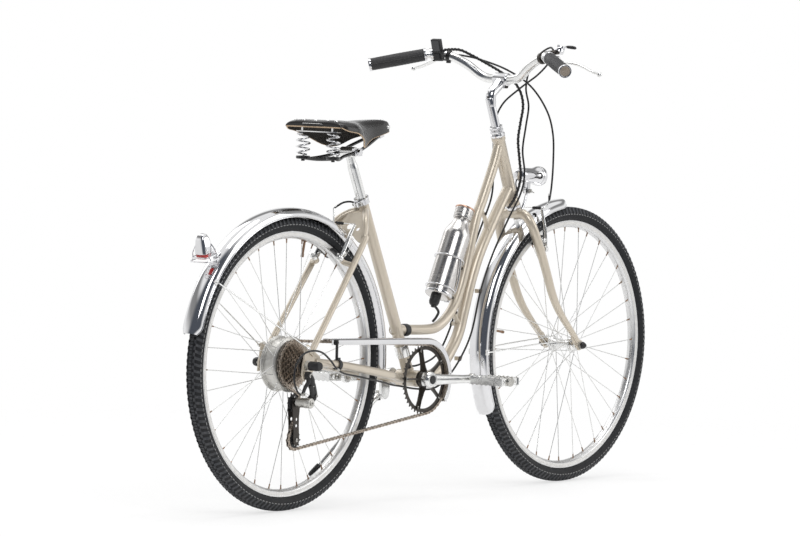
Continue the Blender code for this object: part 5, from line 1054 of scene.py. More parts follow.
def make_rear_light():
    """The chromed housing on the fender, its clear and red lens and the wire frame round it."""
    lens_centre = Vector((-0.3055, 0, 0.6235))
    facing = Vector((-0.97, 0, -0.243))
    place = basis(lens_centre, SIDE, facing.cross(SIDE))
    bm = bmesh.new()
    light_box(bm, place, mm([(-47, 4, 4, 0), (-44, 9, 9, 0), (-33, 13.5, 13.5, 0), (-16, 15.8, 16, 0),
        (-4, 17, 17.8, 0), (-0.6, 17, 17.8, 0)]))
    piece_degrees = 174 / 19
    foot_at = polar(REAR, 0.37535, 166.5 - piece_degrees * 3.5)
    block(bm, foot_at, (0.0044, 0.018, 0.016), foot_at - REAR, SIDE.cross(foot_at - REAR))
    tube(bm, [foot_at, foot_at.lerp(lens_centre - facing * 0.03, 0.5), lens_centre - facing * 0.03], 0.0055,
        20)
    piece("rear_light_housing", bm, bright_chrome, "frame", ["rear_light"], bevel=0.0006)
    bm = bmesh.new()
    for wide, tall, out in ((0.025, 0.0215, 0.006), (0.029, 0.0255, 0.015)):
        tube(bm, rounded_square(place, 49, 0.36, wide, tall, 0, out), 0.0015, 10)
    for side in (-1, 1):
        for rise in (-0.013, 0.013):
            tube(bm, [place @ Vector((side * 0.015, rise * 0.8, -0.02)),
                place @ Vector((side * 0.024, rise, -0.004)), place @ Vector((side * 0.025, rise, 0.006)),
                place @ Vector((side * 0.0285, rise, 0.015))], 0.0014, 10, smooth=4)
    piece("rear_light_guard", bm, bright_chrome, "frame", bevel=0)
    bm = bmesh.new()
    light_box(bm, place, mm([(0, 15.4, 11.2, -5), (8, 15.4, 11.2, -5), (11.2, 13.8, 9.8, -5),
        (12.2, 6, 4, -5)]))
    piece("rear_light_lens", bm, red_lens, "frame", ["rear_lens"], bevel=0.0002)
    bm = bmesh.new()
    light_box(bm, place, mm([(0, 15.4, 4.6, 11.2), (8, 15.4, 4.6, 11.2), (11.2, 13.8, 3.4, 11.2),
        (12.2, 6, 1.4, 11.2)]))
    piece("rear_light_window", bm, lamp_glass, "frame", bevel=0.0002)


def make_chain_guard():
    """The chromed channel over the chain and round the front of the ring, with its post and band."""
    section_line = mm([(-56, -8.5), (-56, 1.5), (-54.8, 4.2), (-52, 5.8), (-30, 5.8), (-28, 4.2), (-27, 1),
        (-28.2, 0.6), (-29.2, 3.2), (-31, 4.6), (-51, 4.6), (-53.6, 3.2), (-54.8, 1), (-54.8, -8.5)])
    path = spline([(0.11, 0, 0.4035), (0.25, 0, 0.3985), (0.42, 0, 0.3925)], 5)[:-1]
    path += [polar(BRACKET, 0.0955, a) for a in range(88, -40, -4)]
    bm = bmesh.new()
    section(bm, path, section_line)
    rolled = mm([(-55.8, -9.2), (-54.5, -9.2), (-54.5, -7.8), (-55.8, -7.8)])
    section(bm, path, rolled)
    piece("chain_guard_channel", bm, bright_chrome, "frame", ["chain_guard"], bevel=0.0003, angle=50)
    bm = bmesh.new()
    one, two = Vector(CHAINSTAY[5]), Vector(CHAINSTAY[6])
    stay = one.lerp(two, (one.x - 0.126) / (one.x - two.x))
    collar(bm, stay, one - two, 0.0108, 0.013, -0.006, 0.006, 36)
    rod(bm, (0.126, -0.0585, 0.3585), (0.126, -0.0585, 0.404), 0.0035, 16)
    block(bm, (0.126, -0.0568, 0.402), (0.012, 0.0044, 0.01))
    block(bm, stay + Vector((0, -0.002, 0.014)), (0.01, 0.008, 0.006))
    socket_bolt(bm, Vector((0.126, -0.0598, 0.4)), -SIDE, 0.0036, 0.0024)
    piece("chain_guard_post", bm, black_plastic, "frame", bevel=0.0003)


# Steering and cockpit

GRIP_IN = Vector((0.78, -0.19, 1.085))
GRIP_OUT = Vector((0.69, -0.305, 1.055))
LEVER_PIVOT = Vector((0.835, -0.176, 1.0745))
LEVER_BARREL = [Vector((0.832, -0.171, 1.0845)), Vector((0.846, -0.15, 1.084))]
BAR_HALF = [Vector(p) for p in ((0.843, 0, 1.027), (0.841, -0.035, 1.028), (0.838, -0.062, 1.036),
    (0.828, -0.095, 1.06), (0.816, -0.13, 1.078), (0.8, -0.165, 1.0865), (0.78, -0.19, 1.085))]
SHIFTER = Vector((0.85, -0.172, 1.108))
SHIFTER_AXIS = Vector((0.45, -0.1, 0.88)).normalized()
LAMP_HINGE = Vector((0.959, 0, 0.746))
BLADE = mm([(910.5, -26, 689), (911, -40, 680), (917, -51, 658), (936, -55.6, 617), (956, -56, 580),
    (981, -56, 529), (1002, -55.5, 487), (1026, -55, 452), (1058, -54.5, 418), (1095, -54, 384),
    (1118, -53.5, 362)])
BLADE_RADIUS = mm([12, 12, 12, 12, 11.5, 11, 10.5, 9.8, 9, 8, 6.8])


def bar_path():
    """The middle line of the handlebar, from the left grip's end to the right grip's."""
    right = spline(BAR_HALF, 6)
    right.append(GRIP_OUT - (GRIP_OUT - GRIP_IN).normalized() * 0.0055)
    return flip(right)[::-1] + right[1:]


def on_bar(y):
    """The point on the handlebar's middle line at this distance to the left."""
    path = bar_path()
    for a, b in zip(path, path[1:]):
        if (a.y - y) * (b.y - y) <= 0 and a.y != b.y:
            return a.lerp(b, (y - a.y) / (b.y - a.y))
    raise ValueError("the bar does not reach y = %s" % y)


def make_fork():
    """The broad crown, the curved blades, their ends round the axle and the brake bosses."""
    bm = bmesh.new()
    tube(bm, [steer(0.692) - STEER_UP * 0.01, steer(0.905)], 0.0127, 28)
    turned(bm, mm([(0, -20), (17, -19.6), (18.5, -18), (18.5, -11.2)]), steer(0.712), STEER_UP, 40)
    crown = [steer(0.6905 - 0.002 * abs(s) / 0.03, side=s) for s in (-0.03, -0.015, 0, 0.015, 0.03)]
    tube(bm, crown, mm([12.2, 13.2, 13.8, 13.2, 12.2]), 28, smooth=4)
    for turned_over in (list, flip):
        tube(bm, turned_over([Vector(p) for p in BLADE]), BLADE_RADIUS, 24, smooth=6)
    piece("fork_blades", bm, champagne_paint, "steering", ["fork"])
    bm = bmesh.new()
    around_axle = mm([(-30, 33), (-20, 30.5), (-14, 27), (-4, 15), (8, 11), (12, 6), (12, -1), (6, -11),
        (0, -12.8), (-6, -13), (-12, -5), (-26, 5), (-36, 21)])
    for side in (-1, 1):
        outline = [(FRONT.x + x, FRONT.z + z) for x, z in around_axle]
        sheet_plate(bm, outline, 0.005, upright(side * 0.0525), [(FRONT.x, FRONT.z, 0.0055)])
        boss = Vector((FRONT_BOSS.x, side * 0.04, FRONT_BOSS.z))
        root = [Vector((0.95, side * 0.053, 0.594)), Vector((0.962, side * 0.045, 0.598))]
        tube(bm, root + [boss - FRONT_BRAKE_OUT * 0.012, boss - FRONT_BRAKE_OUT * 0.0046],
            [0.0085, 0.0075, 0.007, 0.0068], 18, smooth=4)
    piece("fork_ends", bm, champagne_paint, "steering", bevel=0.0007)


def make_front_fender():
    """The chromed front fender, its wire stays and the bracket under the crown."""
    bm = bmesh.new()
    fender_sheet(bm, FRONT, 94, 206, 72)
    piece("front_fender_sheet", bm, bright_chrome, "steering", ["front_fender"], bevel=0, angle=60)
    bm = bmesh.new()
    clip = polar(FRONT, 0.3565, 180.8)
    for side in (-1, 1):
        start = Vector((clip.x, side * 0.0262, clip.z))
        eye = FRONT + Vector((-0.004, side * 0.0438, 0.019))
        tube(bm, [start, start + Vector((0.012, side * 0.004, 0.001)), start.lerp(eye, 0.5) + SIDE * side
            * 0.001, eye - Vector((0.026, 0, 0.0045)), eye], 0.0018, 12, smooth=5)
        collar(bm, (eye.x, 0, eye.z), SIDE * side, 0.0018, 0.004, 0.0425, 0.047, 20)
        block(bm, (clip.x, side * 0.0262, clip.z), (0.012, 0.0036, 0.014))
        socket_bolt(bm, Vector((clip.x, side * 0.028, clip.z)), SIDE * side, 0.003, 0.0022)
    to_crown = steer(0.688) - FRONT
    low, high = FENDER_RADIUS - 0.002, to_crown.length - 0.0129
    block(bm, FRONT + to_crown.normalized() * (low + high) / 2, (0.01, 0.014, high - low), STEER_FRONT,
        to_crown)
    piece("front_fender_stays", bm, polished_alloy, "steering", bevel=0.0003)


def make_headlamp():
    """The bullet lamp on its bent strip: shell, rim ring, glass, ears and wing bolt."""
    bm = bmesh.new()
    base = steer(0.684, 0.0149)
    block(bm, base, (0.0036, 0.022, 0.015), STEER_FRONT, STEER_UP)
    tube(bm, [base, (0.938, 0, 0.7), (0.954, 0, 0.726), LAMP_HINGE], [0.0045, 0.0045, 0.0042, 0.0032], 20,
        flat=1.0, smooth=6)
    socket_bolt(bm, base + STEER_FRONT * 0.0016 + STEER_UP * 0.003, STEER_FRONT, 0.0042, 0.003)
    disc(bm, LAMP_HINGE, SIDE, 0.0085, -0.0035, 0.0035)
    piece("lamp_strip", bm, bright_chrome, "steering", ["lamp_bracket"])
    bm = bmesh.new()
    rod(bm, LAMP_HINGE - SIDE * 0.015, LAMP_HINGE + SIDE * 0.0095, 0.0026, 16)
    hexagon(bm, LAMP_HINGE, SIDE, 0.0052, 0.0075, 0.0105)
    disc(bm, LAMP_HINGE, -SIDE, 0.0048, 0.0095, 0.0135, 20)
    for turn in (-1, 1):
        way = Vector((0.9, 0, -0.43 * turn)) * turn
        start = LAMP_HINGE - SIDE * 0.012
        tube(bm, [start, start + way * 0.006 - SIDE * 0.0015, start + way * 0.0115 - SIDE * 0.004],
            [0.0022, 0.003, 0.0018], 12, flat=0.5, smooth=4)
    piece("lamp_wing_bolt", bm, axle_steel, "steering", bevel=0.0002)
    bm = bmesh.new()
    middle = LAMP_HINGE + Vector((0.011, 0, 0.038))
    facing = Vector((1, 0, -0.05)).normalized()
    turned(bm, mm([(0, -56), (5, -55.8), (9.5, -54.5), (13.5, -52), (16.3, -48), (18, -42), (18.7, -34),
        (19.3, -20), (19.6, 0), (20, 9), (21.6, 18), (23.2, 24), (23.8, 26.8), (24, 29), (22.8, 30),
        (22.8, 34.5)]), middle, facing, 56)
    for side in (-1, 1):
        path = [LAMP_HINGE + Vector((0, side * 0.0057, -0.007)), LAMP_HINGE
            + Vector((0.002, side * 0.0057, 0.026))]
        tube(bm, path, 0.0017, 16, flat=4.0)
    disc(bm, middle - facing * 0.056, -facing, 0.004, -0.001, 0.002, 20)
    piece("lamp_shell", bm, bright_chrome, "lamp", ["headlamp"], bevel=0.0003)
    bm = bmesh.new()
    turned(bm, mm([(20.6, 30.5), (24, 30.2), (24.7, 32), (24.7, 42.5), (24, 44.5), (22.2, 45.5),
        (20.6, 44)]), middle, facing, 56, ring=True)
    piece("lamp_rim", bm, bright_chrome, "lamp", bevel=0.0002)
    bm = bmesh.new()
    turned(bm, mm([(20.6, 40), (20.8, 44.8), (18, 48.6), (11, 52.3), (0, 53.8)]), middle, facing, 56)
    piece("lamp_glass", bm, lamp_glass, "lamp", bevel=0.0002)
    bm = bmesh.new()
    tube(bm, [middle - facing * 0.052 - UP * 0.008, middle - facing * 0.058 - UP * 0.022,
        (0.925, 0.004, 0.735), (0.915, 0.01, 0.722)], 0.0016, 10, smooth=8)
    piece("lamp_wire", bm, cable_rubber, "lamp", bevel=0)


def make_headset():
    """The chromed upper race with its two locknuts."""
    bm = bmesh.new()
    top = steer(0.885)
    turned(bm, mm([(13.1, 0.4), (18, 0.4), (18.6, 1.4), (18.6, 6.2), (17.6, 7.2), (15.6, 8.8), (15.6, 9.6),
        (13.1, 9.6)]), top, STEER_UP, 44, ring=True)
    turned(bm, mm([(13.1, 17.6), (16, 17.8), (16, 19.6), (13.1, 19.6)]), top, STEER_UP, 44, ring=True)
    for low, high, radius in ((0.01, 0.0174, 0.0172), (0.0198, 0.0272, 0.017)):
        turned(bm, [(0.0131, low), (radius * 0.93, low), (radius, low + 0.0008), (radius, high - 0.0008),
            (radius * 0.93, high), (0.0131, high)], top, STEER_UP, 8, ring=True)
    piece("upper_headset", bm, bright_chrome, "steering", ["headset_upper"])


def make_stem():
    """The polished quill stem, its bolted clamp and its wedge bolt."""
    bm = bmesh.new()
    foot = steer(0.83)
    top = (0.983 - 0.83) / STEER_UP.z
    turned(bm, [(0.0111, 0), (0.0111, top - 0.0035), (0.0104, top - 0.0012), (0.009, top)], foot, STEER_UP,
        36)
    clamp_centre = BAR_HALF[0]
    tube(bm, [steer(0.956), steer(0.968, 0.002), (0.8, 0, 0.99), (0.822, 0, 1.008), clamp_centre],
        mm([10.8, 12.2, 13.2, 14.2, 15.8]), 26, flat=[1.0, 1.05, 0.95, 0.9, 0.86], smooth=6)
    turned(bm, mm([(11.3, -20), (15.2, -20), (16.3, -19), (16.5, -17), (16.5, 17), (16.3, 19), (15.2, 20),
        (11.3, 20)]), clamp_centre, SIDE, 40, ring=True)
    for side in (-1, 1):
        block(bm, clamp_centre + Vector((0.004, side * 0.0062, -0.0165)), (0.014, 0.009, 0.012))
    piece("stem_body", bm, bright_chrome, "steering", ["stem"], bevel=0.0006)
    bm = bmesh.new()
    top_at = foot + STEER_UP * top
    socket_bolt(bm, top_at - STEER_UP * 0.0008, STEER_UP, 0.0068, 0.005)
    lug = clamp_centre + Vector((0.004, 0, -0.0175))
    rod(bm, lug - SIDE * 0.0125, lug + SIDE * 0.0125, 0.0026, 14)
    socket_bolt(bm, lug - SIDE * 0.0106, -SIDE, 0.0046, 0.0042)
    hexagon(bm, lug, SIDE, 0.0046, 0.0106, 0.0142)
    piece("stem_bolts", bm, dark_steel, "steering", bevel=0.0002)


def make_handlebar():
    """The bent bar, the lever mounts on it, and the shifter's clamp and case."""
    bm = bmesh.new()
    tube(bm, bar_path(), 0.0111, 28)
    turned(bm, mm([(11.1, -26), (12.2, -25), (12.4, 0), (12.2, 25), (11.1, 26)]), BAR_HALF[0], SIDE, 36,
        ring=True)
    piece("bar_tube", bm, polished_alloy, "steering", ["handlebar"], bevel=0)
    bm, bolts = bmesh.new(), bmesh.new()
    for side in (-1, 1):
        own = list if side < 0 else flip
        way, pivot = own([GRIP_OUT - GRIP_IN, LEVER_PIVOT])
        ring_at, *arm = own(mm([(790, -179, 1086), (796, -176, 1086), (817, -171, 1086),
            (836, -176, 1084)]))
        ring_at = Vector(ring_at)
        collar(bm, ring_at, way, 0.0112, 0.0155, -0.007, 0.007, 36)
        tube(bm, arm, [0.008, 0.0072, 0.0072], 20, flat=0.78, smooth=6)
        turned(bm, mm([(7.8, 4.2), (7.8, 11), (6.8, 12.5)]), pivot, UP, 28)
        barrel = own(LEVER_BARREL)
        out = (Vector(barrel[1]) - Vector(barrel[0])).normalized()
        turned(bm, mm([(4.6, 0), (4.6, 10), (4, 11), (4, 15), (5.2, 15.8), (5.2, 23.5), (3.6, 25)]),
            Vector(barrel[0]), out, 24)
        socket_bolt(bolts, pivot + UP * 0.0123, UP, 0.0048, 0.0028)
        socket_bolt(bolts, ring_at + Vector((0.003, side * -0.002, -0.015)), -UP, 0.0036, 0.0034)
    piece("lever_mounts", bm, polished_alloy, "steering", bevel=0.0005)
    mount = on_bar(-0.152)
    way = (BAR_HALF[5] - BAR_HALF[4]).normalized()
    turned(bolts, mm([(11.2, -6), (14.4, -6), (15, -5.2), (15, 5.2), (14.4, 6), (11.2, 6)]), mount, way, 32,
        ring=True)
    tube(bolts, [mount + UP * 0.01, SHIFTER - SHIFTER_AXIS * 0.009], 0.0062, 18)
    piece("cockpit_clamps", bolts, dark_steel, "steering", bevel=0.0003)
    bm = bmesh.new()
    turned(bm, mm([(11.2, -11), (12.5, -9.8), (12.5, -1.4), (11.9, -0.4)]), SHIFTER, SHIFTER_AXIS, 44)
    piece("shifter_case", bm, bright_chrome, "steering", bevel=0.0003)


def make_shifter_lever():
    """The turning barrel of the thumb shifter and its dark thumb plate."""
    bm = bmesh.new()
    turned(bm, mm([(12, 0), (12, 4.4), (10.8, 5.8), (6, 6.4), (5.6, 6)]), SHIFTER, SHIFTER_AXIS, 44)
    tube(bm, [SHIFTER + SHIFTER_AXIS * 0.003, SHIFTER + Vector((0.01, -0.006, 0.0045)),
        SHIFTER + Vector((0.018, -0.012, 0.004))], [0.0052, 0.0046, 0.0042], 18, flat=0.5, smooth=5)
    piece("shifter_barrel", bm, bright_chrome, "shifter", ["shifter_lever"], bevel=0.0003)
    bm = bmesh.new()
    tube(bm, [SHIFTER + Vector((0.0135, -0.008, 0.0046)), SHIFTER + Vector((0.018, -0.013, 0.0044)),
        SHIFTER + Vector((0.024, -0.02, 0.0036)), SHIFTER + Vector((0.0295, -0.0255, 0.0022)),
        SHIFTER + Vector((0.0315, -0.0275, 0.0018))], mm([3.6, 6.2, 7.4, 5.8, 2]), 20,
        flat=[0.7, 0.62, 0.6, 0.62, 0.7], smooth=5)
    socket_bolt(bm, SHIFTER + SHIFTER_AXIS * 0.0058, SHIFTER_AXIS, 0.0048, 0.0022)
    piece("shifter_thumb", bm, black_plastic, "shifter", bevel=0.0002)


def make_levers():
    """The two long brake levers with their balls."""
    for name, side in (("right", -1), ("left", 1)):
        own = list if side < 0 else flip
        pivot = Vector(own([LEVER_PIVOT])[0])
        bend = own(mm([(838, -181, 1074), (851, -204, 1073), (857.5, -222, 1069.5), (860, -238, 1064),
            (859, -266, 1053), (856, -290, 1047)]))
        bm = bmesh.new()
        turned(bm, mm([(6.2, -6), (7, -5.2), (7, 2.8), (6.2, 3.6)]), pivot, UP, 28)
        tube(bm, [pivot] + bend, mm([5, 6, 6.2, 6.6, 6.8, 6.2, 4.8]), 22, flat=0.52, smooth=6)
        tip = Vector(bend[-1])
        ball = [(0.0064 * math.sin(math.pi * k / 12), -0.0064 * math.cos(math.pi * k / 12))
            for k in range(13)]
        turned(bm, [(r if 0 < k < 12 else 0, h) for k, (r, h) in enumerate(ball)], tip, UP, 24)
        piece("lever_" + name + "_blade", bm, polished_alloy, name + "_lever", ["brake_lever_" + name],
            bevel=0.0003)


def make_grips():
    """The leather-wrapped grips with their lapped seam, their inner rings and their bare ends."""
    for name, side in (("right", -1), ("left", 1)):
        start = Vector((GRIP_IN.x, GRIP_IN.y * -side, GRIP_IN.z))
        end = Vector((GRIP_OUT.x, GRIP_OUT.y * -side, GRIP_OUT.z))
        way = (end - start).normalized()
        length = (end - start).length
        bm = bmesh.new()
        rows = 64
        profile = [(0.0112, 0.0065), (0.015, 0.0065)]
        for k in range(rows + 1):
            share = k / rows
            swell = 0.0006 * math.sin(math.pi * share) + 0.00016 * math.cos(2 * math.pi * share * 16)
            profile.append((0.0154 + swell, 0.0072 + share * (length - 0.0145)))
        profile += [(0.0152, length - 0.007), (0.0112, length - 0.0068)]
        turned(bm, profile, start, way, 48, ring=True)
        seam = []
        for k in range(25):
            share = k / 24
            at = start + way * (0.01 + share * (length - 0.02))
            seam.append(at + basis((0, 0, 0), UP, way) @ Vector((0, -0.0158 - 0.0006
                * math.sin(math.pi * share), 0)))
        tube(bm, seam, 0.0011, 8, flat=0.7)
        piece("grip_" + name + "_wrap", bm, grip_leather, "steering", ["grip_" + name], bevel=0)
        bm = bmesh.new()
        turned(bm, mm([(11.2, 1), (15, 1), (16, 2.2), (16, 5.6), (15.2, 6.6), (11.2, 6.6)]), start, way, 44,
            ring=True)
        turned(bm, [(0.0128, length - 0.0068), (0.016, length - 0.0066), (0.0167, length - 0.005),
            (0.0167, length - 0.0016), (0.016, length), (0.0136, length), (0.0128, length - 0.0008)], start,
            way, 44, ring=True)
        piece("grip_" + name + "_rings", bm, bright_chrome, "steering", bevel=0.0002)
        bm = bmesh.new()
        turned(bm, [(0.0129, length - 0.0052), (0.0129, length - 0.0012), (0.0115, length - 0.0007),
            (0, length - 0.0005)], start, way, 40)
        piece("grip_" + name + "_end", bm, grip_end, "steering", bevel=0.0002)


def make_display():
    """The small control unit on its strap: the matte case, the glossy window and the key."""
    screen_up = Vector((-0.3, 0, 1)).normalized()
    centre = Vector((0.768, 0.147, 1.097))
    back = screen_up.cross(SIDE).normalized()
    back = back if back.x < 0 else -back
    bm = bmesh.new()
    block(bm, centre, (0.0114, 0.028, 0.056), -back, screen_up)
    strap_at = on_bar(0.144)
    collar(bm, strap_at, on_bar(0.148) - on_bar(0.14), 0.0113, 0.0145, -0.005, 0.005, 36)
    block(bm, (0.7825, strap_at.y, strap_at.z), (0.027, 0.008, 0.008))
    block(bm, strap_at - UP * 0.015, (0.01, 0.009, 0.007))
    piece("display_case", bm, black_plastic, "steering", ["display"], bevel=0.0018)
    bm = bmesh.new()
    block(bm, centre + screen_up * 0.012 + back * 0.0056, (0.0022, 0.0235, 0.027), back, screen_up)
    piece("display_window", bm, gloss_plastic, "steering", bevel=0.0007)
    bm = bmesh.new()
    key = centre - screen_up * 0.015 + back * 0.0079
    block(bm, key, (0.0022, 0.018, 0.014), back, screen_up)
    piece("display_key_cap", bm, cable_rubber, "display_key", ["display_button"], bevel=0.0007)


# Brakes

def brake_arm_parts(metal, rubber, boss, up, out, side):
    """One arm: its barrel, blade, anchor, spring and pad, the metal and the rubber apart."""
    inward = SIDE * -side
    top = boss + up * 0.1 + inward * 0.007
    turned(metal, mm([(8, -4), (8, 6.2), (7.2, 7.5)]), boss, out, 28)
    path = [boss + out * 0.003, boss + up * 0.03 + out * 0.003, boss + up * 0.052 + inward * 0.0015 + out
        * 0.003, boss + up * 0.075 + inward * 0.0045 + out * 0.002, top]
    tube(metal, path, mm([6.6, 6.2, 5.6, 5, 4.2]), 20, flat=0.72, smooth=6)
    socket_bolt(metal, boss + out * 0.0074, out, 0.005, 0.0034)
    wheel = FRONT if boss.x > WHEELBASE / 2 else REAR
    start = boss - wheel
    start.y = 0
    start -= out * 0.002
    pad_radius = RIM_OUTER - 0.0083
    rise = -start.dot(up) + math.sqrt(start.dot(up) ** 2 - start.length_squared + pad_radius ** 2)
    pad_at = boss + up * rise - out * 0.002
    centre = Vector((pad_at.x, side * (RIM_HALF_WIDTH + 0.002 + 0.0045), pad_at.z))
    hub = Vector((wheel.x, centre.y, wheel.z))
    round_way = (centre - hub).normalized().cross(SIDE)
    in_out = round_way.cross(SIDE)
    ends = []
    for share in (-1, -0.9, -0.5, 0, 0.5, 0.9, 1):
        ends.append(centre + round_way * 0.0218 * share - (centre - hub).normalized()
            * (0.0008 * share * share))
    rings = []
    for share, point in zip((0.55, 0.92, 1, 1, 1, 0.92, 0.55), ends):
        ring = []
        for a, b in ((-1, -0.7), (-0.7, -1), (0.7, -1), (1, -0.7), (1, 0.7), (0.7, 1), (-0.7, 1), (-1, 0.7)):
            ring.append(rubber.verts.new(point + SIDE * (0.0044 * a) + in_out * (0.0037 * b * share)))
        rings.append(ring)
    skin(rubber, rings)
    rod(metal, centre + SIDE * side * 0.0035, Vector((pad_at.x, boss.y + side * 0.0085, pad_at.z)), 0.003, 16)
    at = Vector((pad_at.x, boss.y, pad_at.z))
    turned(metal, [(0.0062, 0.0022), (0.0062, 0.0042)], at, SIDE * side, 20)
    hexagon(metal, at, SIDE * side, 0.0046, 0.0042, 0.008)
    turned(metal, [(0.006, 0.0022), (0.0048, 0.0048)], at, SIDE * -side, 20)
    spring = [boss + SIDE * side * 0.007 - out * 0.001, boss + SIDE * side * 0.01 + up * 0.02 - out * 0.003,
        boss + SIDE * side * 0.0085 + up * 0.055 - out * 0.003, boss + SIDE * side * 0.005 + up * 0.062]
    tube(metal, spring, 0.0008, 8, smooth=5)


def make_brakes():
    """The four arms of the two rim brakes with their pads."""
    for name, boss_right, up, out in (("front", FRONT_BOSS, FRONT_BRAKE_UP, FRONT_BRAKE_OUT),
            ("rear", REAR_BOSS, REAR_STAY_WAY, REAR_STAY_BACK)):
        for side, hand in ((-1, "right"), (1, "left")):
            metal, rubber = bmesh.new(), bmesh.new()
            boss = Vector((boss_right.x, boss_right.y * -side, boss_right.z))
            brake_arm_parts(metal, rubber, boss, up, out, side)
            body = name + "_" + hand + "_arm"
            piece(name + "_brake_" + hand, metal, polished_alloy, body, [name + "_brake_arm_" + hand],
                bevel=0.0003)
            piece(name + "_pad_" + hand, rubber, cable_rubber, body)


# Saddle

SPRING_X = 0.111
SPRING_Y = 0.046
SPRING_FOOT = 0.8464
SPRING_CREST = SPRING_FOOT + 0.0526
NOSE = Vector((0.343, 0, 0.898))
SADDLE_STATIONS = mm([(95, 84, 915, 931), (102, 90.5, 910.5, 932.3), (115, 95, 906, 933),
    (145, 98, 901, 932.5), (180, 86, 886, 930.5), (210, 64, 869, 929), (238, 45, 867, 929),
    (280, 31, 884, 930.5), (335, 23.5, 895, 931), (362, 18, 900, 928), (370, 13, 903, 924.5),
    (374, 8, 906, 920)])


def saddle_row(share):
    """One cross-section of the leather: its place along, half width, skirt height and crown height."""
    place = share * (len(SADDLE_STATIONS) - 1)
    i = min(int(place), len(SADDLE_STATIONS) - 2)
    t = place - i
    rows = [SADDLE_STATIONS[max(i - 1, 0)], SADDLE_STATIONS[i], SADDLE_STATIONS[i + 1],
        SADDLE_STATIONS[min(i + 2, len(SADDLE_STATIONS) - 1)]]
    return [0.5 * (2 * b + (c - a) * t + (2 * a - 5 * b + 4 * c - d) * t * t + (3 * b - a - 3 * c + d)
        * t ** 3) for a, b, c, d in zip(*rows)]


def saddle_arc(half, skirt, crown, inset=0.0, count=28):
    """The leather's cross-section from the right skirt over the crown to the left, drawn in by an inset."""
    out = []
    drop = crown - skirt
    for k in range(count + 1):
        a = math.pi * k / count
        across = -math.cos(a)
        wide = math.copysign(abs(across) ** 0.72, across)
        rise = math.sin(a) ** 0.62
        dip = 0.0022 * math.exp(-(across * 3.2) ** 2) * min(half / 0.06, 1.0)
        out.append((wide * (half - inset), skirt + rise * (drop - inset) - dip))
    return out


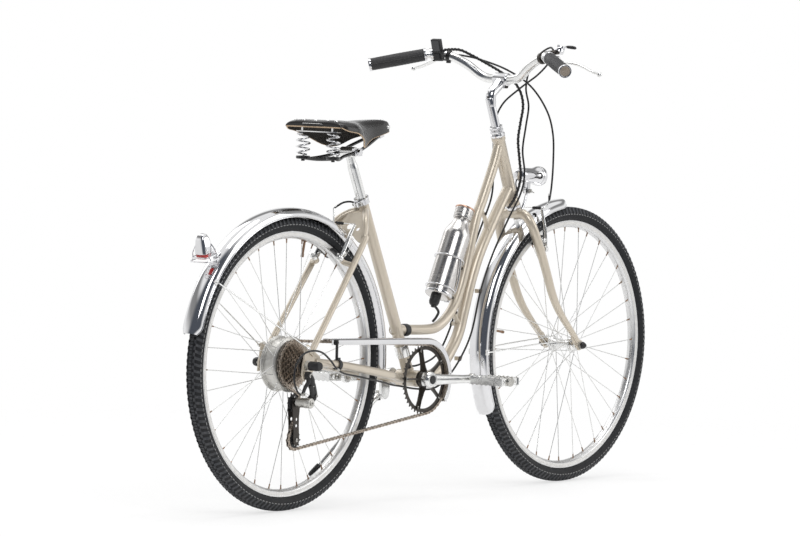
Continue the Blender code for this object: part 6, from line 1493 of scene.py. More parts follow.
def make_saddle_cover():
    """The leather from tail to nose, its raw back, its tan cut edge and its rivets."""
    rows = 72
    outer, inner, edge = bmesh.new(), bmesh.new(), []
    top_rings, back_rings = [], []
    for r in range(rows + 1):
        x, half, skirt, crown = saddle_row(r / rows)
        arc = saddle_arc(half, skirt, crown)
        top_rings.append([outer.verts.new((x, y, z)) for y, z in arc])
        low = saddle_arc(half, skirt, crown, min(0.004, half * 0.3))
        back_rings.append([outer.verts.new((x, y, z)) for y, z in low])
        edge.append((x, half, skirt))
        under = saddle_arc(half, skirt, crown, min(0.0042, half * 0.31))
        inner_ring = [inner.verts.new((x, y, z - 0.0002)) for y, z in under]
        if r:
            for i in range(len(arc) - 1):
                inner.faces.new((previous[i], previous[i + 1], inner_ring[i + 1], inner_ring[i]))
        previous = inner_ring
    count = len(top_rings[0])
    for one, two, low_one, low_two in zip(top_rings, top_rings[1:], back_rings, back_rings[1:]):
        for i in range(count - 1):
            outer.faces.new((one[i], one[i + 1], two[i + 1], two[i]))
            outer.faces.new((low_one[i], low_two[i], low_two[i + 1], low_one[i + 1]))
        for i in (0, count - 1):
            outer.faces.new((one[i], two[i], low_two[i], low_one[i]))
    x, half, skirt, crown = saddle_row(0)
    tail_arc = saddle_arc(half, skirt, crown)
    walls = []
    for behind, share in ((0.0, 1.0), (0.003, 0.9), (0.0052, 0.68), (0.0062, 0.38), (0.0064, 0.02)):
        walls.append([(x - behind, y * (1 - behind * 0.5), skirt + (z - skirt) * share) for y, z in tail_arc])
    shell = [top_rings[0]] + [[outer.verts.new(p) for p in wall] for wall in walls[1:]]
    lining = [back_rings[0]] + [[outer.verts.new((px + 0.0028, py * 0.985, pz)) for px, py, pz in wall]
        for wall in walls[1:]]
    for first, second, third, fourth in zip(shell, shell[1:], lining, lining[1:]):
        for i in range(count - 1):
            outer.faces.new((first[i], second[i], second[i + 1], first[i + 1]))
            outer.faces.new((third[i], third[i + 1], fourth[i + 1], fourth[i]))
    for i in range(count - 1):
        outer.faces.new((shell[-1][i], lining[-1][i], lining[-1][i + 1], shell[-1][i + 1]))
        outer.faces.new((top_rings[-1][i], top_rings[-1][i + 1], back_rings[-1][i + 1], back_rings[-1][i]))
    piece("saddle_leather", outer, saddle_leather, "saddle", ["saddle_top"], bevel=0.0006, angle=50)
    bm = bmesh.new()
    for side in (-1, 1):
        path = [Vector((x, side * (half - 0.0016), skirt - 0.0002)) for x, half, skirt in edge]
        tube(bm, path, 0.0019, 10, flat=0.55)
    tail = [Vector((px + 0.0012, py * 0.992, pz - 0.0006)) for px, py, pz in walls[-1]]
    tube(bm, tail, 0.0019, 10, flat=0.8)
    piece("saddle_cut_edge", bm, leather_edge, "saddle", bevel=0)
    for vertex in inner.verts:
        vertex.co.z -= 0.0002
    piece("saddle_raw_back", inner, leather_back, "saddle", bevel=0)
    bm = bmesh.new()
    for y in (-0.062, -0.036, 0, 0.036, 0.062):
        x, half, skirt, crown = saddle_row(0.075)
        height = max(z for a, z in saddle_arc(half, skirt, crown) if abs(a - y) < 0.012)
        rivet(bm, Vector((x, y, height - 0.0006)), Vector((-0.15, y * 3, 1)), 0.0046)
    for side in (-1, 1):
        for share in (0.8, 0.885):
            x, half, skirt, crown = saddle_row(share)
            rivet(bm, Vector((x, side * (half - 0.0008), skirt + (crown - skirt) * 0.42)), SIDE * side, 0.004)
    rivet(bm, Vector((0.356, 0, 0.9292)), UP, 0.0042)
    piece("saddle_rivets", bm, polished_alloy, "saddle", bevel=0)
    bm = bmesh.new()
    sheet_plate(bm, mm([(-62, -10), (-54, -13), (54, -13), (62, -10), (62, 8), (50, 11), (-50, 11),
        (-62, 8)]), 0.0028, basis((SPRING_X, 0, SPRING_CREST + 0.004), SIDE, UP),
        mm([(-20, 0, 4), (20, 0, 4)]))
    for side in (-1, 1):
        block(bm, (SPRING_X, side * SPRING_Y, 0.915), (0.01, 0.006, 0.0225))
    sheet_plate(bm, mm([(-26, -7), (26, -7), (30, 0), (26, 7), (-26, 7), (-30, 0)]), 0.0012,
        basis((0.0886, 0, 0.9215), SIDE, (0.2, 0, 1)))
    piece("saddle_plate", bm, polished_alloy, "saddle", bevel=0.0005)


def make_saddle_springs():
    """The two chromed coil springs."""
    for side, name in ((-1, "right"), (1, "left")):
        bm = bmesh.new()
        path = []
        for i in range(109):
            share = i / 108
            a = 2 * math.pi * 3.6 * share
            r = 0.015 * (1 - 0.07 * math.cos(2 * math.pi * share))
            path.append(Vector((SPRING_X + r * math.cos(a), side * (SPRING_Y + r * math.sin(a)),
                SPRING_FOOT + (SPRING_CREST - SPRING_FOOT) * share)))
        tube(bm, path, 0.0021, 14)
        thing = piece("spring_" + name, bm, bright_chrome, None, ["saddle_spring_" + name], bevel=0)
        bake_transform(thing)


def make_saddle_rails():
    """The black rails with their spring cups, and the chromed clamp and nose hardware."""
    bm = bmesh.new()
    for side in (-1, 1):
        path = [(0.111, side * 0.046, 0.842), (0.135, side * 0.044, 0.837), (0.18, side * 0.0262, 0.844),
            (0.23, side * 0.0262, 0.854), (0.27, side * 0.024, 0.868), (0.315, side * 0.015, 0.884),
            (0.342, side * 0.005, 0.89)]
        tube(bm, path, 0.004, 18, smooth=8)
        turned(bm, mm([(15, -7.5), (16.8, -6), (17, -1.2), (16, 0), (8, 0), (7.6, -1)]),
            (SPRING_X, side * SPRING_Y, 0.8439), UP, 36)
        rod(bm, (SPRING_X, side * SPRING_Y, 0.8385), (SPRING_X, side * SPRING_Y, 0.8364 - 0.005), 0.0045, 16)
    tube(bm, [(SPRING_X, -SPRING_Y, 0.839), (SPRING_X - 0.003, 0, 0.837), (SPRING_X, SPRING_Y, 0.839)],
        0.0045, 18, smooth=8)
    piece("saddle_rails", bm, black_frame_steel, "saddle_base", ["saddle_frame"], bevel=0.0003)
    bm = bmesh.new()
    head = seat(0.853)
    for side in (-1, 1):
        block(bm, head + SIDE * side * 0.0261, (0.028, 0.0104, 0.018))
        turned(bm, [(0.0098, 0.031), (0.0098, 0.033)], head, SIDE * side, 28)
        hexagon(bm, head, SIDE * side, 0.0078, 0.033, 0.0388)
    block(bm, (NOSE.x, 0, 0.8905), (0.016, 0.026, 0.008), (0.95, 0, 0.3), (-0.3, 0, 0.95))
    block(bm, (NOSE.x, 0, 0.905), (0.012, 0.012, 0.03))
    hexagon(bm, Vector((NOSE.x + 0.006, 0, 0.901)), Vector((1, 0, 0)), 0.005, 0, 0.0044)
    piece("saddle_clamp", bm, bright_chrome, "saddle_base", bevel=0.0008)


def make_seatpost():
    """The pale polished seatpost and its head."""
    bm = bmesh.new()
    top = seat(0.741)
    turned(bm, mm([(12.7, -135), (12.7, 80), (12.2, 85), (10.8, 93), (10.5, 96), (10.5, 122)]), top,
        SEAT_UP, 40)
    turned(bm, mm([(11.5, -20.3), (12.5, -19.3), (12.5, 19.3), (11.5, 20.3)]), seat(0.853), SIDE, 36)
    piece("seatpost_tube", bm, polished_alloy, "saddle_base", ["seatpost"], bevel=0.0002)


# Drive

PITCH = 0.0127
RING_TEETH = 42
COG_TEETH = (28, 24, 22, 20, 18, 16, 14)
PULLEY_TEETH = 11
RING_Y = -0.045
COG_Y = -0.03
COG_SPACING = 0.0047
GUIDE = Vector((0.001, COG_Y, 0.262))
TENSION = Vector((0.003704, COG_Y, 0.170952))
LINKS = 126
CRANK_LENGTH = 0.17
PEDAL_IN = 0.084
PEDAL_OUT = 0.186
SPIDER_ANGLE = 33


def pitch_radius(teeth):
    """The radius on which a sprocket's chain pins lie."""
    return PITCH / (2 * math.sin(math.pi / teeth))


def straight_run(one, two):
    """The chain's straight run from one disc to the next, each as x, z, radius and way round."""
    d = Vector((two[0] - one[0], two[1] - one[1]))
    angle = math.atan2(d.y, d.x) - math.asin((two[3] * two[2] - one[3] * one[2]) / d.length)
    normal = Vector((-math.sin(angle), math.cos(angle)))
    return Vector(one[:2]) - normal * (one[3] * one[2]), Vector(two[:2]) - normal * (two[3] * two[2])


def chain_pins():
    """The chain's pins, and for each toothed disc the angle of one pin that lies on it."""
    discs = [(BRACKET.x, BRACKET.z, pitch_radius(RING_TEETH), 1, RING_Y, RING_TEETH),
        (REAR.x, REAR.z, pitch_radius(COG_TEETH[0]), 1, COG_Y, COG_TEETH[0]),
        (GUIDE.x, GUIDE.z, pitch_radius(PULLEY_TEETH), -1, COG_Y, PULLEY_TEETH),
        (TENSION.x, TENSION.z, pitch_radius(PULLEY_TEETH), 1, COG_Y, PULLEY_TEETH)]
    runs = [straight_run(discs[i], discs[(i + 1) % 4]) for i in range(4)]
    pins, phases = [], {}
    place, k = 0.0, 0
    for i in range(4):
        start, end = runs[i]
        disc_here, leave = discs[(i + 1) % 4], runs[(i + 1) % 4][0]
        long = (end - start).length / PITCH
        while k < LINKS and k <= place + long + 1e-9:
            share = (k - place) / long
            point = start.lerp(end, share)
            pins.append(Vector((point.x, discs[i][4] + (disc_here[4] - discs[i][4]) * share, point.y)))
            k += 1
        place += long
        centre = Vector(disc_here[:2])
        first = math.atan2(*(end - centre).yx)
        last = math.atan2(*(leave - centre).yx)
        swept = (disc_here[3] * (last - first)) % (2 * math.pi)
        long = swept * disc_here[5] / (2 * math.pi)
        while k < LINKS and k <= place + long + 1e-9:
            a = first + disc_here[3] * swept * (k - place) / long
            pins.append(Vector((centre.x + disc_here[2] * math.cos(a), disc_here[4],
                centre.y + disc_here[2] * math.sin(a))))
            phases.setdefault(i, a)
            k += 1
        place += long
    return pins, phases


PINS, PHASES = chain_pins()


def link_plate(bm, point, after, offset, waist):
    """One side plate of a link: two round ends and a waist between them."""
    way = (after - point).normalized()
    turn = Matrix((way, way.cross(SIDE).normalized() * -1, SIDE)).transposed().to_4x4()
    place = Matrix.Translation(point + SIDE * offset) @ turn
    long = (after - point).length
    outline = []
    for middle, first, waist_side in ((0, 60, -1), (long, -120, 1)):
        for k in range(7):
            a = math.radians(first + 40 * k)
            outline.append((middle + 0.0038 * math.cos(a), 0.0038 * math.sin(a)))
        outline.append((long / 2, waist_side * waist))
    rings = []
    for level in (-0.00045, 0.00045):
        rings.append([bm.verts.new(place @ Vector((x, y, level))) for x, y in outline])
    skin(bm, rings)


def make_chain():
    """The real chain: side plates in pairs, pins and rollers."""
    plates, pins = bmesh.new(), bmesh.new()
    for k in range(LINKS):
        point, after = PINS[k], PINS[(k + 1) % LINKS]
        wide = 0.0021 if k % 2 else 0.0031
        for side in (-1, 1):
            link_plate(plates, point, after, side * wide, 0.0026)
        rod(pins, point - SIDE * 0.0039, point + SIDE * 0.0039, 0.0018, 10)
        rod(pins, point - SIDE * 0.0013, point + SIDE * 0.0013, 0.0036, 12)
    piece("chain_plates", plates, chain_steel, "frame", ["chain"], bevel=0)
    piece("chain_pins", pins, dark_steel, "frame", bevel=0)


def sprocket(bm, teeth, phase, centre, thick, holes=()):
    """A toothed disc whose gaps stand under the chain's pins."""
    pitch = pitch_radius(teeth)
    root = pitch - 0.004
    tip = pitch + 0.0021
    step = 2 * math.pi / teeth
    outline = []
    for i in range(teeth):
        a = phase + i * step
        for share, radius in ((-0.26, root + 0.0008), (0, root), (0.26, root + 0.0008),
                (0.42, tip - 0.0006), (0.5, tip), (0.58, tip - 0.0006)):
            outline.append((radius * math.cos(a + step * share), radius * math.sin(a + step * share)))
    sheet_plate(bm, outline, thick, Matrix.Translation(Vector(centre)) @ upright(0), holes)


def make_chainring():
    """The dark chainring: its toothed rim, its five arms with their bolts, and the spindle."""
    bm = bmesh.new()
    pitch = pitch_radius(RING_TEETH)
    step = 2 * math.pi / RING_TEETH
    rings = []
    for level in (-0.00095, 0.00095):
        outer, inner = [], []
        for i in range(RING_TEETH):
            a = PHASES[3] + i * step
            for share, radius in ((-0.26, pitch - 0.0032), (0, pitch - 0.004), (0.26, pitch - 0.0032),
                    (0.45, pitch + 0.0019), (0.55, pitch + 0.0019)):
                turn = a + step * share
                outer.append(bm.verts.new(BRACKET + SIDE * (RING_Y + level)
                    + Vector((radius * math.cos(turn), 0, radius * math.sin(turn)))))
                inner.append(bm.verts.new(BRACKET + SIDE * (RING_Y + level)
                    + Vector((0.0722 * math.cos(turn), 0, 0.0722 * math.sin(turn)))))
        rings.append((outer, inner))
    (low_out, low_in), (high_out, high_in) = rings
    for i in range(len(low_out)):
        j = (i + 1) % len(low_out)
        bm.faces.new((low_out[i], low_out[j], high_out[j], high_out[i]))
        bm.faces.new((low_in[i], high_in[i], high_in[j], low_in[j]))
        bm.faces.new((low_out[i], low_in[i], low_in[j], low_out[j]))
        bm.faces.new((high_out[i], high_out[j], high_in[j], high_in[i]))
    for k in range(5):
        a = math.radians(SPIDER_ANGLE + 72 * k)
        way = Vector((math.cos(a), 0, math.sin(a)))
        start = BRACKET + SIDE * (RING_Y - 0.0024)
        tube(bm, [start + way * 0.017, start + way * 0.034, start + way * 0.056, start + way * 0.0735,
            start + way * 0.077], mm([12.5, 8.6, 7.2, 8.2, 5.2]), 16, flat=[0.22, 0.26, 0.28, 0.26, 0.24],
            smooth=4)
    turned(bm, mm([(9.6, -3), (21.5, -3), (21.5, 6.2), (20.5, 7), (9.6, 7)]), BRACKET + SIDE * RING_Y,
        -SIDE, 44, ring=True)
    piece("chainring_plate", bm, dark_steel, "cranks", ["chainring"], bevel=0.0003)
    bm = bmesh.new()
    for k in range(5):
        at = BRACKET + SIDE * (RING_Y - 0.0044) + polar((0, 0, 0), 0.073, SPIDER_ANGLE + 72 * k)
        socket_bolt(bm, at, -SIDE, 0.0042, 0.0022)
    rod(bm, BRACKET - SIDE * 0.052, BRACKET + SIDE * 0.052, 0.0084, 24)
    piece("chainring_bolts", bm, axle_steel, "cranks", ["crank_spindle"], bevel=0.0002)


def crank_way(side):
    """The direction of a crank arm. side is -1 on the right, which points forward."""
    tilt = math.radians(-2)
    return Vector((math.cos(tilt), 0, math.sin(tilt))) * -side


def make_cranks():
    """The bright tapered crank arms with their dark bolt caps."""
    for name, side in (("right", -1), ("left", 1)):
        out = SIDE * side
        way = crank_way(side)
        eye = BRACKET + way * CRANK_LENGTH
        bm = bmesh.new()
        turned(bm, mm([(21.5, 52.5), (22.5, 53.5), (21.5, 62), (19, 70), (17, 72)]), BRACKET, out, 44)
        tube(bm, [BRACKET + way * 0.004 + out * 0.064, BRACKET + way * 0.03 + out * 0.0645,
            BRACKET + way * 0.08 + out * 0.065, BRACKET + way * 0.13 + out * 0.065, eye + out * 0.065],
            mm([6.4, 6, 5.6, 5.4, 5.6]), 24, flat=[2.5, 2.3, 2.05, 1.9, 1.95], smooth=6)
        turned(bm, mm([(12.5, 58.8), (13.5, 59.8), (13.5, 70), (12.5, 71)]), eye, out, 40)
        piece("crank_" + name + "_arm", bm, polished_alloy, "cranks", ["crank_" + name])
        bm = bmesh.new()
        turned(bm, mm([(10.8, 71.2), (10.8, 73), (9.6, 74.2), (0, 74.6)]), BRACKET, out, 36)
        piece("crank_" + name + "_cap", bm, black_plastic, "cranks", bevel=0.0002)
        bm = bmesh.new()
        rod(bm, eye + out * 0.066, eye + out * (PEDAL_OUT - 0.011), 0.005, 20)
        hexagon(bm, eye, out, 0.0086, 0.0712, 0.08)
        turned(bm, [(0.006, 0.0574), (0.006, 0.059)], eye, out, 24)
        piece("crank_" + name + "_spindle", bm, axle_steel, "cranks", bevel=0.0003)


def make_pedals():
    """The cage pedals: barrel, end plates, toothed rails and end cap."""
    for name, side in (("right", -1), ("left", 1)):
        out = SIDE * side
        eye = BRACKET + crank_way(side) * CRANK_LENGTH
        start = eye + out * PEDAL_IN
        long = PEDAL_OUT - PEDAL_IN
        bm = bmesh.new()
        turned(bm, [(0.0062, 0), (0.01, 0), (0.01, 0.006), (0.0085, 0.0085), (0.0082, long * 0.5),
            (0.0085, long - 0.01), (0.0095, long - 0.007), (0.0062, long - 0.007)], start, out, 32,
            ring=True)
        for at, wide in ((0.004, 0.072), (long - 0.008, 0.072)):
            outline = [(-wide / 2, -0.006), (-wide / 2 + 0.006, -0.009), (-0.014, -0.009), (-0.01, -0.0105),
                (0.01, -0.0105), (0.014, -0.009), (wide / 2 - 0.006, -0.009), (wide / 2, -0.006),
                (wide / 2, 0.006), (wide / 2 - 0.006, 0.009), (0.014, 0.009), (0.01, 0.0105),
                (-0.01, 0.0105), (-0.014, 0.009), (-wide / 2 + 0.006, 0.009), (-wide / 2, 0.006)]
            place = Matrix.Translation(start + out * at) @ upright(0)
            sheet_plate(bm, outline, 0.0042, place, mm([(-22, 0, 5), (22, 0, 5)]))
        for x in (-0.035, 0.035):
            teeth = []
            count = 14
            for k in range(count + 1):
                at = 0.003 + (long - 0.006) * k / count
                teeth.append((at, 0.0112 if k % 2 else 0.0086))
            outline = teeth + [(at, -rise) for at, rise in reversed(teeth)]
            place = Matrix.Translation(start + Vector((x, 0, 0))) @ basis((0, 0, 0), out, Vector((1, 0, 0)))
            sheet_plate(bm, outline, 0.003, place)
        piece("pedal_" + name + "_cage", bm, polished_alloy, name + "_pedal", ["pedal_" + name])
        bm = bmesh.new()
        turned(bm, [(0.0112, long - 0.0065), (0.012, long - 0.005), (0.012, long - 0.0012), (0.0106, long)],
            start, out, 32)
        piece("pedal_" + name + "_cap", bm, axle_steel, name + "_pedal", bevel=0.0003)


def make_cassette():
    """The seven brown cogs and their spacers."""
    bm, dark = bmesh.new(), bmesh.new()
    for k, teeth in enumerate(COG_TEETH):
        centre = REAR + SIDE * (COG_Y - k * COG_SPACING)
        holes = [(0, 0, 0.0195)]
        if k < 4:
            radius = (pitch_radius(teeth) + 0.0195) / 2
            holes += [(radius * math.cos(math.radians(72 * h + 11 * k)),
                radius * math.sin(math.radians(72 * h + 11 * k)), (pitch_radius(teeth) - 0.0195) * 0.22)
                for h in range(5)]
        sprocket(bm, teeth, PHASES[0] + 0.03 * k, centre, 0.0019, holes)
    piece("cassette_cogs", bm, chain_steel, "sprockets", ["freewheel"], bevel=0.0001)
    low = COG_Y - 6 * COG_SPACING - 0.003
    turned(dark, [(0.0074, 0), (0.018, 0), (0.021, 0.003), (0.021, COG_Y + 0.004 - low),
        (0.0074, COG_Y + 0.004 - low)], REAR + SIDE * low, SIDE, 40, ring=True)
    for k in range(12):
        turn = 30 * k
        block(dark, polar(REAR, 0.015, turn, low - 0.0002), (0.004, 0.0016, 0.002),
            polar((0, 0, 0), 1, turn), SIDE.cross(polar((0, 0, 0), 1, turn)))
    piece("cassette_core", dark, dark_steel, "sprockets", bevel=0.0002)


def make_derailleur():
    """The derailleur: hanger bolt, knuckles, links, drum, long cage and the two pulleys."""
    bolt_at = Vector((-0.005, -0.0718, 0.328))
    bm = bmesh.new()
    turned(bm, mm([(9.2, 0), (9.5, 0.6), (9.5, 11.2), (8.8, 12.6), (0, 13)]), bolt_at, -SIDE, 32)
    tube(bm, [bolt_at - SIDE * 0.0075, (-0.001, -0.0815, 0.317), (0.003, -0.082, 0.304)],
        [0.0088, 0.0096, 0.0082], 22, flat=1.1, smooth=5)
    for shift in (-0.0046, 0.0046):
        tube(bm, [(0.001 + shift, -0.0836, 0.306), (0.007 + shift, -0.0826, 0.295),
            (0.015 + shift, -0.079, 0.279)], [0.0056, 0.005, 0.0056], 18, flat=1.4, smooth=5)
    tube(bm, mm([(18, -78, 282), (16, -74, 274), (7, -72, 265)]), [0.0084, 0.01, 0.0096], 22, smooth=5)
    tube(bm, [bolt_at + Vector((-0.002, -0.008, -0.004)), (-0.012, -0.0835, 0.313),
        (-0.023, -0.0838, 0.302), (-0.035, -0.085, 0.285)], [0.0066, 0.0058, 0.005, 0.0044], 18, flat=0.8,
        smooth=5)
    piece("derailleur_knuckles", bm, black_plastic, "derailleur", ["derailleur_body"], bevel=0.0005)
    bm = bmesh.new()
    axis = Vector((GUIDE.x, 0, GUIDE.z))
    turned(bm, mm([(11.2, 42), (11.8, 44), (11.8, 66), (12.5, 67.2), (12.5, 82.2), (11.6, 84)]), axis,
        -SIDE, 44)
    piece("derailleur_drum", bm, drum_alloy, "derailleur", bevel=0.0003)
    bm = bmesh.new()
    socket_bolt(bm, bolt_at - SIDE * 0.0128, -SIDE, 0.0066, 0.0034)
    socket_bolt(bm, axis - SIDE * 0.0838, -SIDE, 0.006, 0.0026)
    socket_bolt(bm, Vector((-0.035, -0.088, 0.285)), -SIDE, 0.004, 0.003)
    for x, z in ((0.002, 0.305), (0.016, 0.279)):
        socket_bolt(bm, Vector((x, -0.0868, z)), -SIDE, 0.0034, 0.0024)
    rod(bm, (-0.035, -0.081, 0.285), (-0.035, -0.0885, 0.285), 0.0036, 14)
    piece("derailleur_bolts", bm, axle_steel, "derailleur", bevel=0.0002)

    along = (TENSION - GUIDE).normalized()
    span = (TENSION - GUIDE).length
    half = [(0.0, -0.013), (0.0066, -0.0112), (0.0115, -0.007), (0.0135, 0.002), (0.0132, 0.014),
        (0.01, span * 0.4), (0.0094, span * 0.62), (0.011, span - 0.004), (0.01, span + 0.006),
        (0.005, span + 0.0115), (0.0, span + 0.013)]
    rest = [(-0.006, span + 0.011), (-0.0105, span + 0.005), (-0.0115, span - 0.006),
        (-0.0105, span * 0.62), (-0.0115, span * 0.4), (-0.0135, 0.014), (-0.0135, 0.002),
        (-0.0115, -0.007), (-0.0066, -0.0112)]
    bm = bmesh.new()
    across = along.cross(SIDE)
    for y in (-0.0375, -0.0225):
        place = basis(GUIDE + SIDE * (y - GUIDE.y), across, across.cross(along))
        if (place.to_3x3() @ Vector((0, 1, 0))).dot(along) < 0:
            raise ValueError("the cage plate points the wrong way")
        sheet_plate(bm, half + rest, 0.0018, place, [(0.0, span * 0.45, 0.0042), (0.0, span * 0.62, 0.0036)])
    piece("derailleur_cage_plates", bm, dark_steel, "cage", ["derailleur_cage"])
    bm = bmesh.new()
    for centre in (GUIDE, TENSION):
        rod(bm, centre - SIDE * 0.0078, centre + SIDE * 0.0078, 0.0025, 14)
        socket_bolt(bm, centre - SIDE * 0.0084, -SIDE, 0.0046, 0.002)
    piece("derailleur_cage_bolts", bm, axle_steel, "cage", bevel=0.0002)
    for name, centre, phase, body in (("guide_pulley", GUIDE, PHASES[1], "upper_pulley"),
            ("tension_pulley", TENSION, PHASES[2], "lower_pulley")):
        bm = bmesh.new()
        holes = [(0, 0, 0.0033)] + [(0.0118 * math.cos(math.radians(a)), 0.0118 * math.sin(math.radians(a)),
            0.0026) for a in range(0, 360, 72)]
        sprocket(bm, PULLEY_TEETH, phase, centre, 0.0024, holes)
        collar(bm, centre, SIDE, 0.0032, 0.007, -0.003, 0.003, 28)
        piece(name + "_wheel", bm, black_plastic, body, [name], bevel=0.0002)


def make_stand():
    """The bent alloy stand with its pivot bolt and its rubber foot."""
    bend = Vector((0.319, 0.044, 0.178))
    foot = Vector((0.2434, 0.1086, 0.0583))
    down = (foot - bend).normalized()
    bm = bmesh.new()
    turned(bm, mm([(9, -8), (9.5, -7.4), (9.5, 7.4), (9, 8)]), STAND_PIVOT, SIDE, 36)
    tube(bm, [STAND_PIVOT, STAND_PIVOT.lerp(bend, 0.7), bend, bend.lerp(foot, 0.3), foot - down * 0.028],
        mm([7.6, 6.6, 6.6, 6.4, 6.2]), 22, smooth=8)
    piece("stand_leg", bm, polished_alloy, "stand", ["kickstand"])
    bm = bmesh.new()
    tube(bm, [foot - down * 0.036, foot - down * 0.034, foot - down * 0.008, foot - down * 0.002, foot],
        mm([7.4, 8.2, 9.4, 8.8, 6.8]), 24)
    for k in range(4):
        at = foot - down * (0.01 + 0.006 * k)
        collar(bm, at, down, 0.0074, 0.0098 - 0.0003 * k, -0.0009, 0.0009, 28)
    piece("stand_foot", bm, cable_rubber, "stand")
    bm = bmesh.new()
    socket_bolt(bm, STAND_PIVOT + SIDE * 0.0078, SIDE, 0.006, 0.0034)
    block(bm, STAND_PIVOT + Vector((-0.006, -0.002, -0.012)), (0.012, 0.008, 0.005))
    piece("stand_bolt", bm, dark_steel, "stand")


# Battery and cables

BOTTLE_LOW = Vector((0.5985, 0, 0.492))
BOTTLE_HIGH = Vector((0.7035, 0, 0.7085))
BOTTLE_UP = (BOTTLE_HIGH - BOTTLE_LOW).normalized()
BOTTLE_FRONT = SIDE.cross(BOTTLE_UP).normalized()


def make_bottle():
    """The brushed steel bottle, its copper cap and threaded neck."""
    long = (BOTTLE_HIGH - BOTTLE_LOW).length
    bm = bmesh.new()
    body = mm([(0, 0), (30.5, 0), (33, 0.8), (34.3, 2.6), (34.5, 5), (34.5, 160), (34.1, 165), (33, 170.5),
        (31, 176.5), (28, 183), (25, 189), (22.6, 194.5), (21.2, 199), (20.6, 202), (0, 202)])
    turned(bm, body, BOTTLE_LOW, BOTTLE_UP, 64)
    neck = [(0.019, 0.2015)]
    for k in range(4):
        low = 0.2022 + k * 0.0015
        neck += [(0.019, low), (0.0198, low + 0.0004), (0.0198, low + 0.0009), (0.019, low + 0.0013)]
    turned(bm, [(0, 0.2015)] + neck + [(0, 0.2081)], BOTTLE_LOW, BOTTLE_UP, 48)
    piece("bottle_body", bm, bottle_metal, "battery", ["battery_case"], bevel=0.0002)
    bm = bmesh.new()
    turned(bm, mm([(21.5, 208.4), (22.6, 209.2), (23.2, 211), (23.2, 214), (22.4, 215), (22.4, 217),
        (23.4, 218), (23.4, 223), (22.6, 224), (22.6, 226.2), (23.6, 227.2), (23.8, 233), (23.4, 234.5)]),
        BOTTLE_LOW, BOTTLE_UP, 56)
    piece("bottle_cap", bm, bottle_metal, "battery", ["battery_cap"], bevel=0.0003)
    bm = bmesh.new()
    turned(bm, [(0.024, 0.2347), (0.0248, 0.2356), (0.0248, 0.2376), (0.024, 0.2388),
        (0.0222, long - 0.001), (0.012, long)], BOTTLE_LOW, BOTTLE_UP, 56)
    piece("bottle_rim", bm, copper_cap, "battery", bevel=0.0003)
    bm = bmesh.new()
    turned(bm, mm([(31.7, -0.1), (32.2, 0.6), (34.7, 3), (34.9, 5), (34.9, 7.4), (34.6, 8), (34, 5)]),
        BOTTLE_LOW, BOTTLE_UP, 64, ring=True)
    piece("bottle_foot", bm, bright_chrome, "battery", bevel=0.0002)


def round_bottle(height, radius, turn, side=1):
    """A point beside the bottle, the angle counted from its front."""
    return BOTTLE_LOW + BOTTLE_UP * height + (SIDE * side * math.sin(turn) + BOTTLE_FRONT
        * math.cos(turn)) * radius


def make_bottle_cage():
    """The chromed wire cage that holds the bottle, and its rail with two bolts."""
    bm = bmesh.new()
    for height in (0.02, 0.1):
        tube(bm, [round_bottle(height, 0.0376, 2 * math.pi * k / 60) for k in range(61)], 0.0017, 12)
    for side in (-1, 1):
        wire = [round_bottle(0.02 + 0.016 * k, 0.0379, math.radians(48 + 10 * k), side) for k in range(6)]
        tube(bm, wire, 0.0018, 12, smooth=4)
    block(bm, BOTTLE_LOW + BOTTLE_UP * 0.06 + BOTTLE_FRONT * 0.0394, (0.0036, 0.014, 0.12), BOTTLE_FRONT,
        BOTTLE_UP)
    for height in (0.02, 0.1):
        socket_bolt(bm, round_bottle(height, 0.0378, 0), -BOTTLE_FRONT, 0.0042, 0.0016)
    piece("bottle_cage", bm, bright_chrome, "frame", ["battery_cage"])


def make_bottle_lead():
    """The black plug under the bottle, its collar and its cord to the frame."""
    bm = bmesh.new()
    low = BOTTLE_LOW - BOTTLE_FRONT * 0.008
    turned(bm, mm([(13, -0.4), (13, -9), (12.2, -9.6), (12.2, -11.2), (13, -11.8), (13, -19.5), (11.2, -25),
        (8.5, -28), (6.2, -29)]), low, BOTTLE_UP, 36)
    piece("bottle_plug", bm, black_plastic, "frame", ["battery_lead"], bevel=0.0003)
    bm = bmesh.new()
    tube(bm, [low - BOTTLE_UP * 0.026, (0.601, 0, 0.454), (0.593, 0, 0.44), (0.5795, 0, 0.4298)], 0.0032,
        18, smooth=8)
    collar(bm, low - BOTTLE_UP * 0.03, BOTTLE_UP, 0.003, 0.0048, -0.003, 0.003, 20)
    piece("bottle_cord", bm, cable_rubber, "frame", bevel=0.0002)


HARNESS = mm([(768, 132.4, 1096), (768, 126, 1096), (770, 120, 1098), (810, 110, 1098), (835, 90, 1085),
    (862, 60, 1064), (872, 25, 1045), (880, -6, 1025), (895, -20, 996), (905, -22, 960), (896, -22, 920),
    (888, -21.5, 875), (896, -21.5, 825), (903, -21, 780), (885, -20.5, 735), (856, -19.5, 705)])
FRONT_CABLE = mm([(890, 108, 1075), (930, 50, 1050), (965, 0, 1010), (995, -30, 950), (1008, -42, 890),
    (1008, -45, 820), (1002, -46, 760), (994, -46, 724)])
REAR_CABLE = mm([(890, -108, 1070), (905, -65, 1040), (900, -15, 1005), (883, 25, 965), (860, 33, 915),
    (853, 29, 855), (848, 24, 790), (838, 21, 730), (795, 19.5, 656), (750, 19, 580), (715, 19, 506),
    (682, 19, 420), (630, 20, 348), (560, 22, 323), (505, 22, 328), (456, 21, 390), (408, 19, 490),
    (356, 19, 600), (318, 20.5, 680), (292, 23.5, 724), (258, 30, 730), (228, 40, 716)])
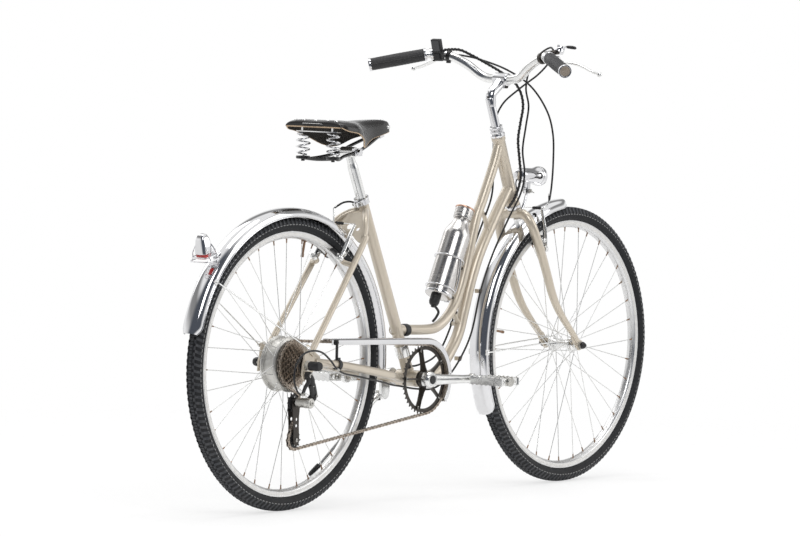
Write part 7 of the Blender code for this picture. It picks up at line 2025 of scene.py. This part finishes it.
GEAR_CABLE = mm([(857, -138, 1110), (864, -112, 1101), (878, -80, 1083), (892, -48, 1050), (898, -35, 1005),
    (915, -32, 960), (908, -30, 910), (898, -29, 850), (908, -29.5, 790), (893, -29, 740), (850, -23, 675),
    (795, -19, 590), (748, -19, 500), (715, -19, 400), (670, -19, 335), (615, -19, 288), (560, -19, 266),
    (490, -20, 268.7), (420, -25, 279), (365, -42, 286), (300, -56, 298), (200, -64, 316), (140, -72, 326),
    (100, -80, 340), (68, -85, 362), (30, -90, 382), (-10, -93, 388), (-45, -93, 381), (-70, -92, 356),
    (-74, -90, 322), (-60, -88, 296), (-44, -86, 285)])


def from_lever(side):
    """The first points of a brake cable, straight out of its lever's barrel."""
    start, end = LEVER_BARREL if side < 0 else flip(LEVER_BARREL)
    way = (end - start).normalized()
    return [end + way * 0.0008, end + way * 0.008, end + way * 0.017]


def over_arms(boss, up, side):
    """The last points of a brake cable, over the tops of both arms."""
    return [Vector((boss.x, side * share * 0.033, boss.z)) + up * 0.1032 for share in (1, 0, -1)]


def turning(name, bm, maker, nodes):
    """A cable piece set on no body, its place baked into its mesh."""
    thing = piece(name, bm, maker, None, nodes, bevel=0)
    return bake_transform(thing)


def ferrule(bm, path, index, ahead_by, radius=0.0034, long=0.011):
    """A metal end sleeve on a cable, at this point of its path."""
    at = path[index]
    way = (path[index + ahead_by] - at).normalized()
    turned(bm, [(0.0022, -long / 2), (radius, -long / 2), (radius, long / 2), (0.0022, long / 2)], at, way,
        18, ring=True)


def make_harness():
    """The bundle of wires from the control unit, wound in a spiral sleeve."""
    bm = bmesh.new()
    path = spline(HARNESS, 12)
    tube(bm, path, 0.0031, 14)
    frames = carried(path)
    wound = []
    gone = 0.0
    for i in range(len(path) - 1):
        for k in range(6):
            share = k / 6
            first, second = frames[i]
            a = 2 * math.pi * (gone + (path[i + 1] - path[i]).length * share) / 0.0105
            wound.append(path[i].lerp(path[i + 1], share) + first * (0.003 * math.cos(a)) + second
                * (0.003 * math.sin(a)))
        gone += (path[i + 1] - path[i]).length
    tube(bm, wound, 0.0012, 6)
    turning("wire_bundle", bm, cable_rubber, ["wire_harness"])


def cable_end(name, body, noodle, over, boot_share):
    """A brake cable's bent end, the bare wire over both arms and the rubber boot on it."""
    bm = bmesh.new()
    tube(bm, noodle + [over[0]], 0.0023, 14, smooth=8)
    tube(bm, [over[0], over[2]], 0.0011, 10)
    piece(name + "_noodle", bm, polished_alloy, body, bevel=0)
    bm = bmesh.new()
    turned(bm, mm([(1.2, -13), (3.6, -13), (4.2, -9), (3.4, -5), (4.2, -1), (3.4, 3), (4, 7), (2.6, 12),
        (1.2, 12)]), over[0].lerp(over[2], boot_share), over[2] - over[0], 20, ring=True)
    piece(name + "_noodle_boot", bm, cable_rubber, body, bevel=0)


def make_brake_cables():
    """The two brake cables with their sleeves, noodles and rubber boots."""
    bm = bmesh.new()
    tube(bm, from_lever(1) + FRONT_CABLE + [(0.993, -0.0455, 0.735)], 0.0024, 14, smooth=8)
    piece("front_brake_housing", bm, cable_rubber, "steering", ["front_brake_cable"], bevel=0)
    cable_end("front", "steering", [(0.9932, -0.0455, 0.74), (0.9938, -0.045, 0.724),
        (0.989, -0.0425, 0.7105), (0.9825, -0.037, 0.7036)], over_arms(FRONT_BOSS, FRONT_BRAKE_UP, -1),
        0.25)
    bm = bmesh.new()
    tube(bm, from_lever(-1) + REAR_CABLE, 0.0024, 14, smooth=8)
    turning("rear_brake_housing", bm, cable_rubber, ["rear_brake_cable"])
    over = over_arms(REAR_BOSS, REAR_STAY_WAY, 1)
    before, end = Vector(REAR_CABLE[-2]), Vector(REAR_CABLE[-1])
    cable_end("rear", "frame", [end.lerp(before, 0.35), end, end.lerp(over[0], 0.6) + UP * 0.004], over, 0.28)


def make_gear_cable():
    """The gear cable's housing to the chain stay, and its loop over the axle cap to the derailleur."""
    out = (SIDE - SHIFTER_AXIS * SIDE.dot(SHIFTER_AXIS)).normalized()
    exit_point = SHIFTER - SHIFTER_AXIS * 0.0056 + out * 0.0129
    path = spline([exit_point, exit_point + out * 0.006] + GEAR_CABLE, 8)
    split = next(i for i, point in enumerate(path) if point.x < 0.1)
    bm = bmesh.new()
    tube(bm, path[:split + 1], 0.0024, 14)
    turning("gear_housing", bm, cable_rubber, ["gear_cable"])
    bm = bmesh.new()
    tube(bm, path[split:], 0.0024, 14)
    loop = piece("gear_loop", bm, cable_rubber, None, bevel=0)
    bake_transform(loop)
    bm = bmesh.new()
    ferrule(bm, path, split - 2, 1)
    piece("gear_ferrules", bm, axle_steel, "frame", bevel=0)


# Stage, light and camera

CAMERA_AT = Vector((-9.36396674, -7.55838902, 1.24920401))
CAMERA_YAW = 0.6566759
CAMERA_PITCH = -0.0551159
CAMERA_ROLL = 0.0219545
CAMERA_FOCAL = 228.09
DARK_ROOM = (-0.78, -0.6, 0.16)
ROOM_COLOUR = (0.085, 0.095, 0.115)
GLOSS_BANDS = ((0.0, 0.8), (0.46, 0.9), (0.62, 1.0), (0.72, 0.3), (0.8, 0.26), (0.86, 1.0), (1.0, 0.9))
PAPER_GLOW = 0.62
PAPER_FADE = (0.9, 2.6)
LIT_BY = (("key", (-4.2, -4.6, 5.2), 3.4, 1.5), ("fill", (3.4, -5.4, 3.4), 4.0, 0.9),
    ("back", (1.0, 5.6, 4.6), 4.0, 0.8), ("top", (0.2, 0.0, 6.0), 3.0, 1.1))


def studio_world(strength):
    """A white backdrop for the eye, a plain pale light for the rest, and darker bands overhead in gloss."""
    world = bpy.data.worlds.new("studio")
    bpy.context.scene.world = world
    world.use_nodes = True
    tree = world.node_tree
    tree.nodes.clear()
    way = add_node(tree, "TexCoord").outputs["Generated"]
    height = ramp(tree, add_node(tree, "SeparateXYZ", {"Vector": way}).outputs["Z"], -1.0, 1.0)
    bands = add_node(tree, "ValToRGB", {"Fac": height})
    for k, (at, value) in enumerate(GLOSS_BANDS):
        stop = bands.color_ramp.elements[k] if k < 2 else bands.color_ramp.elements.new(at)
        stop.position = at
        stop.color = (value, value, value, 1)
    facing = add_node(tree, "VectorMath", {0: way, 1: DARK_ROOM}, operation="DOT_PRODUCT").outputs["Value"]
    room = add_node(tree, "MapRange", {"Value": facing, "From Min": 0.2, "From Max": 0.55},
        interpolation_type="SMOOTHSTEP").outputs["Result"]
    darker = add_node(tree, "Mix", {"Factor": room, "A": bands.outputs["Color"], "B": (*ROOM_COLOUR, 1)},
        data_type="RGBA").outputs["Result"]
    lit = add_node(tree, "Background", {"Color": (1, 1, 1, 1), "Strength": strength}).outputs[0]
    seen = add_node(tree, "Background", {"Color": (1, 1, 1, 1), "Strength": 1.0}).outputs[0]
    mirrored = add_node(tree, "Background", {"Color": darker}).outputs[0]
    ray = add_node(tree, "LightPath").outputs
    looking = add_node(tree, "Math", {0: ray["Is Camera Ray"], 1: ray["Is Transmission Ray"]},
        operation="MAXIMUM")
    gloss = add_node(tree, "MixShader", {0: ray["Is Glossy Ray"], 1: lit, 2: mirrored}).outputs[0]
    eye = add_node(tree, "MixShader", {0: looking.outputs[0], 1: gloss, 2: seen}).outputs[0]
    add_node(tree, "OutputWorld", {"Surface": eye})


def floor_paper():
    """White floor paper that takes the shadow and fades into the backdrop."""
    material = bpy.data.materials.new("floor paper")
    material.use_nodes = True
    tree = material.node_tree
    shader = tree.nodes["Principled BSDF"]
    for label, value in {"Base Color": (0.93, 0.93, 0.93, 1), "Roughness": 0.9,
            "Specular IOR Level": 0.1}.items():
        shader.inputs[label].default_value = value
    glow = add_node(tree, "Emission").outputs[0]
    share = product(tree, add_node(tree, "LightPath").outputs["Is Camera Ray"], PAPER_GLOW)
    paper = add_node(tree, "MixShader", {0: share, 1: shader.outputs[0], 2: glow}).outputs[0]
    away = add_node(tree, "VectorMath", {0: own_place(tree)}, operation="LENGTH").outputs["Value"]
    clear = add_node(tree, "BsdfTransparent").outputs[0]
    faded = add_node(tree, "MixShader", {0: ramp(tree, away, *PAPER_FADE), 1: paper, 2: clear}).outputs[0]
    tree.links.new(faded, tree.nodes["Material Output"].inputs["Surface"])
    return material


def make_stage():
    """The floor, the studio lamps, the world and the camera at the photograph's place."""
    sizes = bpy.context.scene.bicycle_sizes
    bm = bmesh.new()
    bmesh.ops.create_circle(bm, cap_ends=True, radius=3.0, segments=96)
    mesh = bpy.data.meshes.new("floor")
    bm.to_mesh(mesh)
    bm.free()
    floor = bpy.data.objects.new("floor", mesh)
    floor.location.z = -0.0004
    mesh.materials.append(floor_paper())
    bpy.context.scene.collection.objects.link(floor)
    for name, place, wide, strength in LIT_BY:
        lamp = bpy.data.lights.new(name, "AREA")
        lamp.size = wide
        lamp.energy = strength * 100 * sizes.lamp_strength
        holder = bpy.data.objects.new(name, lamp)
        holder.location = place
        holder.rotation_euler = (Vector((0, 0, 0.5)) - Vector(place)).to_track_quat("-Z", "Y").to_euler()
        bpy.context.scene.collection.objects.link(holder)
    studio_world(sizes.world_strength)
    forward = Vector((math.cos(CAMERA_YAW) * math.cos(CAMERA_PITCH), math.sin(CAMERA_YAW)
        * math.cos(CAMERA_PITCH), math.sin(CAMERA_PITCH)))
    right = Vector((math.sin(CAMERA_YAW), -math.cos(CAMERA_YAW), 0))
    above = right.cross(forward)
    rolled_right = right * math.cos(CAMERA_ROLL) + above * math.sin(CAMERA_ROLL)
    rolled_above = above * math.cos(CAMERA_ROLL) - right * math.sin(CAMERA_ROLL)
    data = bpy.data.cameras.new("camera")
    data.lens = CAMERA_FOCAL
    data.sensor_width = 36
    data.clip_end = 60
    camera = bpy.data.objects.new("camera", data)
    turn = Matrix((rolled_right, rolled_above, -forward)).transposed().to_4x4()
    camera.matrix_world = Matrix.Translation(CAMERA_AT + SHIFT) @ turn
    bpy.context.scene.collection.objects.link(camera)
    bpy.context.scene.camera = camera
    bpy.context.scene.view_settings.view_transform = "Standard"


# The add-on

class BicycleSizes(bpy.types.PropertyGroup):
    tread_blocks: bpy.props.IntProperty(name="Tread blocks",
        description="Shoulder blocks round each side of a tyre", default=144, min=24, max=240)
    tyre_dashes: bpy.props.IntProperty(name="Tyre dashes", description="Pale dashes round each tyre wall",
        default=180, min=12, max=400)
    spokes: bpy.props.IntProperty(name="Spokes", description="Spokes in each wheel", default=36, min=12,
        max=48)
    spoke_thickness: bpy.props.FloatProperty(name="Spoke thickness", description="Diameter of a spoke",
        default=0.002, min=0.001, max=0.004, precision=4, unit="LENGTH")
    lamp_strength: bpy.props.FloatProperty(name="Lamp strength",
        description="How strong the studio lamps are", default=1.0, min=0.0, max=10.0)
    world_strength: bpy.props.FloatProperty(name="Room light",
        description="How strong the room's plain light is", default=0.6, min=0.0, max=2.0)


def colour_property(name, description, default):
    return bpy.props.FloatVectorProperty(name=name, description=description, subtype="COLOR", size=3, min=0,
        max=1, default=default)


class BicycleColours(bpy.types.PropertyGroup):
    paint: colour_property("Frame paint", "Colour of the metallic frame and fork", (0.6, 0.53, 0.43))
    chrome: colour_property("Chrome", "Colour of the plated parts", (0.8, 0.8, 0.81))
    alloy: colour_property("Alloy", "Colour of the polished aluminium", (0.86, 0.86, 0.85))
    rubber: colour_property("Tyre rubber", "Colour of the tyres", (0.013, 0.014, 0.016))
    plastic: colour_property("Plastic", "Colour of the moulded parts", (0.018, 0.018, 0.019))
    leather: colour_property("Leather", "Colour of the saddle's leather", (0.014, 0.013, 0.013))


class BuildPiece:
    """What every operator of this add-on shares: it runs wherever there is a scene."""
    bl_options = {"REGISTER"}

    @classmethod
    def poll(cls, context):
        return context.scene is not None


class BICYCLE_OT_stage(BuildPiece, bpy.types.Operator):
    """Builds the floor, the studio light and the camera"""
    bl_idname = "bicycle.stage"
    bl_label = "Stage"

    def execute(self, context):
        make_stage()
        return {"FINISHED"}


class BICYCLE_OT_tyres(BuildPiece, bpy.types.Operator):
    """Builds both tyres with their tread and pale dashes"""
    bl_idname = "bicycle.tyres"
    bl_label = "Tyres"

    def execute(self, context):
        make_tyres()
        return {"FINISHED"}


class BICYCLE_OT_wheels(BuildPiece, bpy.types.Operator):
    """Builds both rims with their spokes, nipples, valves, hubs and axles"""
    bl_idname = "bicycle.wheels"
    bl_label = "Wheels"

    def execute(self, context):
        make_rims()
        make_spokes()
        make_hubs()
        return {"FINISHED"}


class BICYCLE_OT_frame(BuildPiece, bpy.types.Operator):
    """Builds the painted frame, its stays, its fittings and the seat clamp"""
    bl_idname = "bicycle.frame"
    bl_label = "Frame"

    def execute(self, context):
        make_main_tubes()
        make_stays()
        make_frame_fittings()
        make_seat_clamp()
        return {"FINISHED"}


class BICYCLE_OT_rear_fender(BuildPiece, bpy.types.Operator):
    """Builds the rear fender, its stays and the rear light"""
    bl_idname = "bicycle.rear_fender"
    bl_label = "Rear fender and light"

    def execute(self, context):
        make_rear_fender()
        make_rear_light()
        return {"FINISHED"}


class BICYCLE_OT_guard(BuildPiece, bpy.types.Operator):
    """Builds the chain guard and its post"""
    bl_idname = "bicycle.guard"
    bl_label = "Chain guard"

    def execute(self, context):
        make_chain_guard()
        return {"FINISHED"}


class BICYCLE_OT_fork(BuildPiece, bpy.types.Operator):
    """Builds the fork, the headset and the front fender"""
    bl_idname = "bicycle.fork"
    bl_label = "Fork and front fender"

    def execute(self, context):
        make_fork()
        make_headset()
        make_front_fender()
        return {"FINISHED"}


class BICYCLE_OT_headlamp(BuildPiece, bpy.types.Operator):
    """Builds the bullet lamp on its strip"""
    bl_idname = "bicycle.headlamp"
    bl_label = "Headlamp"

    def execute(self, context):
        make_headlamp()
        return {"FINISHED"}


class BICYCLE_OT_cockpit(BuildPiece, bpy.types.Operator):
    """Builds the stem, the bar, the shifter and the brake levers"""
    bl_idname = "bicycle.cockpit"
    bl_label = "Stem, bar and levers"

    def execute(self, context):
        make_stem()
        make_handlebar()
        make_shifter_lever()
        make_levers()
        return {"FINISHED"}


class BICYCLE_OT_grips(BuildPiece, bpy.types.Operator):
    """Builds the leather-wrapped grips"""
    bl_idname = "bicycle.grips"
    bl_label = "Grips"

    def execute(self, context):
        make_grips()
        return {"FINISHED"}


class BICYCLE_OT_display(BuildPiece, bpy.types.Operator):
    """Builds the control unit on the bar"""
    bl_idname = "bicycle.display"
    bl_label = "Control unit"

    def execute(self, context):
        make_display()
        return {"FINISHED"}


class BICYCLE_OT_brakes(BuildPiece, bpy.types.Operator):
    """Builds the arms and pads of both rim brakes"""
    bl_idname = "bicycle.brakes"
    bl_label = "Brakes"

    def execute(self, context):
        make_brakes()
        return {"FINISHED"}


class BICYCLE_OT_saddle(BuildPiece, bpy.types.Operator):
    """Builds the leather saddle, its springs, its rails and the seatpost"""
    bl_idname = "bicycle.saddle"
    bl_label = "Saddle and post"

    def execute(self, context):
        make_saddle_cover()
        make_saddle_springs()
        make_saddle_rails()
        make_seatpost()
        return {"FINISHED"}


class BICYCLE_OT_drive(BuildPiece, bpy.types.Operator):
    """Builds the chain, the chainring, the cranks, the pedals and the cogs"""
    bl_idname = "bicycle.drive"
    bl_label = "Chain and cranks"

    def execute(self, context):
        make_chain()
        make_chainring()
        make_cranks()
        make_pedals()
        make_cassette()
        return {"FINISHED"}


class BICYCLE_OT_derailleur(BuildPiece, bpy.types.Operator):
    """Builds the derailleur with its cage and pulleys"""
    bl_idname = "bicycle.derailleur"
    bl_label = "Derailleur"

    def execute(self, context):
        make_derailleur()
        return {"FINISHED"}


class BICYCLE_OT_stand(BuildPiece, bpy.types.Operator):
    """Builds the kickstand"""
    bl_idname = "bicycle.stand"
    bl_label = "Kickstand"

    def execute(self, context):
        make_stand()
        return {"FINISHED"}


class BICYCLE_OT_battery(BuildPiece, bpy.types.Operator):
    """Builds the bottle battery, its cage and its lead"""
    bl_idname = "bicycle.battery"
    bl_label = "Bottle battery"

    def execute(self, context):
        make_bottle()
        make_bottle_cage()
        make_bottle_lead()
        return {"FINISHED"}


class BICYCLE_OT_cables(BuildPiece, bpy.types.Operator):
    """Builds the wire bundle, the brake cables and the gear cable"""
    bl_idname = "bicycle.cables"
    bl_label = "Cables"

    def execute(self, context):
        make_harness()
        make_brake_cables()
        make_gear_cable()
        return {"FINISHED"}


OPERATORS = (BICYCLE_OT_stage, BICYCLE_OT_tyres, BICYCLE_OT_wheels, BICYCLE_OT_frame,
    BICYCLE_OT_rear_fender, BICYCLE_OT_guard, BICYCLE_OT_fork, BICYCLE_OT_headlamp, BICYCLE_OT_cockpit,
    BICYCLE_OT_grips, BICYCLE_OT_display, BICYCLE_OT_brakes, BICYCLE_OT_saddle, BICYCLE_OT_drive,
    BICYCLE_OT_derailleur, BICYCLE_OT_stand, BICYCLE_OT_battery, BICYCLE_OT_cables)


class BICYCLE_PT_pieces(bpy.types.Panel):
    """Lists the bicycle's sizes, its colours and the operators that build it"""
    bl_idname = "BICYCLE_PT_pieces"
    bl_label = "Electric bicycle"
    bl_space_type = "VIEW_3D"
    bl_region_type = "UI"
    bl_category = "Bicycle"

    def draw(self, context):
        for group in (context.scene.bicycle_sizes, context.scene.bicycle_colours):
            for name in group.__annotations__:
                self.layout.prop(group, name)
        for operator in OPERATORS:
            self.layout.operator(operator.bl_idname)


CLASSES = (BicycleSizes, BicycleColours) + OPERATORS + (BICYCLE_PT_pieces,)


def register():
    for kind in CLASSES:
        bpy.utils.register_class(kind)
    bpy.types.Scene.bicycle_sizes = bpy.props.PointerProperty(type=BicycleSizes)
    bpy.types.Scene.bicycle_colours = bpy.props.PointerProperty(type=BicycleColours)


def unregister():
    del bpy.types.Scene.bicycle_colours
    del bpy.types.Scene.bicycle_sizes
    for kind in reversed(CLASSES):
        bpy.utils.unregister_class(kind)


def main():
    """Builds the whole bicycle."""
    register()
    for operator in OPERATORS:
        family, name = operator.bl_idname.split(".")
        getattr(getattr(bpy.ops, family), name)()


if __name__ == "__main__":
    main()
